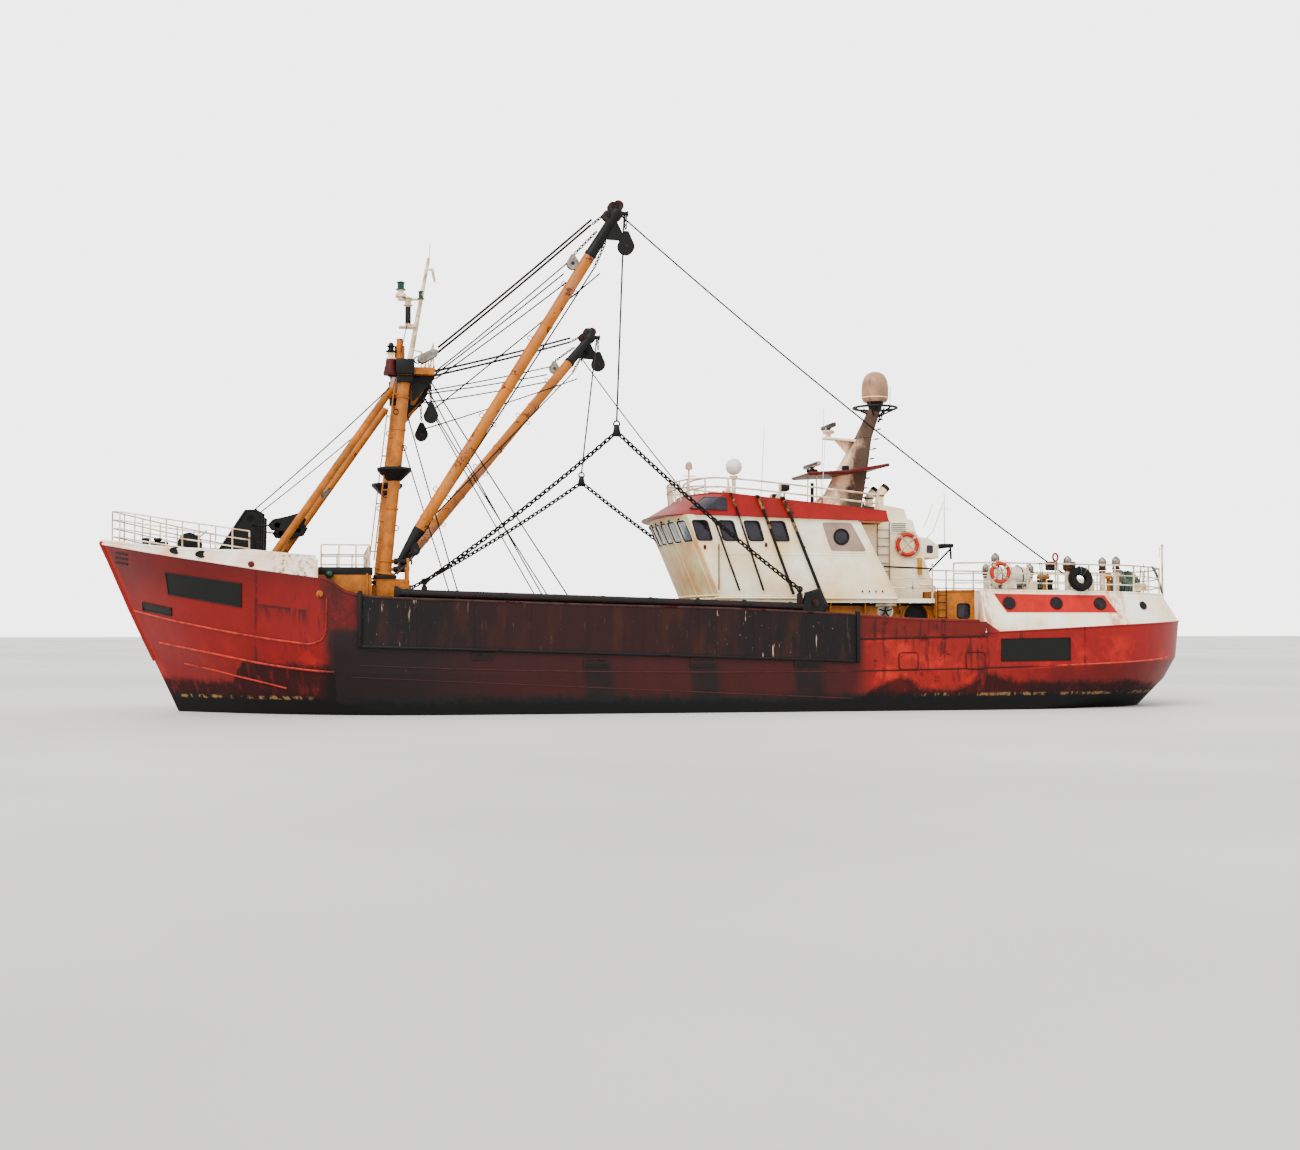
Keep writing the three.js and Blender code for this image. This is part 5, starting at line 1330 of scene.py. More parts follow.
def gallows_dressing():
    """Stiffeners, edge bars and the big pulleys of the black gallows at the bow."""
    form = Form()
    edge = [(-13.4, 4.16), (-12.48, 5.6), (-12.2, 5.6), (-12.04, 5.5), (-12.04, 4.0)]
    for y in (-1.03, 1.03):
        form.tube([(x, y, z) for x, z in edge], .045, 8)
        form.tube([(-13.0, y, 4.7), (-12.04, y, 4.7)], .035, 8)
        x = -12.3
        form.plate([(x - .16, 4.05), (x + .16, 4.05), (x + .02, 4.9), (x - .02, 4.9)], y, .07, 0, .008)
    form.turned((-12.35, -.3, 5.34), (-12.35, .3, 5.34), [(.05, 0), (.22, 0), (.17, .08), (.17, .5),
        (.22, .6), (.05, .6)], 26, 1)
    for y in (-.75, .75):
        form.turned((-12.35, y - .07, 5.34), (-12.35, y + .07, 5.34),
            [(.05, 0), (.22, 0), (.18, .05), (.18, .09), (.22, .14), (.05, .14)], 26, 1)
    form.piece("gallows_dressing", [BLACK, STEEL])
    form = Form()
    cheek = [(-11.86, 5.14), (-11.72, 5.3), (-11.3, 5.4), (-10.98, 5.5), (-10.82, 5.3), (-10.94, 5.08),
        (-11.35, 4.97), (-11.76, 5.0)]
    for s in (-1, 1):
        for y in (2.02, 2.12):
            form.plate(cheek, s * y, .02, 0, .01)
        for x, z in ((-11.6, 5.14), (-11.1, 5.25)):
            form.turned((x, s * 2.0, z), (x, s * 2.14, z), disc(.075, .14), 20, 1)
        form.tube([(-11.7, s * 2.07, 5.14), (-12.1, s * 1.5, 5.16), (-12.3, s * 1.03, 5.2)], .022, 8)
    form.tube([(-10.45, -2.25, 6.24), (-10.38, 0, 6.1), (-10.2, 2.25, 6.5)], .05, 10)
    form.piece("prop_foot_blocks", [BLACK, STEEL])


# Gantry

def column_points(s):
    foot = Vector((-8.72, s * 2.75, 3.68))
    head = Vector((-8.19, s * 2.45, 9.25))
    return foot, head


def gantry_fittings():
    """Flanges, collars, dish platforms, pad eyes, ladder and heel straps of the two columns."""
    form = Form()
    for s in (-1, 1):
        foot, head = column_points(s)
        along = (head - foot).normalized()
        for d, r, t in ((.1, .26, .06), (.45, .19, .04), (1.9, .185, .05), (4.1, .18, .05),
                (5.0, .18, .04)):
            form.turned(foot + along * d, head, disc(r, t, .1), 28)
        centre = Vector((-8.47, s * 2.61, 6.52))
        form.turned(centre, centre + above(1), [(.1, -.172), (.16, -.17), (.452, .108), (.47, .13),
            (.47, .19), (.43, .2), (.1, .185)], 32, 2)
        for a in angles(8):
            out = Vector((math.cos(a), math.sin(a), 0))
            form.tube([centre + out * .17 - above(.16), centre + out * .46 + above(.12)], .018, 6, 2)
        for d, angle in ((3.6, .6), (4.6, 2.4), (1.4, -.5), (2.3, 3.0), (5.2, 0)):
            at = foot + along * d + Vector((math.cos(angle), s * math.sin(angle), 0)) * .2
            shackle(form, at, .07, 1, "y" if math.cos(angle) ** 2 > .5 else "x")
        ladder_foot, ladder_head = foot + Vector((-.29, 0, .5)), head + Vector((-.28, 0, -.25))
        ladder(form, ladder_foot, ladder_head, .3, (0, 1, 0), 0, .32, .015)
        for t in (.1, .4, .7, .95):
            at = ladder_foot.lerp(ladder_head, t)
            form.tube([at + Vector((0, .15, 0)), at + Vector((.18, .1, 0))], .012, 6)
            form.tube([at - Vector((0, .15, 0)), at + Vector((.18, -.1, 0))], .012, 6)
        for dx in (-.31, .31):
            hx = (-8.33 if s < 0 else -8.13) + dx
            form.turned((hx, s * 2.7, 4.135), (hx + (.05 if dx > 0 else -.05), s * 2.7, 4.135),
                [(.001, 0), (.08, 0), (.08, .04), (.03, .05), (.001, .05)], 18, 1)
        form.block((-8.72, s * 2.75, 3.72), (.62, .6, .1), 2, .02)
    form.piece("gantry_fittings", [YELLOW, STEEL, BLACK])


def gantry_head_fittings():
    """Black end caps, gusset webs, guard rail and hanging gear of the crosshead."""
    form = Form()
    for s in (-1, 1):
        form.block((-8.19, s * 2.52, 9.5), (.5, .52, .42), 2, .03)
        form.block((-8.19, s * 2.44, 9.18), (.46, .46, .2), 2, .03)
        for y in (.7, 2.35):
            form.plate([(-8.0, 9.34), (-7.36, 9.34), (-7.36, 9.22), (-7.94, 8.6), (-8.0, 8.6)], s * y, .015,
                2, .004)
        shackle(form, (-7.42, s * 2.3, 9.42), .1, 1)
    form.block((-7.68, 0, 9.27), (.6, 4.7, .05), 2, .01)
    form.tube([(-7.4, y, 9.53) for y in (-2.62, 2.62)], .03, 8)
    for y in span(-2.4, 2.4, 5):
        form.tube([(-7.4, y, 9.48), (-7.4, y, 10.2)], .018, 8, 3)
    form.tube([(-7.4, -2.4, 10.2), (-7.4, 2.4, 10.2)], .018, 8, 3)
    form.tube([(-7.4, -2.4, 9.85), (-7.4, 2.4, 9.85)], .018, 8, 3)
    form.piece("crosshead_fittings", [YELLOW, STEEL, BLACK, PALE_TUBE])
    form = Form()
    for y in (-2.3, 2.3):
        sheave_block(form, (-7.46, y, 8.2), .2, 0, 1, .17, .22)
        chain(form, [(-7.46, y, 8.62), (-7.5, y, 9.3)], .1, .016, 1)
        # Grey topping block on the crosshead
        form.plate([(-7.86, 9.72), (-7.7, 9.62), (-7.3, 9.86), (-7.26, 10.02), (-7.42, 10.06),
            (-7.82, 9.86)], y * 1.02, .1, 2, .02)
        shackle(form, (-7.84, y * 1.02, 9.74), .09, 1)
    form.piece("crosshead_blocks", [BLACK, STEEL, GALVANISED])


def lamp_stack():
    """Red bell and lamps over the port end of the crosshead."""
    form = Form()
    x, y = -8.57, -2.5
    form.block((-8.42, y, 9.25), (.44, .14, .04), 1, .008)
    form.turned((x, y, 9.27), (x, y, 10), [(.02, 0), (.2, .0), (.21, .06), (.15, .3), (.14, .42),
        (.02, .46)], 26)
    for i, z in enumerate((9.7, 9.9)):
        form.turned((x, y, z), (x, y, z + .25), [(.02, 0), (.14, .01), (.15, .04), (.08, .07), (.08, .14),
            (.14, .17), (.02, .2)], 24, 1 if i else 2)
    form.turned((x, y, 10.08), (x, y, 10.3), [(.02, 0), (.09, .0), (.06, .08), (.02, .1)], 18, 1)
    form.turned((-8.33, 2.3, 9.68), (-8.33, 2.3, 10.1), [(.02, 0), (.12, 0), (.12, .1), (.07, .12),
        (.1, .3), (.02, .34)], 20, 1)
    form.piece("lamp_stack", [DEEP_RED, BLACK, WHITE])


def light_mast_fittings():
    form = Form()
    for x, z, finish, r in ((-8.2, 12.15, 1, .1), (-7.99, 11.7, 2, .09), (-7.62, 11.9, 1, .07)):
        form.turned((x, 0, z - .02), (x, 0, z + .3), [(.02, 0), (r * 1.5, 0), (r * 1.5, .03), (r, .05),
            (r, .2), (r * 1.4, .22), (.02, .27)], 20, finish)
    form.block((-8.2, 0, 11.97), (.3, .3, .1), 0, .02)
    form.block((-7.99, 0, 11.4), (.16, .16, .5), 3, .02)
    form.block((-8.0, 0, 11.05), (.5, .34, .05), 0, .01)
    for z in span(9.9, 12.6, 10):
        x = -7.992 + (z - 9.77) / (13.1 - 9.77) * .59
        form.tube([(x, -.14, z), (x, .14, z)], .012, 6)
    form.tube([(-7.4, 0, 13.05), (-7.36, 0, 13.5)], .012, 6)
    form.tube([(-7.52, 0, 12.72), (-7.3, 0, 12.78), (-7.22, 0, 12.4)], .03, 8)
    form.tube([(-7.9, 0, 10.4), (-7.6, 0, 10.35), (-7.6, 0, 9.8)], .018, 8)
    form.piece("light_mast_fittings", [PALE_TUBE, GREEN_LAMP, CLEAR_LAMP, BLACK])


bow_band()
stem_head()
bow_rails()
forecastle_house_fittings()
windlass_dressing()
gallows_dressing()
gantry_fittings()
gantry_head_fittings()
lamp_stack()
light_mast_fittings()


# Derricks, as (side, heel, reach, lean, dark foot); the first four are the CAD's

DERRICK_LENGTH = 11.55
DERRICKS = {"port": (-1, Vector((-8.33, -2.70, 4.15)), 6.01, 1.2, 1.05),
            "starboard": (1, Vector((-8.13, 2.70, 4.12)), 6.69, 29.9, .65)}
BLOCK_DROP = .62
BLOCK_RADIUS = .25


def derrick_line(side):
    s, heel, reach, lean, _ = DERRICKS[side]
    upright = math.sqrt(DERRICK_LENGTH ** 2 - reach ** 2)
    tilt = math.radians(lean)
    along = Vector((reach, s * upright * math.sin(tilt), upright * math.cos(tilt))).normalized()
    return heel, along


def derrick_paint():
    """Yellow spar paint, chafed through to pale primer and rust where wires have rubbed."""
    material, tree, shader = new_finish("derrick paint")
    where = own_place(tree)
    paint = blend_colour(tree, clouds_of(tree, where, 1.1, 4, .6, .35, .65), tone(204, 158, 34),
        tone(192, 140, 64))
    pale = effect(tree, "patches", Scale=.8, Cover=.46, Edge=.12)
    paint = blend_colour(tree, times(tree, pale, .65), paint, tone(196, 168, 138))
    scuffs = effect(tree, "patches", Scale=3.2, Cover=.36, Edge=.05)
    paint = blend_colour(tree, times(tree, scuffs, .85), paint, effect(tree, "rust", Fresh=.45))
    grease = effect(tree, "runs", Scale=2.2, Cover=.4, Edge=.15)
    paint = blend_colour(tree, times(tree, grease, .5), paint, tone(60, 40, 30))
    plug(shader, "Base Color", paint)
    plug(shader, "Roughness", plus(tree, .45, times(tree, scuffs, .4)))
    brushed(tree, shader, .35, .012, .4, .6)
    return material


SPAR = derrick_paint()


def derrick(side):
    """Spar in painted lengths with bands, eyes, head sheaves and its hanging web plate."""
    form = Form()
    dark_foot = DERRICKS[side][4]
    heel, along = derrick_line(side)
    at = lambda d: heel + along * d
    length = DERRICK_LENGTH
    r = .165
    profile = [(.02, -.004), (.085, 0), (.085, .07), (r, .95)]
    foot_end = max(dark_foot, .96)
    form.turned(at(0), at(length), profile + [(r, foot_end), (.02, foot_end)], 30, 1)
    form.turned(at(0), at(length), [(.02, foot_end)] + [(r, d)
        for d in span(foot_end, length - 1.55, 12)] + [(.02, length - 1.55)], 30)
    form.turned(at(0), at(length), [(.02, length - 1.55), (r, length - 1.55), (r * .85, length - .3),
        (.19, length - .2), (.19, length - .02), (.12, length + .06), (.02, length + .06)], 30, 1)
    for d in (1.35, 3.4, 5.6, 7.7, length - 1.5):
        form.turned(at(d), at(length), disc(r + .014, .07, .1), 30, 0 if d < 9 else 1)
    for x0, x1 in ((-.14, -.02), (.02, .194)):
        form.turned(heel + Vector((x0, 0, 0)), heel + Vector((x1, 0, 0)), disc(.095, x1 - x0, .0558), 28, 1)
    lug = at(length - .08)
    form.turned(lug, lug + Vector((.33, 0, 0)), [(.001, 0), (.06, 0), (.06, .3), (.085, .3), (.085, .33),
        (.001, .33)], 24, 1)
    across = Vector((0, 1, 0))
    for d, share in ((length - .05, 1), (length - .34, 1), (length + .1, .4)):
        centre = at(d) + Vector((-.12, 0, .13)) * share
        form.turned(centre - across * .1, centre + across * .1,
            [(.03, 0), (.15, 0), (.11, .06), (.11, .14), (.15, .2), (.03, .2)], 24, 2)
        form.turned(centre - across * .14, centre + across * .14, disc(.04, .28), 12, 1)
    hx, hz = lug.x, lug.z
    web = [(hx - .1, hz - .02), (hx + .2, hz - .62), (hx + .16, hz - .76), (hx - .38, hz - .74),
        (hx - .5, hz - .6)]
    for off in (-.06, .06):
        form.plate(web, lug.y + off, .015, 1, .008)
    for x in (hx + .12, hx - .3):
        shackle(form, (x, lug.y, hz - .8), .055, 2, "x")
    for d in (length - 2.6, length - 4.4, 4.6, 2.2):
        shackle(form, at(d) + Vector((-.17, 0, .12)), .06, 2)
        shackle(form, at(d) + Vector((.17, 0, -.13)), .06, 2)
    form.piece(f"derrick_spar_{side}", [SPAR, BLACK, STEEL], body=f"{side}_derrick",
        replaces=[f"derrick_{side}"])


def hanging_block(side):
    form = Form()
    heel, along = derrick_line(side)
    lug = heel + along * (DERRICK_LENGTH - .08)
    x, y, top = lug.x + .27, lug.y, lug.z - .0603
    sheave = top - BLOCK_DROP - BLOCK_RADIUS
    chain(form, [(x, y, top - .02), (x, y, sheave + .5)], .1, .017, 1)
    sheave_block(form, (x, y, sheave), .235, 0, 1, .15, .26)
    form.piece(f"hanging_block_{side}", [BLACK, STEEL], body=f"{side}_block",
        replaces=[f"derrick_block_{side}"])


def wire(name, path, radius, a, b=None, start=None, end=None, doubled=0.0):
    """A stretched wire on one body, or on none with its shape baked in when given a second."""
    form = Form()
    shifts = [above(0)] if not doubled else [above(doubled), Vector((0, doubled, 0))]
    for shift in shifts:
        form.tube([Vector(p) + shift for p in path], radius, 6)
    made = form.piece(name, WIRE, body=None if b else a, smooth=80)
    if b:
        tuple(start or path[0])
        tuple(end or path[-1])
        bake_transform(made)
    return made


def topping_gear(side):
    """Wires from the crosshead to a derrick's head, with the blocks and chains at their ends."""
    s = DERRICKS[side][0]
    heel, along = derrick_line(side)
    body = f"{side}_derrick"
    at = lambda d, fore=0.0, up=0.0: heel + along * d + Vector((-fore, 0, up))
    y = s * 2.35
    length = DERRICK_LENGTH
    tops = [((-7.28, y, 9.98), at(length - .75, .35, .25), .034, .12),
        ((-7.3, s * 2.05, 9.5), at(length - 1.9, .42, .12), .022, 0),
        ((-7.42, s * 1.75, 9.36), at(length - 2.1, .42, -.02), .022, 0),
        ((-7.36, s * 2.5, 9.2), at(length - 2.2, .3, -.18), .022, 0),
        ((-7.42, s * 2.3, 8.36), at(length - 1.35, -.2, -.62), .022, 0)]
    for i, (foot, head, radius, doubled) in enumerate(tops):
        wire(f"topping_wire_{side}_{i}", sagging(foot, head, .03, 40), radius, "boat", body,
            doubled=doubled)
    form = Form()
    block_at = at(length - 1.75, .36, .06)
    sheave_block(form, (block_at.x, block_at.y, block_at.z - .1), .17, 2, 1, .13, .12)
    chain(form, [block_at + Vector((.05, 0, .18)), at(length - .85, .16, .12)], .1, .017, 1)
    chain(form, [at(length - .75, .33, .24), at(length - .1, .1, .16)], .1, .018, 1)
    chain(form, [at(length - .8, -.05, -.25), at(length - 1.5, -.12, -.34)], .1, .017, 1)
    form.piece(f"head_gear_{side}", [BLACK, STEEL, GALVANISED], body=body)
    runner = sagging((-7.45, s * 2.75, 5.35), at(length - 1.5, -.12, -.34), .02, 40)
    wire(f"runner_{side}", runner, .024, "boat", body)
    form = Form()
    form.tube([(-7.45, s * 2.75, 5.35), (-7.75, s * 2.74, 4.85)], [.05, .05], 8)
    sheave_block(form, (-7.9, s * 2.74, 4.45), .14, 0, 1, .12, .14)
    form.tube([(-7.9, s * 2.74, 4.35), (-8.2, s * 2.74, 4.0), (-8.4, s * 2.74, 3.8)], .03, 8, 1)
    form.piece(f"runner_tackle_{side}", [BLACK, STEEL])


def guys():
    """The long guy from the port head to the poop, and the shorter one from the starboard head."""
    heel, along = derrick_line("port")
    head = heel + along * (DERRICK_LENGTH - .1) + Vector((.12, 0, -.02))
    wire("guy_port", sagging((11.55, -2.95, 3.5), head, .28, 70), .024, "boat", "port_derrick")
    heel, along = derrick_line("starboard")
    head = heel + along * (DERRICK_LENGTH - 1.1) + Vector((.14, -.1, 0))
    wire("guy_starboard", sagging((1.0, 2.3, 6.2), head, .08, 50), .022, "boat", "starboard_derrick")


BRIDLE_TOPS = {"port": Vector((-2.4, -3.2, 7.75)), "starboard": Vector((-2.4, 3.3, 6.9))}
BRIDLE_SAG = .11
BEAM_Y = 3.64
BEAM_LUGS = [(-7.7, .2), (2.72, .36)]


def beam_z(x):
    return bulwark_top(x) + .171


def bridle(side):
    """Chains from a trawl beam's lugs up to the shackle plate, and the fall from it to the derrick."""
    s = DERRICKS[side][0]
    heel, along = derrick_line(side)
    lug = heel + along * (DERRICK_LENGTH - .08)
    top = BRIDLE_TOPS[side]
    form = Form()
    form.plate([(top.x - .13, top.z - .11), (top.x + .13, top.z - .11), (top.x + .06, top.z + .22),
        (top.x - .06, top.z + .22)], top.y, .045, 0, .012)
    form.ring((top.x, top.y, top.z + .24), "y", .085, 18, .024, 8, 1)
    for x, rise in BEAM_LUGS:
        foot = Vector((x, s * BEAM_Y, beam_z(x) + rise + FACE_GAP))
        form.turned(foot, foot + above(.2), [(.001, 0), (.06, 0), (.06, .03), (.035, .05), (.035, .11),
            (.001, .11)], 14, 1)
        form.ring(foot + above(.13), "y", .07, 16, .026, 8, 1)
        side_of_plate = Vector((.09 if x > top.x else -.09, 0, -.06))
        chain(form, sagging(foot + above(.12), top + side_of_plate, BRIDLE_SAG, 14), .155, .026, 1)
    form.piece(f"beam_chains_{side}", [BLACK, CHAIN], replaces=[f"beam_bridle_{side}"],
        smooth=60)
    start = top + above(.3)
    wire(f"fall_{side}", sagging(start, lug + Vector((.22, 0, -.06)), 0, 40), .025, "boat",
        f"{side}_derrick")


def cross_stays():
    """Fixed runners from the crosshead down and aft to the deck and bulwark."""
    form = Form()
    for s in (-1, 1):
        form.tube(sagging((-7.45, s * 1.6, 9.3), (-2.6, s * 2.1, 1.75), .06, 20), .021, 6)
        form.tube(sagging((-7.5, s * .9, 9.2), (-3.25, s * .78, 1.72), .05, 20), .02, 6)
        form.tube(sagging((-8.05, s * 2.2, 11.1), (-8.3, s * 2.6, 9.9), 0, 6), .014, 6)
        form.tube(sagging((-8.62, s * 2.62, 8.9), (-12.3, s * 1.03, 5.58), .05, 16), .02, 6)
        form.tube(sagging((-8.4, s * 2.5, 9.2), (-6.35, s * 1.35, 2.4), .04, 18), .02, 6)
    form.piece("cross_stays", WIRE, smooth=80)


def beam_fittings():
    """Bands, chafing sleeves, rings and the heavy head with its shoe at the after end of each beam."""
    form = Form()
    for s in (-1, 1):
        y = s * BEAM_Y
        for x in span(-8.2, 2.4, 9):
            z = beam_z(x)
            form.turned((x, y, z), (x + .1, y, beam_z(x + .1)), disc(.128, .09, .05), 20)
            form.block((x + .05, y, z - .13), (.16, .2, .07), 0, .015)
        x, z = 2.85, beam_z(2.85)
        shoe = [(x - .1, z - .2), (x + .5, z - .2), (x + .62, z + .02), (x + .42, z + .46),
            (x + .02, z + .34)]
        for off in (-.1, .1):
            form.plate(shoe, y + off, .02, 0, .012)
        form.tube([(px, y, pz) for px, pz in shoe[1:]], .07, 10)
        form.turned((x + .28, y - .2, z + .12), (x + .28, y + .2, z + .12), disc(.09, .4), 16, 1)
        for dx, dz in ((.05, .05), (.4, -.05), (.32, .34)):
            form.ring((x + dx, y - s * .02, z + dz), "y", .08, 14, .024, 6, 1)
        chain(form, [(x + .4, y, z - .1), (x + .5, y - s * .1, z - .35), (x + .2, y - s * .3, z - .55)],
            .11, .02, 1)
        form.turned((-8.5, y, beam_z(-8.48)), (-8.3, y, beam_z(-8.3)),
            [(.03, 0), (.19, 0), (.19, .06), (.12, .2), (.03, .2)], 20)
    form.piece("trawl_beam_fittings", [BLACK, STEEL])


def pound_boards():
    """Yellow boards inside the bulwark with dividers, and the chain laid along their tops."""
    form = Form()
    for s in (-1, 1):
        y = s * 3.38
        for i, x in enumerate(span(-2.35, .1, 9)):
            form.block((x + .15, y, 2.86), (.29, .05, .46), 0, .012)
            form.block((x, y - s * .03, 2.86), (.035, .04, .5), 1, .008)
        form.tube([(-3.95, y, 2.8), (.42, y, 2.72)], .03, 8, 1)
        for x in (-3.9, -2.5, -1.2, .1):
            form.tube([(x, y, 1.11), (x, y, 2.8)], .03, 8, 1)
        chain(form, [(-3.9, y, 3.12), (-3.0, y, 3.06), (.4, y, 3.1)], .1, .017, 2)
        for i in range(9):
            form.turned((-3.3 + .17 * i, y - .03, 3.07), (-3.3 + .17 * i, y + .03, 3.07),
                [(.001, 0), (.05, .01), (.06, .03), (.05, .05), (.001, .06)], 10)
    form.piece("pound_boards", [YELLOW, BLACK, STEEL])


def winch_dressing():
    """Wire wound on the drums, brake bands and the guards over the frame."""
    for side, s in (("port", -1), ("starboard", 1)):
        form = Form()
        profile = [(.22, 0)]
        for i in range(52):
            profile += [(.36, .0 + i * .03), (.385, .015 + i * .03)]
        profile += [(.22, 1.56)]
        a, b = Vector((-6.3, s * .23, 1.88)), Vector((-6.3, s * 1.79, 1.88))
        form.turned(a, b, profile, 36)
        form.piece(f"wound_wire_{side}", WIRE, body=f"{side}_drum", smooth=80)
        form = Form()
        for y in (.196, 1.825):
            for a in angles(6):
                form.block((-6.3 + .36 * math.cos(a), s * y, 1.88 + .36 * math.sin(a)), (.06, .075, .06), 0,
                    .01)
        form.turned((-6.3, s * 1.96, 1.88), (-6.3, s * 2.17, 1.88),
            [(.1, -.01), (.17, -.01), (.155, .06), (.2, .16), (.23, .19), (.23, .215), (.1, .22)], 30)
        form.piece(f"warping_end_{side}", STEEL, body=f"{side}_drum")
    form = Form()
    for y in (-1.91, -.11, .11, 1.91):
        form.tube([(-7.16, y, 1.14), (-6.64, y, 2.45), (-5.96, y, 2.45), (-5.44, y, 1.14)], .035, 8)
    for y in (-1, 1):
        form.block((-6.72, y * 1.05, 1.42), (.1, 1.2, .34), 1, .02)
    form.tube([(-6.3, -1.94, 2.47), (-6.3, 1.94, 2.47)], .04, 8, 1)
    form.block((-5.55, 0, 1.36), (.36, .5, .5), 1, .04)
    form.tube([(-5.5, 0, 1.6), (-5.4, .04, 1.95)], .016, 6)
    form.piece("winch_guards", [STEEL, weathered("winch green", tone(60, 104, 76), tone(84, 96, 66),
        rust=.45, runs=.3, grime=.5, scale=2)])


def hatch_dressing():
    form = Form()
    for x in span(-3.15, -1.85, 5):
        form.block((x, 0, 1.79), (.06, 1.58, .05), 0, .012)
    for y in (-.5, .5):
        form.block((-2.5, y, 1.785), (1.5, .06, .035), 0, .01)
    form.tube([(-3.28, -.3, 1.78), (-3.3, -.3, 1.88), (-3.3, .3, 1.88), (-3.28, .3, 1.78)], .018, 8)
    for x in (-3.2, -1.8):
        for y in (-.7, .7):
            form.ring((x, y, 1.79), "x", .045, 12, .011, 6)
    form.piece("hatch_lid_dressing", GALVANISED, body="hatch_cover")
    form = Form()
    for y in (-.82, .82):
        for x in span(-3.2, -1.8, 6):
            form.plate([(x - .02, 1.11), (x + .02, 1.11), (x + .02, 1.6), (x - .02, 1.6)], y, .02, 0, .004)
    form.tube([(-3.34, -.84, 1.62), (-1.66, -.84, 1.62), (-1.66, .84, 1.62), (-3.34, .84, 1.62)], .025, 8,
        closed=True)
    form.piece("hatch_stays", STEEL)


for side in DERRICKS:
    derrick(side)
    hanging_block(side)
    topping_gear(side)
    bridle(side)
guys()
cross_stays()
beam_fittings()
pound_boards()
winch_dressing()
hatch_dressing()


# Wheelhouse

SIDE_OUT = 2.75
WINDOW_FOOT, WINDOW_HEAD = 4.81, 5.37
SIDE_WINDOWS = [-.18 + .75 * i for i in range(4)]
SIDE_WINDOW_WIDTH, SIDE_WINDOW_LEAN = .44, .18
FRONT_WINDOWS = [.74 * (i - 3) for i in range(7)]
FRONT_WINDOW_WIDTH = .56
PORTHOLE = (4.21, 4.95, .2)


def under_roof(x):
    return 5.402 + .0235 * (5.62 - x)


def on_front(y, z, proud=0.0):
    return Vector((.3 - .42 * (z - BOAT_DECK_Z) + .38 * (y / SIDE_OUT) ** 2 - proud, y, z))


def on_wall(s):
    return lambda x, z, proud=0.0: Vector((x, s * (SIDE_OUT + proud), z))


def leaning(x, width, lean, low, high, grow=0.0):
    """Corners of an upright or leaning window, made larger all round by grow."""
    return [(x + lean - grow, low - grow), (x + width + lean + grow, low - grow),
        (x + width + grow, high + grow), (x - grow, high + grow)]


def flat_ring(form, place, outer, inner, back, fore, finish=0):
    """Ring between two outlines of equal count, lying on a wall."""
    rows = [[place(*a, back), place(*a, fore), place(*b, fore), place(*b, back)] for a,
        b in zip(outer, inner)]
    form.grid(rows + rows[:1], finish, closed=True)


def dress_window(form, place, x, width, lean, low, high):
    """Rounded rubber surround with a thin painted bead outside it."""
    outer = rounded(leaning(x, width, lean, low, high, .02), .11)
    inner = rounded(leaning(x, width, lean, low, high, -.014), .09)
    flat_ring(form, place, outer, inner, -.02, .01, 1)
    form.tube([place(*p, .008) for p in inner], .007, 6, 1, closed=True)
    bead = rounded(leaning(x, width, lean, low, high, .032), .12)
    form.tube([place(*p, .004) for p in bead], .012, 6, closed=True)


def wheelhouse_windows():
    form = Form()
    for y in FRONT_WINDOWS:
        dress_window(form, on_front, y - FRONT_WINDOW_WIDTH / 2, FRONT_WINDOW_WIDTH, 0, WINDOW_FOOT,
            WINDOW_HEAD)
        half = FRONT_WINDOW_WIDTH / 2 - .01
        form.grid([[on_front(y + side, z, -.004) for side in span(-half, half, 5)]
            for z in (WINDOW_FOOT + .01, WINDOW_HEAD - .01)], 2)
        form.tube([on_front(y + .05, WINDOW_HEAD + .06, .03), on_front(y - .12, WINDOW_FOOT + .1, .03)],
            .008, 5, 1)
        form.block(on_front(y + .05, WINDOW_HEAD + .06, .02), (.05, .07, .05), 1, .01)
    for s in (-1, 1):
        for x in SIDE_WINDOWS:
            dress_window(form, on_wall(s), x, SIDE_WINDOW_WIDTH, SIDE_WINDOW_LEAN, WINDOW_FOOT, WINDOW_HEAD)
    # The front panes get a paler copy of the glass: their pale blue-grey is a painted reflection of the sky
    pale = window_glass()
    pale.name = "front glass painted reflection"
    for stop, colour in zip([n for n in pale.node_tree.nodes
            if n.type == "VALTORGB"][0].color_ramp.elements, (tone(104, 112, 124), tone(172, 184, 192))):
        stop.color = colour
    form.piece("wheelhouse_window_surrounds", [WHITE, GASKET, pale])


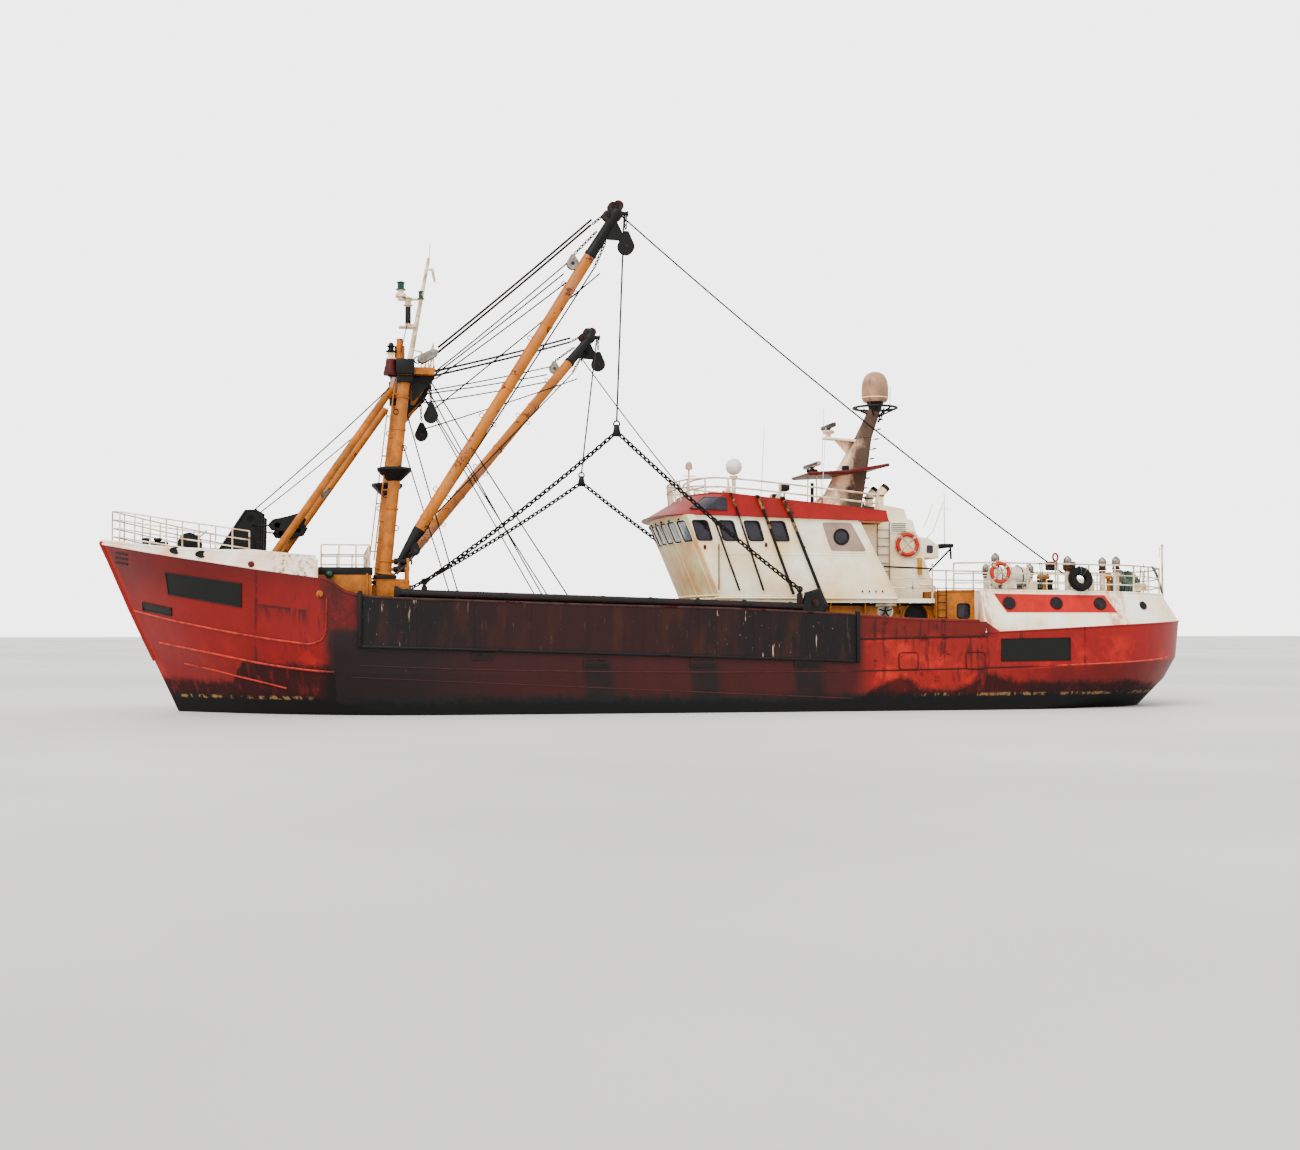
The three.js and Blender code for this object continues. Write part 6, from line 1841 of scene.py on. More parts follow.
def recess_panels():
    """Flat grey panel, its grey painted shade for a recess, with a raised rim round the porthole, each side.
    """
    # The panel is flat; its grey is painted shade standing for a recess in the wall
    grey = weathered("panel grey painted shade", tone(196, 182, 170), tone(178, 164, 152), rust=.08, runs=.15, grime=.35,
        gloss=.4)
    form = Form()
    x, z, r = PORTHOLE
    corners = [(3.9, 4.53), (4.97, 4.53), (4.5, 5.36), (3.62, 5.36)]
    grown = [(3.86, 4.49), (5.02, 4.49), (4.53, 5.39), (3.58, 5.39)]
    for s in (-1, 1):
        wall = on_wall(s)
        inner, outer = rounded(corners, .1), rounded(grown, .12)
        flat_ring(form, wall, outer, inner, -.004, .022, 0)
        hole = [(x + (r + .01) * math.cos(a), z + (r + .01) * math.sin(a))
            for a in (2 * math.pi * (k + .5) / len(inner) - 2.35 for k in range(len(inner)))]
        flat_ring(form, wall, inner, hole, -.002, .006, 1)
        form.ring((x, s * (SIDE_OUT + .012), z), "y", r + .012, 36, .03, 10, 2)
        form.turned((x, s * (SIDE_OUT - .03), z), (x, s * (SIDE_OUT + .004), z),
            [(.001, 0), (r, 0), (r, .03), (.001, .034)], 32, 3)
        for a in angles(8):
            form.block((x + (r + .015) * math.cos(a), s * (SIDE_OUT + .038), z + (r + .015) * math.sin(a)),
                (.026, .02, .026), 2, .006)
    deep = window_glass()
    deep.name = "porthole glass"
    form.piece("recess_panels", [WHITE, grey, BLACK, deep])


def wall_seams():
    """Welded seams, scuppers and grab rails on the wheelhouse walls."""
    form = Form()
    for s in (-1, 1):
        wall = on_wall(s)
        for z in (3.24, 4.42):
            form.tube([wall(x, z, .002) for x in span(.66, 5.0, 12)], .011, 5)
        form.tube([wall(5.88, 3.2, .0), wall(4.76, 5.37, .0)], .028, 8)
        form.tube([wall(.5, 3.19, .0), wall(5.88, 3.19, .0)], .03, 8)
        form.tube([wall(.59, 4.71, .09), wall(.59, 3.41, .09)], .018, 8, 2)
        for z in (4.6, 3.5):
            form.tube([wall(.59, z, .09), wall(.59, z, -.01)], .014, 6, 2)
        for x, z in ((1.98, 4.7), (3.1, 4.62), (.2, 4.62)):
            form.block(wall(x, z, .02), (.07, .05, .12), 2, .015)
        for x in span(4.9, 5.5, 4):
            form.tube([wall(x - .06, 3.42, .012), wall(x - .06, 3.36, .012)], .02, 6, 2)
    for y in span(-2.4, 2.4, 5):
        form.tube([on_front(y, z, .003) for z in span(3.2, 4.78, 8)], .009, 5)
    form.tube([on_front(y, 3.26, .01) for y in span(-2.68, 2.68, 20)], .02, 6)
    form.piece("wheelhouse_seams", [WHITE, PALE_TUBE, STEEL])


GUARDS = [((.45, 5.40), (1.2, 3.4), .028, .1), ((.95, 6.13), (1.9, 3.4), .03, .13),
          ((1.73, 6.07), (2.78, 3.3), .042, .13), ((2.47, 6.03), (3.66, 3.17), .048, .13)]


def guard_bars():
    """Slanting rubbing bars that keep gear off the port and starboard windows."""
    form = Form()
    for s in (-1, 1):
        for (x0, z0), (x1, z1), radius, out in GUARDS:
            foot, head = Vector((x1, s * (SIDE_OUT + .05), z1)), Vector((x0, s * (SIDE_OUT + out), z0))
            form.tube([head.lerp(foot, t) for t in span(0, 1, 14)], radius, 8, 0 if radius > .04 else 1)
            for t in (.02, .5, .97):
                spot = head.lerp(foot, t)
                form.tube([spot, Vector((spot.x, s * (SIDE_OUT - .01), spot.z))], .016, 6, 1)
            if z0 > 6:
                form.tube([head, head + Vector((.02, -s * .34, .03))], radius, 8)
                form.tube([head.lerp(foot, .02), head.lerp(foot, .13)], radius * 1.12, 8, 2)
                form.tube([head.lerp(foot, .24), head.lerp(foot, .33)], radius * 1.1, 8, 2)
    rusty = weathered("guard bar", tone(96, 48, 30), tone(60, 40, 34), rust=.6, runs=.4, grime=.5, scale=5,
        fresh=.3)
    worn = weathered("worn sleeve", tone(196, 172, 128), tone(120, 84, 54), rust=.5, runs=.4, grime=.5,
        scale=5)
    form.piece("guard_bars", [BLACK, rusty, worn])


ROOF_FRONT = [(0, -.98, 0, .07, 0, 6.19), (1, -.96, .5, .09, .45, 6.19), (2, -.8, 1.5, .23, 1.35, 6.18),
              (3, -.42, 2.45, .48, 2.25, 6.16), (4, 0, 2.82, .76, 2.74, 6.14)]
ROOF_AFT = (5.62, 2.82, 5.58, 2.74, 5.68)
roof_curves = [through([(row[0], row[k]) for row in ROOF_FRONT]) for k in range(1, 6)]


def roof_edge(t):
    """Lower and upper edge of the visor; t runs 0 at the centreline, 4 at the corner, 5 aft."""
    if t <= 4:
        values = [curve(t) for curve in roof_curves]
    else:
        values = [a + (b - a) * (t - 4) for a, b in zip(ROOF_FRONT[4][1:], ROOF_AFT)]
    x, half, top_x, top_half, top_z = values
    return Vector((x, half, under_roof(x) + FACE_GAP)), Vector((top_x, top_half, top_z))


def on_visor(t, rise, proud=0.0):
    """Starboard-side point of the visor; rise runs 0 at its lower edge, 1 at its upper."""
    foot, head = roof_edge(t)
    ahead = roof_edge(min(t + .02, 5))[0] - roof_edge(max(t - .02, 0))[0]
    out = ahead.cross(head - foot).normalized()
    return foot.lerp(head, rise) + out * (proud if out.z > 0 or out.y > 0 else -proud)


def on_roof(x):
    return through([(.07, 6.19), (.48, 6.16), (.76, 6.14), (5.58, 5.68)])(x)


def wheelhouse_roof():
    form = Form()
    ring = []
    places = [.04] + span(.25, 4, 24) + span(4.05, 5, 16)
    for t in places:
        foot, head = roof_edge(t)
        inward = Vector((.05 if t < 4 else 0, -.05, 0))
        lip = above(.045)
        ring.append([foot] + between(foot, head, 5)[1:] + [head + lip, head + lip + inward, head + inward])
    other = mirror_rows(ring)
    loop = ring[::-1] + other
    form.grid(loop, 0)
    tops = [(a[-1], b[-1]) for a, b in zip(ring, other)]
    form.grid([[a.lerp(b, k / 12) + above(.05 * (1 - (2 * k / 12 - 1) ** 2) * min(1, abs(a.y)))
        for k in range(13)] for a, b in tops], 1)
    form.grid([[a[0].lerp(b[0], k / 4) for k in range(5)] for a, b in zip(ring, other)], 2)
    form.add(ring[-1] + other[-1][::-1], [tuple(range(2 * len(ring[-1])))], 0)
    rim = [roof_edge(t)[0] for t in places[::-1]]
    rim += sided(rim[::-1], -1)
    form.tube([p + above(.012) for p in rim], .022, 8)
    for s in (-1, 1):
        pane = []
        for low, high in zip((3.1, 3.3, 3.5, 3.7, 3.85, 4.0, 4.117), (3.0, 3.2, 3.4, 3.6, 3.8, 4.0, 4.04)):
            pane.append([on_visor(low + (high - low) * w, .26 + .54 * w, .03) for w in span(0, 1, 5)])
        pane = [sided(row, s) for row in pane]
        form.grid(pane, 3)
        edge = [row[0] for row in pane] + pane[-1][1:4] + [row[-1] for row in pane[::-1]] + pane[0][3:0:-1]
        form.tube(edge, .014, 6, 3, closed=True)
    # The visor's underside is tinted warm cream as painted shade
    soffit_painted_shade = weathered("soffit_painted_shade", tone(226, 196, 160), tone(206, 170, 130), rust=.2, runs=.0, grime=.3,
        fresh=.6)
    top = weathered("roof top", tone(222, 210, 196), tone(200, 186, 170), rust=.22, runs=.0, grime=.5,
        fresh=.5)
    form.piece("wheelhouse_roof_shell", [RED_TRIM, top, soffit_painted_shade, GLASS],
        replaces=["wheelhouse_roof"])


ROOF_RAIL_FEET = [(5.45, 2.3), (4.2, 2.3), (2.5, 2.3), (1.0, 2.25), (.45, 1.7)]


def roof_rail():
    form = Form()
    feet = [Vector((x, -y, on_roof(x))) for x, y in ROOF_RAIL_FEET] + [Vector((.3, 0, on_roof(.3)))]
    feet += [Vector((x, y, on_roof(x))) for x, y in ROOF_RAIL_FEET[::-1]]
    height = .52
    for foot in feet:
        form.tube([foot, foot + above(height)], .026, 10)
        if abs(foot.y) > 2 and foot.x < 5.4:
            s = 1 if foot.y > 0 else -1
            form.plate([(foot.x - .17, foot.z - .02), (foot.x + .17, foot.z - .02),
                (foot.x + .03, foot.z + .26), (foot.x - .03, foot.z + .26)], foot.y, .012, 0, .004)
            form.tube([foot + above(height - .03), Vector((foot.x + .22, foot.y - s * .5,
                on_roof(foot.x + .22)))], .016, 8)
    curve = []
    for low, high in zip(feet, feet[1:]):
        curve += between(low, high, 8)[0 if not curve else 1:]
    eased = [curve[0]] + [(curve[max(i - 4, 0)] + curve[i] * 2 + curve[min(i + 4, len(curve) - 1)]) / 4
        for i in range(1, len(curve) - 1)] + [curve[-1]]
    for part in (.5, 1):
        form.tube([p + above(height * part) for p in eased], .028, 10)
    for s in (-1, 1):
        end = Vector((5.45, s * 2.3, on_roof(5.45)))
        form.tube([end + above(height), end + Vector((.12, 0, height * .7)), end + Vector((.16, 0, .02))],
            .021, 8)
    # Low rail over the visor ahead of it
    bow_posts = [on_visor(t, .78) for t in (.25, .9, 1.5, 2.1)]
    bow_posts = sided(bow_posts[::-1], -1) + bow_posts
    for p in bow_posts:
        form.tube([p, Vector((p.x - .05, p.y, 6.64))], .022, 8)
        form.tube([Vector((p.x - .04, p.y, 6.5)), Vector((p.x + .42, p.y * .94, on_roof(.3)))], .014, 6)
    for z in (6.42, 6.64):
        form.tube([Vector((.45, -1.7, z + .03))] + [Vector((p.x - .05, p.y, z))
            for p in bow_posts] + [Vector((.45, 1.7, z + .03))], .022, 8)
    form.piece("roof_rail_tubes", PALE_TUBE, replaces=["roof_rail"])


def roof_gear():
    """Dome on its post, lamps, horn, aerials and boxes on the wheelhouse top."""
    dome_white = weathered("dome white", tone(232, 232, 230), tone(214, 208, 200), rust=.03, runs=.1,
        grime=.25, gloss=.3)
    form = Form()
    z = on_roof(1.5)
    form.turned((1.5, -.9, z), (1.5, -.9, 7.4), [(.09, 0), (.09, .02), (.062, .03), (.062, .62), (.1, .66),
        (.13, .74)], 20)
    profile = [(.24 * math.cos(a), .24 + .24 * math.sin(a) * (1.06 if a > 0 else 1))
        for a in span(-math.pi / 2 + .05, math.pi / 2 - .02, 22)]
    form.turned((1.5, -.9, 6.84), (1.5, -.9, 7.6), profile, 32)
    form.turned((1.5, -.9, 7.05), (1.5, -.9, 7.6), [(.235, 0), (.246, .005), (.246, .02), (.235, .025)], 32)
    form.piece("dome_on_post", dome_white, replaces=["small_dome"])
    form = Form()
    z = on_roof(.5)
    form.tube([(.22, -.55, z - .02), (.22, -.55, 7.1)], .03, 10)
    form.turned((.22, -.55, 7.0), (.22, -.55, 7.4), [(.001, 0), (.09, .01), (.11, .08), (.09, .2),
        (.03, .25), (.001, .26)], 18)
    form.tube([(.05, -.55, 6.82), (.45, -.55, 6.82)], .014, 6)
    for x, y in ((2.9, -1.4), (3.4, 1.5)):
        form.tube([(x, y, on_roof(x)), (x, y, on_roof(x) + .42)], .03, 8)
        form.block((x, y, on_roof(x) + .5), (.26, .34, .2), 1, .04)
        form.block((x - .135, y, on_roof(x) + .5), (.012, .28, .15), 3, .01)
    for x, y, top in ((3.05, 1.9, 8.6), (3.9, -1.9, 8.2), (4.9, 1.6, 9.2)):
        form.tube([(x, y, on_roof(x)), (x, y, on_roof(x) + .3)], .02, 8, 2)
        form.tube([(x, y, on_roof(x) + .3), (x + .12, y, top)], .009, 6)
    form.block((5.35, -.5, on_roof(5.35) + .14), (.34, .5, .24), 2, .03)
    form.slab([(5.2, on_roof(5.2) - .01), (5.52, on_roof(5.52) - .01), (5.62, on_roof(5.52) + .22),
        (5.3, on_roof(5.3) + .24)], "xz", -1.55, -1.5, 2, .01)
    form.tube([(1.9, .3, on_roof(1.9)), (1.9, .3, on_roof(1.9) + .3)], .03, 8)
    form.turned((2.0, .3, on_roof(1.9) + .32), (1.45, .3, on_roof(1.9) + .36),
        [(.02, 0), (.035, .05), (.045, .3), (.075, .48), (.1, .55), (.085, .55), (.03, .4)], 18)
    for x in (1.1, 2.7):
        form.block((x, 1.2, on_roof(x) + .06), (.5, .35, .14), 0, .03)
    form.piece("roof_gear", [PALE_TUBE, BLACK, STEEL, CLEAR_LAMP])


# Radar mast

MAST_SECTIONS = [(on_roof(4.3) + FACE_GAP, on_roof(5.56) + FACE_GAP, 4.3, 5.56, .42),
    (7.06, 7.1, 4.93, 5.84, .33), (8.1, 8.12, 5.52, 6.01, .24), (9.0, 9.0, 5.96, 6.33, .17)]
RADOME_AXIS = (6.16, 0)
SCANNERS = {"upper": (4.68, 8.33, .62), "lower": (4.16, 7.14, .78)}


def mast_row(z0, z1, x0, x1, half):
    outline = rounded([(x0, -half), (x1, -half), (x1, half), (x0, half)], .16, 5)
    return [Vector((u, v, z0 + (z1 - z0) * (u - x0) / (x1 - x0))) for u, v in outline]


def mast_paint():
    """White duct, black with soot down its after side."""
    material, tree, shader = new_finish("sooty mast paint")
    where = own_place(tree)
    x, _, z = axes_of(tree, where)
    clouds = noise(tree, 1.7, 7, .65, where, stretch=(1, 1, .5))
    edge = plus(tree, minus(tree, x, times(tree, z, .5)), times(tree, minus(tree, clouds, .5), 1.6))
    soot = step(tree, plus(tree, edge, times(tree, minus(tree, z, 7), .28)), 1.45, 1.9)
    speckle = effect(tree, "patches", Scale=2.4, Cover=.42, Edge=.12)
    paint = blend_colour(tree, speckle, tone(226, 208, 194), tone(190, 160, 150))
    paint = blend_colour(tree, times(tree, soot, .93), paint, tone(70, 56, 52))
    rusty = effect(tree, "patches", Scale=2.0, Cover=.24, Edge=.05)
    paint = blend_colour(tree, rusty, paint, effect(tree, "rust", Fresh=.5))
    plug(shader, "Base Color", paint)
    plug(shader, "Roughness", maths(tree, "MULTIPLY_ADD", soot, .35))
    brushed(tree, shader, .3, .015, .3, .6)
    return material


MAST = mast_paint()


def radar_mast():
    """Leaning duct, dark-edged wing, scanner shelf, posts and the ring under the dome."""
    form = Form()
    rows = [mast_row(*MAST_SECTIONS[0])]
    for low, high in zip(MAST_SECTIONS, MAST_SECTIONS[1:]):
        for k in range(1, 7):
            rows.append(mast_row(*[a + (b - a) * k / 6 for a, b in zip(low, high)]))
    form.grid(rows, 0, closed=True, caps=True)
    for low in MAST_SECTIONS[1:3]:
        form.tube([p + above(.01) for p in mast_row(*low)], .016, 6, closed=True)
    wing = [(3.8, 6.9), (5, 6.93), (6.28, 7.19), (6.29, 7.27), (5, 7.06), (3.8, 6.96)]
    form.slab(wing, "xz", -.9, .9, 2, .012)
    crest = [(3.8, 6.93), (5, 7.0), (6.28, 7.235)]
    for y in (-.9, .9):
        form.tube([(x, y, z) for x, z in crest], .052, 8, 2)
    form.tube([(3.8, -.9, 6.93), (3.8, .9, 6.93)], .036, 8, 2)
    form.tube([(6.285, -.9, 7.235), (6.285, .9, 7.235)], .036, 8, 2)
    form.turned((4.16, 0, on_roof(4.1)), (4.16, 0, 6.96), [(.001, 0), (.13, 0), (.13, .03), (.055, .05),
        (.055, .9), (.001, .9)], 18, 3)
    for y in (-.5, .5):
        form.tube([(4.16, y, on_roof(4.16)), (4.16, y * .9, 6.92)], .02, 8)
    for s in (-1, 1):
        form.plate([(4.3, on_roof(4.3) - .01), (3.9, on_roof(3.9) - .01), (4.62, on_roof(4.3) + .62)],
            s * .3, .012, 0, .004)
        form.plate([(5.56, on_roof(5.5) - .01), (5.9, on_roof(5.5) - .03), (5.66, on_roof(5.5) + .5)],
            s * .3, .012, 0, .004)
    shelf = [(4.52, 8.06), (5.65, 7.98), (5.65, 8.05), (4.52, 8.13)]
    form.slab(shelf, "xz", -.16, .16, 1, .01)
    form.slab([(5.62, 7.98), (4.85, 8.04), (5.36, 7.5)], "xz", -.014, .014, 0, .004)
    for name, (x, head, _) in SCANNERS.items():
        foot = 8.08 if name == "upper" else 6.94
        form.turned((x, 0, foot), (x, 0, head), [(.001, 0), (.11, 0), (.11, .02), (.07, .04),
            (.07, head - foot - .12), (.15, head - foot - .1), (.18, head - foot - .06),
            (.18, head - foot - .03), (.15, head - foot), (.001, head - foot)], 26,
            3 if name == "lower" else 0)
    cx = RADOME_AXIS[0]
    for a in angles(6):
        tip = Vector((cx + .66 * math.cos(a), .66 * math.sin(a), 9.05))
        form.tube([(cx, 0, 8.74), tip], .026, 8, 3)
        form.tube([(cx + .1 * math.cos(a), .1 * math.sin(a), 8.6), tip.lerp(Vector((cx, 0, 9.03)), .45)],
            .018, 6, 3)
    form.ring((cx, 0, 9.05), "z", .66, 48, .038, 8, 3)
    form.turned((cx, 0, 8.95), (cx, 0, 9.23), [(.001, 0), (.22, 0), (.2, .06), (.22, .2), (.26, .25),
        (.26, .28), (.001, .28)], 30, 3)
    for a in angles(12):
        form.block((cx + .24 * math.cos(a), .24 * math.sin(a), 9.2), (.03, .03, .05), 2, .006)
    form.tube([(5.9, -.3, 9.05), (5.9, -.3, 9.9)], .01, 6)
    form.tube([(6.7, .2, 9.05), (6.72, .2, 9.75)], .01, 6)
    for z in span(6.3, 8.7, 9):
        t = (z - 6) / 3
        x = 5.6 + .72 * t
        form.tube([(x, -.13, z), (x + .11, -.13, z), (x + .11, .13, z), (x, .13, z)], .012, 6, 2)
    form.block((5.05, -.5, 7.14), (.2, .2, .16), 3, .03)
    form.piece("radar_mast_duct", [MAST, WHITE, weathered("dark red edge", tone(150, 40, 34),
        tone(120, 44, 38), rust=.3), BLACK], replaces=["radar_mast"])


def radome():
    grey = weathered("radome grey", tone(214, 194, 170), tone(188, 164, 140), rust=.04, runs=.38, grime=.4,
        gloss=.35)
    form = Form()
    cx, cy = RADOME_AXIS
    profile = [(.3, -.0097), (.34, -.0097), (.372, .03), (.392, .08), (.405, .16), (.41, .3), (.408, .42),
        (.398, .53), (.375, .64), (.34, .73), (.29, .81), (.22, .868), (.14, .905), (.06, .922),
        (.001, .925)]
    form.turned((cx, cy, 9.24), (cx, cy, 10.2), profile, 40)
    form.turned((cx, cy, 9.34), (cx, cy, 10.2), [(.39, 0), (.412, .006), (.412, .03), (.4, .036)], 40, 1)
    for a in angles(10):
        form.block((cx + .405 * math.cos(a), cy + .405 * math.sin(a), 9.357), (.024, .024, .03), 1, .006)
    form.piece("radome_shell", [grey, WHITE], replaces=["radome"])


def scanner(name):
    form = Form()
    x, head, half = SCANNERS[name]
    form.turned((x, 0, head + FACE_GAP), (x, 0, head + .1),
        [(.001, 0), (.06, 0), (.06, .05), (.09, .06), (.001, .06)], 20, 1)
    form.block((x, 0, head + .12), (.13, half * 2, .135), 0, .045)
    form.block((x - .066, 0, head + .12), (.012, half * 1.9, .075), 1, .01)
    form.block((x, 0, head + .06), (.12, .2, .05), 1, .012)
    form.piece(f"scanner_bar_{name}", [weathered(f"scanner {name}",
        *(tone(126, 104, 92), tone(92, 74, 66)) if name == "upper" else (tone(226, 214, 204),
        tone(196, 182, 172)), rust=.3, runs=.2), STEEL], body=f"radar_{name}",
        replaces=[f"scanner_{name}"])


wheelhouse_windows()
recess_panels()
wall_seams()
guard_bars()
wheelhouse_roof()
roof_rail()
roof_gear()
radar_mast()
radome()
for scanner_name in SCANNERS:
    scanner(scanner_name)


# Casing and the ladders, rails and lifebuoys round it

CASING_HALF = 1.8


def lifebuoy(name, centre, radius, thick, node_name):
    """Ring with four pale bands and a grab rope, on its bracket."""
    cloth = weathered("lifebuoy red", tone(206, 58, 24), tone(200, 76, 42), rust=.0, runs=.1, grime=.4,
        gloss=.5, scale=3)
    tape = weathered("lifebuoy tape", tone(232, 224, 214), tone(204, 196, 184), rust=.0, runs=.1, grime=.4,
        gloss=.4, scale=4)
    rope = rope_fibre("grab rope", tone(216, 204, 186), tone(166, 150, 130))
    form = Form()
    cx, cy, cz = centre
    sides, count = 14, 56
    rows = []
    for k in range(count + 1):
        a = 2 * math.pi * k / count
        out = Vector((math.cos(a), 0, math.sin(a)))
        rows.append([Vector(centre) + out * (radius + thick * math.cos(b)) + Vector((0, thick * math.sin(b),
            0)) for b in angles(sides)])
    for k in range(count):
        band = (k % 14) in (6, 7)
        form.grid([rows[k], rows[k + 1]], 1 if band else 0, closed=True)
    loops = []
    for k in range(65):
        a = 2 * math.pi * k / 64
        out = radius + thick + .012 + .035 * abs(math.sin(2 * a))
        loops.append((cx + out * math.cos(a), cy - thick * .2, cz + out * math.sin(a)))
    form.tube(loops[:-1], .011, 6, 2, closed=True)
    for turn in (.785, 2.356):
        u = Vector((math.cos(turn), 0, math.sin(turn))) * (radius + thick)
        form.tube([Vector(centre) - u + Vector((0, -thick - .01, 0)),
            Vector(centre) + u + Vector((0, -thick - .01, 0))], .018, 6, 2)
    form.piece(name, [cloth, tape, rope], replaces=[node_name])


def casing_fittings():
    """Steps, vents, lamps, the exhausts' dark mouths and the brackets on the casing."""
    form = Form()
    for y in (-.5, .5):
        form.turned((6.27, y, 6.53), (6.4, y, 6.68), [(.02, 0), (.14, 0), (.14, .09), (.12, .12),
            (.11, .12), (.1, .02)], 24, 1)
        for foot in ((6.12, y, 5.9), (6.12, y, 6.3)):
            form.turned(foot, (6.12, y, 6.4), disc(.15, .04, .12), 24, 1)
    for s in (-1, 1):
        y = s * (CASING_HALF + .06)
        ladder(form, (5.78, y, 3.5), (5.78, y, 5.46), .36, (1, 0, 0), 5, .26, .018)
        for z in (3.7, 4.5, 5.2):
            for dx in (-.18, .18):
                form.tube([(5.78 + dx, y, z), (5.78 + dx, s * (CASING_HALF - .01), z)], .012, 6)
        form.tube([(5.1, y, 5.2), (5.1, y, 4.9), (5.3, y, 4.9)], .02, 8)
        outline = rounded([(6.9, 3.6), (7.3, 3.6), (7.0, 4.4), (6.72, 4.4)], .08)
        form.tube([(u, s * (CASING_HALF + .008), v) for u, v in outline], .016, 6, closed=True)
        for z in (4.1, 4.9):
            form.tube([(4.98, s * (CASING_HALF + .004), z), (6.6, s * (CASING_HALF + .004), z)], .01, 6)
        form.block((6.25, s * (CASING_HALF + .02), 5.3), (.5, .05, .34), 0, .015)
        for k in range(5):
            form.block((6.25, s * (CASING_HALF + .05), 5.19 + .055 * k), (.44, .03, .018), 2, .005)
        form.tube([(7.02, s * 1.86, 5.3), (7.12, s * 1.9, 5.55), (7.3, s * 1.9, 6.0)], .016, 8)
        form.tube([(7.02, s * 1.86, 4.9), (7.3, s * 1.9, 5.2), (7.62, s * 1.9, 6.05)], .016, 8)
    form.block((7.15, 0, 4.55), (.5, 1.5, .05), 0, .01)
    box = rounded([(6.78, 4.45), (7.62, 4.4), (7.62, 4.78), (7.3, 5.02), (6.78, 5.05)], .05)
    form.slab(box, "xz", -1.5, -.4, 0, .015)
    form.slab(rounded([(7.24, 4.56), (7.44, 4.56), (7.44, 4.8), (7.24, 4.8)], .05), "xz", -1.515, -1.49, 3,
        .004)
    form.tube([(7.62, -1.2, 4.72), (8.1, -1.2, 4.78), (8.12, -1.2, 4.4)], .035, 8, 1)
    form.tube([(7.4, -1.2, 4.0), (8.1, -1.2, 4.7)], .03, 8, 1)
    form.block((7.95, -1.2, 4.8), (.42, .3, .12), 1, .03)
    form.tube([(7.9, -1.25, 4.85), (7.9, -1.25, 6.4)], .018, 8)
    form.tube([(7.75, -1.25, 5.9), (8.05, -1.25, 5.9)], .012, 6)
    form.block((6.88, -1.9, 4.16), (.13, .11, .5), 6, .05)
    worn = weathered("worn rungs", tone(196, 176, 164), tone(150, 124, 110), rust=.3, runs=.2, grime=.4,
        scale=3)
    bag = rubber("yellow bag", tone(206, 178, 62), tone(178, 140, 60))
    form.piece("casing_fittings", [WHITE, BLACK, STEEL, GLASS, YELLOW, worn, bag])


def boat_deck_rails():
    """Rails and the dark handrail on the boat deck abreast of the casing."""
    form = Form()
    for s in (-1, 1):
        y = s * 2.62
        z = BOAT_DECK_Z
        form.tube([(5.53, y, z + .95), (7.0, y, z + .9), (7.0, y, z)], .026, 10, 1)
        for h in (.34, .62):
            form.tube([(5.75, y, z + h), (7.0, y, z + h)], .017, 8)
        for x in (5.75, 6.4):
            form.tube([(x, y, z), (x, y, z + .93)], .02, 8)
        form.tube([(7.0, y, z + 1.05), (7.0, y, z)], .03, 8)
        form.tube([(7.0, y, z + .2), (7.18, y, z + .24)], .02, 8)
        for x in span(.35, 6.9, 12):
            form.block((x, s * 2.672, z - .05), (.03, .05, .14), 2, .005)
        form.slab([(.2, z - .1), (7.04, z - .1), (7.04, z + .025), (.2, z + .025)], "xz", s * 2.69,
            s * 2.712, 2, .005)
    form.tube([(.19, -2.7, z + .0), (.19, 2.7, z + .0)], .03, 8, 2)
    form.piece("boat_deck_rails", [PALE_TUBE, BLACK, WHITE])


lifebuoy("lifebuoy_on_casing", (6.52, -1.86, 4.79), .3, .06, "lifebuoy_casing")
casing_fittings()
boat_deck_rails()


# Deckhouses

ARCH_X, ARCH_HALF, ARCH_SILL, ARCH_SPRING = 6.55, .34, 1.28, 2.67


def arch_path(grow, steps=20):
    half = ARCH_HALF + grow
    path = [(ARCH_X - half, ARCH_SILL)]
    path += [(ARCH_X - half * math.cos(a), ARCH_SPRING + half * math.sin(a))
        for a in span(0, math.pi, steps)]
    return path + [(ARCH_X + half, ARCH_SILL)]


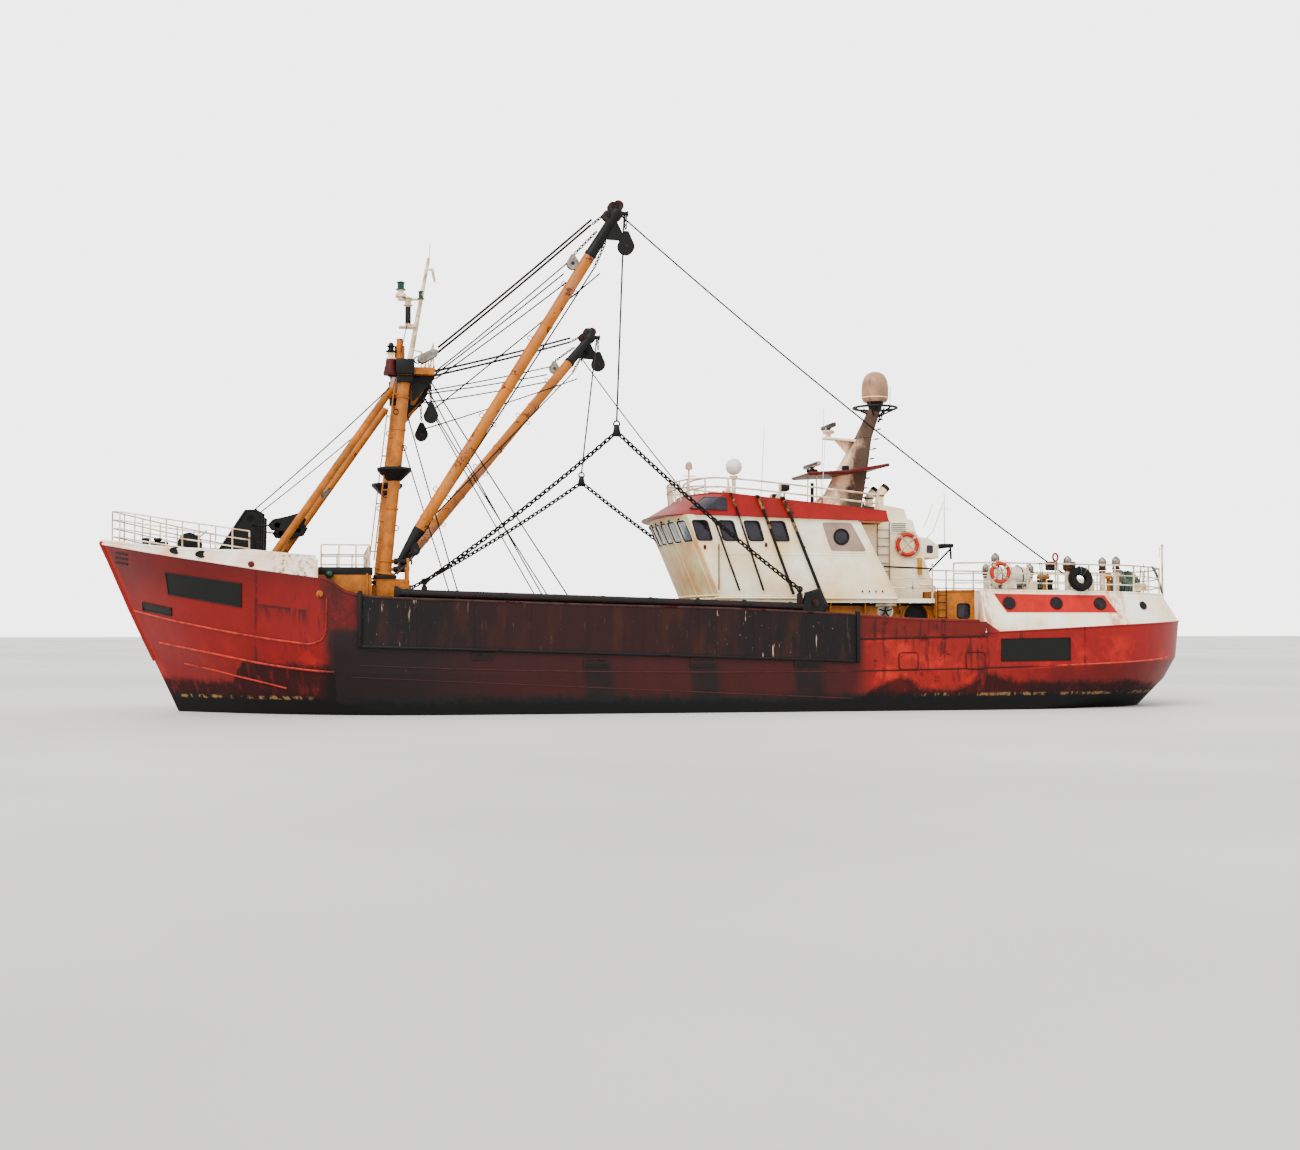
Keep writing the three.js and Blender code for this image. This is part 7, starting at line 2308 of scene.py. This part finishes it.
def deckhouse_fittings():
    """Door surround, portholes, pipes, grab rails and a black bar of painted shadow on the yellow house."""
    form = Form()
    wall = -2.45
    form.tube([(x, wall - .01, z) for x, z in arch_path(.05)], .035, 8)
    form.tube([(x, wall - .004, z) for x, z in arch_path(.015)], .014, 6, 1)
    for x, z, r in ((5.62, 2.82, .22), (4.4, 2.5, .18), (2.9, 2.5, .18), (1.4, 2.5, .18)):
        for s in (-1, 1):
            out = s * 2.45
            form.ring((x, out, z), "y", r, 30, .032, 8, 2)
            form.turned((x, out - s * .01, z), (x, out + s * .014, z),
                [(.001, 0), (r - .01, 0), (r - .01, .02), (.001, .024)], 28, 3 if x < 5 else 4)
            if x > 5:
                for k in range(5):
                    a = 2 * math.pi * k / 5 + .3
                    form.tube([(x, out + s * .04, z), (x + r * .9 * math.cos(a), out + s * .03,
                        z + r * .9 * math.sin(a))], .018, 6, 1)
    for s in (-1, 1):
        form.tube([(.5, s * 2.5, 2.2), (6.1, s * 2.5, 2.2)], .018, 8, 2)
        for x in span(.6, 6.0, 7):
            form.tube([(x, s * 2.5, 2.2), (x, s * 2.44, 2.2)], .012, 6, 2)
        form.tube([(.3, s * 2.49, 1.22), (6.15, s * 2.49, 1.22)], .03, 8, 1)
        # A black bar under the boat deck's edge: painted shadow of the overhang
        form.tube([(.3, s * 2.48, 3.02), (7.0, s * 2.48, 3.02)], .04, 8, 1)
        for x in span(.8, 6.0, 6):
            form.slab([(x - .012, 2.75), (x + .012, 2.75), (x + .012, 3.07), (x - .012, 3.07)], "xz",
                s * 2.45, s * 2.66, 0, 0)
    form.tube([(5.3, -2.55, 3.0), (5.9, -2.6, 3.02)], .05, 8, 2)
    for z in (1.55, 2.45):
        form.block((ARCH_X - ARCH_HALF + .05, wall - .005, z), (.1, .05, .05), 1, .01)
    form.piece("deckhouse_fittings", [YELLOW, BLACK, PALE_TUBE, GLASS, GALVANISED])


def door_dressing():
    form = Form()
    y = -2.452
    form.tube([(x, y - .006, z) for x, z in arch_path(-.07)], .012, 6)
    form.ring((ARCH_X, y - .006, 2.45), "y", .12, 24, .018, 8, 1)
    form.turned((ARCH_X, y + .004, 2.45), (ARCH_X, y - .012, 2.45),
        [(.001, 0), (.115, 0), (.115, .012), (.001, .014)], 24, 2)
    for z in (1.6, 2.1, 2.6):
        form.tube([(ARCH_X - .31, y - .02, z), (ARCH_X - .2, y - .03, z - .05)], .014, 6, 1)
        form.block((ARCH_X - .3, y - .012, z), (.05, .03, .06), 1, .008)
    form.piece("deckhouse_door_dressing", [BLACK, STEEL, GLASS], body="house_door")


def bridge_door_dressing():
    form = Form()
    x = 4.712
    form.tube([(x, y, z) for y, z in rounded([(-2.54, 3.34), (-2.01, 3.34), (-2.01, 4.99), (-2.54, 4.99)],
        .06)], .012, 6, closed=True)
    window = rounded([(-2.45, 4.35), (-2.1, 4.35), (-2.1, 4.85), (-2.45, 4.85)], .07)
    form.slab(window, "yz", x - .008, x + .006, 1, .003)
    form.tube([(x + .006, y, z) for y, z in window], .016, 6, 2, closed=True)
    form.tube([(x, -2.5, 4.1), (x + .05, -2.5, 4.1), (x + .05, -2.38, 4.1)], .012, 6, 3)
    form.piece("bridge_door_dressing", [WHITE, GLASS, GASKET, STEEL], body="bridge_door")


def after_house_fittings():
    """Ladder, rounded window surrounds and a raised edge on the wide after house."""
    form = Form()
    for s in (-1, 1):
        y = s * 2.85
        ladder(form, (7.18, y + s * .07, 2.0), (7.18, y + s * .07, 3.5), .26, (1, 0, 0), 1, .24, .016)
        for z in (2.2, 3.2):
            for dx in (-.13, .13):
                form.tube([(7.18 + dx, y + s * .07, z), (7.18 + dx, y - s * .01, z)], .012, 6, 1)
        place = lambda u, v, w, y=y, s=s: Vector((u, y + s * w, v))
        outer = rounded([(7.57, 2.54), (8.13, 2.54), (8.13, 3.13), (7.57, 3.13)], .13)
        inner = rounded([(7.66, 2.63), (8.04, 2.63), (8.04, 3.04), (7.66, 3.04)], .1)
        flat_ring(form, place, outer, inner, -.02, .02, 0)
        form.tube([place(u, v, .02) for u, v in inner], .02, 8, 2, closed=True)
        form.plate(inner, y - s * .03, .004, 3, 0)
        form.tube([(7.05, y + s * .004, 3.4), (8.2, y + s * .004, 3.42)], .03, 8)
        form.tube([(7.06, y + s * .004, 3.4), (7.06, y + s * .004, 1.2)], .026, 8)
        form.tube([(7.3, y + s * .004, 2.3), (8.18, y + s * .004, 2.28)], .016, 6)
    form.piece("after_house_fittings", [YELLOW, BLACK, GASKET, GLASS])


deckhouse_fittings()
door_dressing()
bridge_door_dressing()
after_house_fittings()


# Poop

POOP_LEAN = .38
STERN_END = 15.6
RED_PANEL = [(8.56, 3.33), (12.0, 3.29), (12.32, 2.78), (8.88, 2.77)]
POOP_PORTHOLES = [(9.0, 3.05), (10.45, 3.05), (11.8, 3.04)]


def poop_foot(p):
    foot = lines["sheer"].at(p)
    return Vector((foot.x, foot.y, boundary_z(foot.x)))


def poop_head(p):
    foot = poop_foot(p)
    drawn = max(0, (foot.x - STERN_START) / (STERN_END - STERN_START)) * POOP_LEAN
    return Vector((foot.x - drawn, max(foot.y - POOP_LEAN, .02), poop_edge(foot.x)))


def poop_wall(x, z, proud=0.0):
    """Starboard-side point of the leaning poop wall at an x and height."""
    low, high = place_of(POOP_FRONT), 3.0
    for _ in range(30):
        middle = (low + high) / 2
        foot, head = poop_foot(middle), poop_head(middle)
        rise = (z - foot.z) / (head.z - foot.z)
        if foot.lerp(head, rise).x < x:
            low = middle
        else:
            high = middle
    foot, head = poop_foot(low), poop_head(low)
    here = foot.lerp(head, (z - foot.z) / (head.z - foot.z))
    ahead = poop_foot(min(low + .01, 3)) - poop_foot(low - .01)
    out = ahead.cross(head - foot).normalized()
    return here + out * (proud if out.z > 0 else -proud)


def poop_top_at(x):
    """Starboard-side edge of the poop deck at an x."""
    low, high = place_of(POOP_FRONT), 3.0
    for _ in range(30):
        middle = (low + high) / 2
        low, high = (middle, high) if poop_head(middle).x < x else (low, middle)
    return poop_head(low)


def poop_paint():
    """White plating stained cream and orange, with rust runs under the rail and behind the panel."""
    material, tree, shader = new_finish("poop plating")
    where = own_place(tree)
    x, _, z = axes_of(tree, where)
    clouds = noise(tree, .8, 6, .6, where)
    paint = blend_colour(tree, ramp(tree, clouds, [(.35, 0.0), (.7, 1.0)]), tone(252, 236, 224),
        tone(238, 214, 192))
    stain = times(tree, step(tree, z, 2.9, 3.45), effect(tree, "runs", Scale=1.6, Cover=.55, Edge=.25))
    paint = blend_colour(tree, times(tree, stain, .6), paint, tone(204, 142, 84))
    behind = times(tree, step(tree, x, 11.9, 12.15), step(tree, x, 12.75, 12.45))
    fore = times(tree, step(tree, x, 8.1, 8.2), step(tree, x, 8.6, 8.3))
    zone = larger(tree, behind, fore)
    streaks = clouds_of(tree, where, 9, 5, .6, .42, .62, stretch=(1, 1, .12))
    paint = blend_colour(tree, times(tree, times(tree, zone, streaks), .75), paint, tone(206, 126, 52))
    soot = times(tree, step(tree, x, 10.6, 9.6), step(tree, z, 2.8, 2.45))
    smear = times(tree, soot, ramp(tree, noise(tree, 2.2, 6, .6, where), [(.45, 0.0), (.7, .5)]))
    paint = blend_colour(tree, smear, paint, tone(150, 122, 100))
    broken = effect(tree, "patches", Scale=2.2, Cover=.2, Edge=.05)
    paint = blend_colour(tree, broken, paint, effect(tree, "rust", Fresh=.7))
    plug(shader, "Base Color", paint)
    plug(shader, "Roughness", maths(tree, "MULTIPLY_ADD", broken, .4, clamp=True))
    brushed(tree, shader, .35, .02, .3, .8)
    return material


POOP = poop_paint()
PANEL = weathered("red panel", tone(206, 42, 16), tone(192, 60, 42), rust=.22, runs=.3, grime=.25, gloss=.42,
                  scale=1.4, fresh=.2)


def poop_plating():
    form = Form()
    places = [place_of(x) for x in span(POOP_FRONT, STERN_START, 26)] + STERN[1:]
    lift = above(FACE_GAP)
    rows = [between(poop_foot(p) + lift, poop_head(p), 8) for p in places]
    other = mirror_rows(rows)
    form.halves(rows, other)
    form.grid([[a[-1].lerp(b[-1], k / 10) for k in range(11)] for a, b in zip(rows, other)], 1)
    form.foot_strip(rows, other)
    for row, mate in ((rows[0], other[0]), (rows[-1], other[-1])):
        form.end_cap(row, mate)
    for side in (rows, other):
        form.tube([row[-1] for row in side], .028, 8)
        form.tube([row[0] for row in side], .024, 8, 3)
        form.tube(side[0], .02, 8)
        form.tube(side[int(len(side) * .62)], .01, 6)
    form.piece("poop_plating", [POOP, DECK, PANEL, HULL], replaces=["poop_house"], smooth=28)


def poop_panel():
    """Red panel with its portholes, and the small one further aft."""
    form = Form()
    for s in (-1, 1):
        turn = lambda p: Vector((p.x, s * p.y, p.z))
        rows = []
        for k in range(25):
            t = k / 24
            head = (RED_PANEL[0][0] + (RED_PANEL[1][0] - RED_PANEL[0][0]) * t, RED_PANEL[0][1] - .03 * t)
            foot = (RED_PANEL[3][0] + (RED_PANEL[2][0] - RED_PANEL[3][0]) * t, RED_PANEL[3][1])
            rows.append([turn(poop_wall(head[0] + (foot[0] - head[0]) * w,
                head[1] + (foot[1] - head[1]) * w, .007)) for w in span(0, 1, 6)])
        form.grid(rows, 0)
        edge = [row[0] for row in rows] + [row[-1] for row in rows[::-1]]
        form.tube(edge, .011, 6, 1, closed=True)
        for x, z in POOP_PORTHOLES + [(13.24, 2.99)]:
            r = .17 if x < 13 else .11
            centre = poop_wall(x, z)
            out = (poop_wall(x, z, .1) - centre).normalized()
            centre, out = turn(centre), turn(out)
            form.turned(centre - out * .01, centre + out * .2,
                [(.001, 0), (r - .01, 0), (r - .01, .03), (.001, .032)], 32, 3)
            form.turned(centre, centre + out * .2, [(r - .015, 0), (r + .02, 0), (r + .02, .035), (r, .05),
                (r - .015, .045)], 32, 2 if r > .1 else 1)
    for s in (-1, 1):
        low, high, tip = poop_wall(8.202, 2.205, .012), poop_wall(8.202, 2.54, .012), poop_wall(8.62, 2.23,
            .012)
        form.grid([sided((low.lerp(tip, t), high.lerp(tip, t)), s) for t in (0, .33, .66, .98)], 4)
    form.piece("poop_panel", [PANEL, POOP, GASKET, GLASS, HULL])


POOP_RAIL_PLACES = [8.5, 9.66, 10.6, 11.57, 12.39, 13.06, 13.7, 14.4]


def poop_rail():
    form = Form()
    half = []
    for x in POOP_RAIL_PLACES:
        top = poop_top_at(x)
        half.append(Vector((x, top.y - .09, top.z)))
    tail = Vector((14.95, 0, poop_edge(15.3)))
    bend = Vector((14.86, .75, poop_edge(15.3)))
    half.insert(0, Vector((7.6, 2.76, 3.42)))
    for s in (-1, 1):
        side = sided(half, s)
        turnings = [Vector((bend.x, s * bend.y, bend.z)), tail]
        path = side + turnings
        for foot in side + ([tail] if s < 0 else []):
            form.tube([foot, foot + above(.8)], .026, 10)
            form.block(foot + above(.015), (.1, .1, .03), 0, .008)
        for part, radius in ((.28, .02), (.62, .02), (1, .024)):
            form.tube([p + above(.8 * part) for p in path], radius, 10)
        for x in (9.1, 13.3):
            top = poop_top_at(x)
            form.plate([(x - .22, top.z + .06), (x + .22, top.z + .06), (x + .2, top.z + .3),
                (x - .2, top.z + .3)], s * (top.y - .07), .012, 0, .004)
    form.piece("poop_rail_tubes", PALE_TUBE, replaces=["poop_rail"])


def post_lamps():
    """Stout pale posts with rusty collars and round caps, standing along the poop rail."""
    form = Form()
    for x, tall in ((8.74, 1.06), (10.98, 1.02), (12.07, 1.0), (12.51, 1.04)):
        for s in (-1, 1):
            top = poop_top_at(x)
            y, z = s * (top.y - .24), top.z
            form.turned((x, y, z), (x, y, z + 2), [(.001, 0), (.12, 0), (.12, .03), (.088, .05),
                (.088, tall - .42), (.001, tall - .42)], 18)
            for drop, r in ((.43, .1), (.36, .118), (.3, .1)):
                form.turned((x, y, z + tall - drop), (x, y, z + 2), disc(r, .055), 18, 1)
            form.turned((x, y, z + tall - .26), (x, y, z + 2),
                [(.001, 0), (.1, .01), (.12, .06), (.12, .16), (.1, .22), (.05, .26), (.03, .29),
                (.001, .29)], 20, 2)
            for a in angles(6):
                form.tube([(x + .12 * math.cos(a), y + .12 * math.sin(a), z + tall - .22),
                    (x + .12 * math.cos(a), y + .12 * math.sin(a), z + tall - .08)], .01, 5, 1)
    rusty = weathered("post collar", tone(74, 50, 42), tone(150, 96, 46), rust=.5, runs=.4, grime=.5,
        scale=5, fresh=.5)
    form.piece("post_lamps", [PALE_TUBE, rusty, GALVANISED])


def tyre():
    """Worn tyre lashed outside the rail: rounded tread with grooves, beads and a lashing."""
    form = Form()
    x, z = 11.24, 3.76
    y = -(poop_top_at(x).y + .06)
    tilt = Matrix.Rotation(math.radians(16), 3, "Y") @ Matrix.Rotation(math.radians(-14), 3, "X")
    count = 60
    section = [(.145, -.07), (.2, -.105), (.28, -.115), (.335, -.1), (.352, -.06), (.345, -.055),
        (.345, -.045), (.357, -.04), (.36, 0), (.357, .04), (.345, .045), (.345, .055), (.352, .06),
        (.335, .1), (.28, .115), (.2, .105), (.145, .07), (.165, .06), (.2, .075), (.3, .07), (.31, 0),
        (.3, -.07), (.2, -.075), (.165, -.06)]
    rows = []
    for k in range(count + 1):
        a = 2 * math.pi * k / count
        rows.append([Vector((x, y, z)) + tilt @ Vector((r * math.cos(a), w, r * math.sin(a))) for r,
            w in section])
    form.grid(rows, 0, closed=True)
    for k in range(count):
        a = 2 * math.pi * (k + .5) / count
        out = Vector((math.cos(a), 0, math.sin(a)))
        for w in (-.082, .082):
            spot = Vector((x, y, z)) + tilt @ (out * .346 + Vector((0, w, 0)))
            form.block(spot, (.02, .03, .02), 0, .004, tilt)
    for a in (1.3, 1.9):
        ring = [Vector((x, y, z)) + tilt @ (Vector((math.cos(a), 0,
            math.sin(a))) * (.25 + .13 * math.cos(b)) + Vector((0, .14 * math.sin(b), 0)))
            for b in angles(18)]
        form.tube(ring, .014, 6, 1, closed=True)
    form.piece("tyre_on_rail", [RUBBER, rope_fibre("lashing", tone(60, 84, 88), tone(90, 84, 70))],
        replaces=["tyre_fender"])


def raft():
    form = Form()
    gel = weathered("canister white", tone(236, 230, 222), tone(214, 206, 196), rust=.0, runs=.12, grime=.4,
        gloss=.3)
    foot, head = Vector((9.0, -2.0, 3.85)), Vector((10.25, -2.0, 3.85))
    form.turned(foot, head, [(.001, 0), (.12, .004), (.22, .03), (.28, .09), (.3, .17), (.3, .6),
        (.312, .602), (.312, .648), (.3, .65), (.3, 1.08), (.28, 1.16), (.22, 1.22), (.12, 1.246),
        (.001, 1.25)], 36)
    for x in (9.3, 9.95):
        form.ring((x, -2.0, 3.85), "x", .306, 36, .016, 6, 1)
        form.slab([(-2.3, 3.44), (-1.7, 3.44), (-1.76, 3.62), (-1.84, 3.6), (-2.0, 3.56), (-2.16, 3.6),
            (-2.24, 3.62)], "yz", x - .03, x + .03, 2, .008)
    form.piece("raft_in_cradle", [gel, GASKET, GALVANISED], replaces=["raft_canister"])


def net_heap(name, centre, size, seed, colour, worn):
    """Bundled net: a lumpy mound wound over with strands of twine."""
    shuffle = random.Random(seed)
    form = Form()
    cx, cy, cz = centre
    sx, sy, sz = size
    lumps = [(shuffle.uniform(0, 6.28), shuffle.uniform(.5, 1.3), shuffle.uniform(.06, .16))
        for _ in range(9)]

    def mound(a, b, grow=1.0):
        swell = 1 + sum(w * math.sin(f * 3 * a + turn + 2 * b) for turn, f, w in lumps) * .5
        r = swell * grow
        return Vector((cx + sx * r * math.cos(a) * math.cos(b), cy + sy * r * math.sin(a) * math.cos(b),
            cz + sz * r * math.sin(b)))

    rows = [[mound(2 * math.pi * k / 40, b) for k in range(40)] for b in span(0, 1.54, 14)]
    form.grid(rows, 0, closed=True, caps=True)
    for _ in range(46):
        start, lean = shuffle.uniform(0, 6.28), shuffle.uniform(-1.4, 1.4)
        path = [mound(start + lean * t, .04 + 1.4 * math.sin(math.pi * t) * shuffle.uniform(.9, 1.0),
            1.02) for t in span(0, 1, 14)]
        form.tube(path, .016, 5, 1)
    form.piece(name, [rope_fibre(f"{name} shade", worn, tone(30, 40, 34)),
        rope_fibre(f"{name} twine", colour, worn)], smooth=60)


def poop_gear():
    """Mooring bitts, vents, flagpole, small ring, lines over the rail and odd gear on the poop deck."""
    form = Form()
    deck_z = 3.38
    for x in (10.9, 13.4):
        for s in (-1, 1):
            for dx in (-.16, .16):
                form.turned((x + dx, s * 1.7, deck_z), (x + dx, s * 1.7, 4),
                    [(.001, 0), (.08, 0), (.08, .34), (.1, .36), (.1, .4), (.001, .41)], 18)
            form.block((x, s * 1.7, deck_z + .02), (.6, .26, .04), 0, .01)
    for x, y, r, tall in ((10.15, -1.2, .1, .75), (12.62, -2.35, .085, .62), (12.0, .9, .14, .7)):
        form.turned((x, y, deck_z), (x, y, 5), [(.001, 0), (r * .7, 0), (r * .7, tall - .2),
            (r * 1.4, tall - .2), (r * 1.5, tall - .12), (r * 1.1, tall - .03), (.001, tall)], 22, 1)
    x, y = 14.78, -poop_top_at(14.78).y - .01
    form.tube([(x, y, 3.28), (x, y, 4.86)], .034, 8, 2)
    form.turned((x, y, 4.84), (x, y, 5), [(.001, 0), (.045, .01), (.045, .04), (.001, .06)], 12, 2)
    form.tube([(x - .08, y, 4.8), (x - .1, y, 4.46)], .01, 6, 2)
    form.tube([(10.6, -3.1, 3.36), (10.6, -3.1, 4.3)], .02, 8, 2)
    ring = [Vector((10.6 + .075 * math.cos(a), -3.1, 4.4 + .11 * math.sin(a))) for a in angles(24)]
    form.tube(ring, .03, 8, 3, closed=True)
    for x in (10.55, 11.1):
        form.block((x, -2.95, 4.15), (.36, .2, .26), 4, .05)
    form.block((11.9, -2.0, 3.6), (.6, .7, .42), 5, .04)
    form.block((10.3, -.4, 3.66), (.9, .8, .56), 2, .05)
    form.block((12.1, 1.6, 3.62), (.8, .5, .46), 5, .04)
    for k in range(3):
        form.block((12.56, -3.12 + .02 * k, 3.62 + .14 * k), (.16, .07, .09), 3 if k % 2 else 2, .012)
    form.piece("poop_gear", [BLACK, YELLOW, PALE_TUBE, RED_TRIM, STEEL, WHITE])
    form = Form()
    end = poop_top_at(13.9)
    tail = poop_top_at(14.7)
    for lift in (-.1, -.16):
        form.tube(sagging((13.9, -end.y + .1, 4.16), (14.7, -tail.y + .02, 3.4), lift, 14), .03, 8)
    form.tube(sagging((13.5, -2.7, 4.18), (13.8, -1.9, 3.45), .1, 12), .018, 8)
    for x in (10.02, 10.08, 13.45):
        top = poop_top_at(x)
        form.tube([(x, -top.y + .06, 4.24), (x + .02, -top.y + .02, 3.95), (x - .02, -top.y + .04, 3.5)],
            .012, 6)
    form.piece("poop_lines", rope_fibre("green line", tone(52, 122, 96), tone(96, 128, 110)),
        smooth=60)


poop_plating()
poop_panel()
poop_rail()
post_lamps()
tyre()
raft()
lifebuoy("lifebuoy_on_rail", (8.72, -3.52, 3.93), .26, .058, "lifebuoy_poop")
net_heap("net_on_poop", (13.5, -1.6, 3.36), (.5, .62, .62), 4, tone(54, 120, 88), tone(70, 96, 74))
poop_gear()


# Foredeck and working deck gear

def deck_gear():
    """Coamings, scuppers, pipes, fish boxes and hose reels about the working deck."""
    form = Form()
    for s in (-1, 1):
        form.tube([(x, s * 3.5, DECK_Z + .06) for x in span(-9.2, 8.0, 20)], .05, 8)
        for x in span(-8.6, 7.6, 12):
            form.ring((x, s * 3.6, DECK_Z + .45), "x", .05, 12, .014, 6, 2)
    for i, (x, y) in enumerate(((-4.9, 2.2), (-4.9, 2.85), (-4.3, 2.5), (-.6, -2.4), (-.6, 2.6))):
        for level in range(1 + i % 3):
            z = DECK_Z + .12 + .22 * level
            form.block((x, y, z), (.7, .45, .03), 3, .01)
            for dx in (-.35, .35):
                form.block((x + dx, y, z + .1), (.03, .45, .2), 3, .01)
            for dy in (-.225, .225):
                form.block((x, y + dy, z + .1), (.7, .03, .2), 3, .01)
    form.tube([(-1.2, -1.3, DECK_Z + .05), (.1, -1.3, DECK_Z + .05)], .04, 8, 2)
    for y in (-2.2, 2.2):
        form.turned((-9.3, y, DECK_Z), (-9.3, y, 2), [(.001, 0), (.14, 0), (.14, .3), (.18, .32),
            (.18, .36), (.001, .37)], 20, 1)
    form.piece("deck_gear", [INNER, BLACK, STEEL, weathered("fish box blue", tone(46, 84, 128),
        tone(84, 112, 140), rust=.0, runs=.1, grime=.5, gloss=.4, scale=3)])


def stern_gear():
    """Rudder straps and anodes under water."""
    form = Form()
    for z in (-1.2, -2.6):
        form.slab([(12.35, z - .06), (13.1, z - .06), (13.1, z + .06), (12.35, z + .06)], "xz", -.075, .075,
            0, .01)
    form.piece("rudder_straps", [weathered("underwater steel", tone(96, 50, 42), tone(70, 52, 48), rust=.5,
        runs=.1, grime=.5)], body="rudder_blade")
    form = Form()
    for s in (-1, 1):
        for x in (8.0, 9.4, 10.2):
            p = on_side(x, -.6, .02)
            form.block((p.x, s * p.y, p.z), (.3, .05, .1), 0, .015)
    form.piece("hull_anodes", GALVANISED)


deck_gear()
stern_gear()


# Finishes of the CAD pieces that stay

def give(finish, *names):
    for name in names:
        slots = nodes[name].data.materials
        slots.clear()
        slots.append(finish)


def cad_finishes():
    beam = weathered("beam steel", tone(62, 44, 46), tone(44, 34, 40), rust=.4, runs=.3, grime=.4,
        gloss=.45, scale=1.6, fresh=.2)
    bronze = plain_metal("bronze", tone(150, 104, 52), tone(96, 88, 60), metallic=.9, rough=.35, spots=.25)
    engine = weathered("engine grey", tone(92, 120, 124), tone(70, 90, 92), rust=.15, runs=.2, grime=.6,
        gloss=.5, scale=2)
    seat = rubber("seat cover", tone(34, 33, 36), tone(60, 58, 60))
    # The wheelhouse front is the same white plating as the sides, drawn warmer and darker as painted shade
    front = weathered("front plating painted shade", tone(250, 230, 204), tone(234, 202, 166), rust=.1, runs=.14,
        grime=.2, gloss=.42, fresh=.6)
    give(front, "wheelhouse_front")
    give(WHITE, "wheelhouse_side_port", "wheelhouse_side_starboard", "wheelhouse_aft", "wheelhouse_door",
        "casing")
    give(GLASS, "wheelhouse_glass")
    give(YELLOW, "deckhouse", "deckhouse_after", "forecastle_house", "gantry_column_port",
        "gantry_column_starboard", "gantry_head", "gantry_prop_port", "gantry_prop_starboard")
    give(BLACK, "deckhouse_door", "windlass", "bow_gallows", "winch_frame")
    give(PALE_TUBE, "light_mast")
    give(DECK, "boat_deck", "hatch_coaming")
    give(GALVANISED, "hatch_lid")
    give(STEEL, "winch_drum_port", "winch_drum_starboard")
    give(beam, "trawl_beam_port", "trawl_beam_starboard")
    give(bronze, "propeller")
    give(HULL, "rudder")
    give(engine, "engine")
    give(seat, "helm_seat", "helm_console")


cad_finishes()


# Floor and light

FLOOR_REACH = 400
SKY_STRENGTH = 1.84
SKY_EXTRA_SEEN = 2.46
SUN_ENERGY = 3.43


def floor_and_light():
    form = Form()
    form.grid([[(x, y, 0) for y in (-FLOOR_REACH, FLOOR_REACH)] for x in (-FLOOR_REACH, FLOOR_REACH)])
    pale, tree, shader = new_finish("floor", Roughness=.6)
    tint = ramp(tree, noise(tree, .05, 3), [(.3, tone(206, 206, 204)), (.7, tone(216, 216, 214))])
    plug(shader, "Base Color", tint)
    form.piece("floor", pale, body=None)
    world = bpy.data.worlds.new("sky")
    bpy.context.scene.world = world
    world.use_nodes = True
    sky = world.node_tree
    seen = node(sky, "ShaderNodeLightPath").outputs["Is Camera Ray"]
    strength = plus(sky, SKY_STRENGTH, times(sky, seen, SKY_EXTRA_SEEN))
    sky.links.new(strength, sky.nodes["Background"].inputs["Strength"])
    sky.nodes["Background"].inputs["Color"].default_value = (1, .99, .98, 1)
    lamp = bpy.data.lights.new("soft sun", "SUN")
    lamp.energy = SUN_ENERGY
    lamp.angle = math.radians(35)
    sun = bpy.data.objects.new("soft sun", lamp)
    sun.rotation_euler = (math.radians(42), math.radians(-14), math.radians(-24))
    bpy.context.scene.collection.objects.link(sun)


floor_and_light()
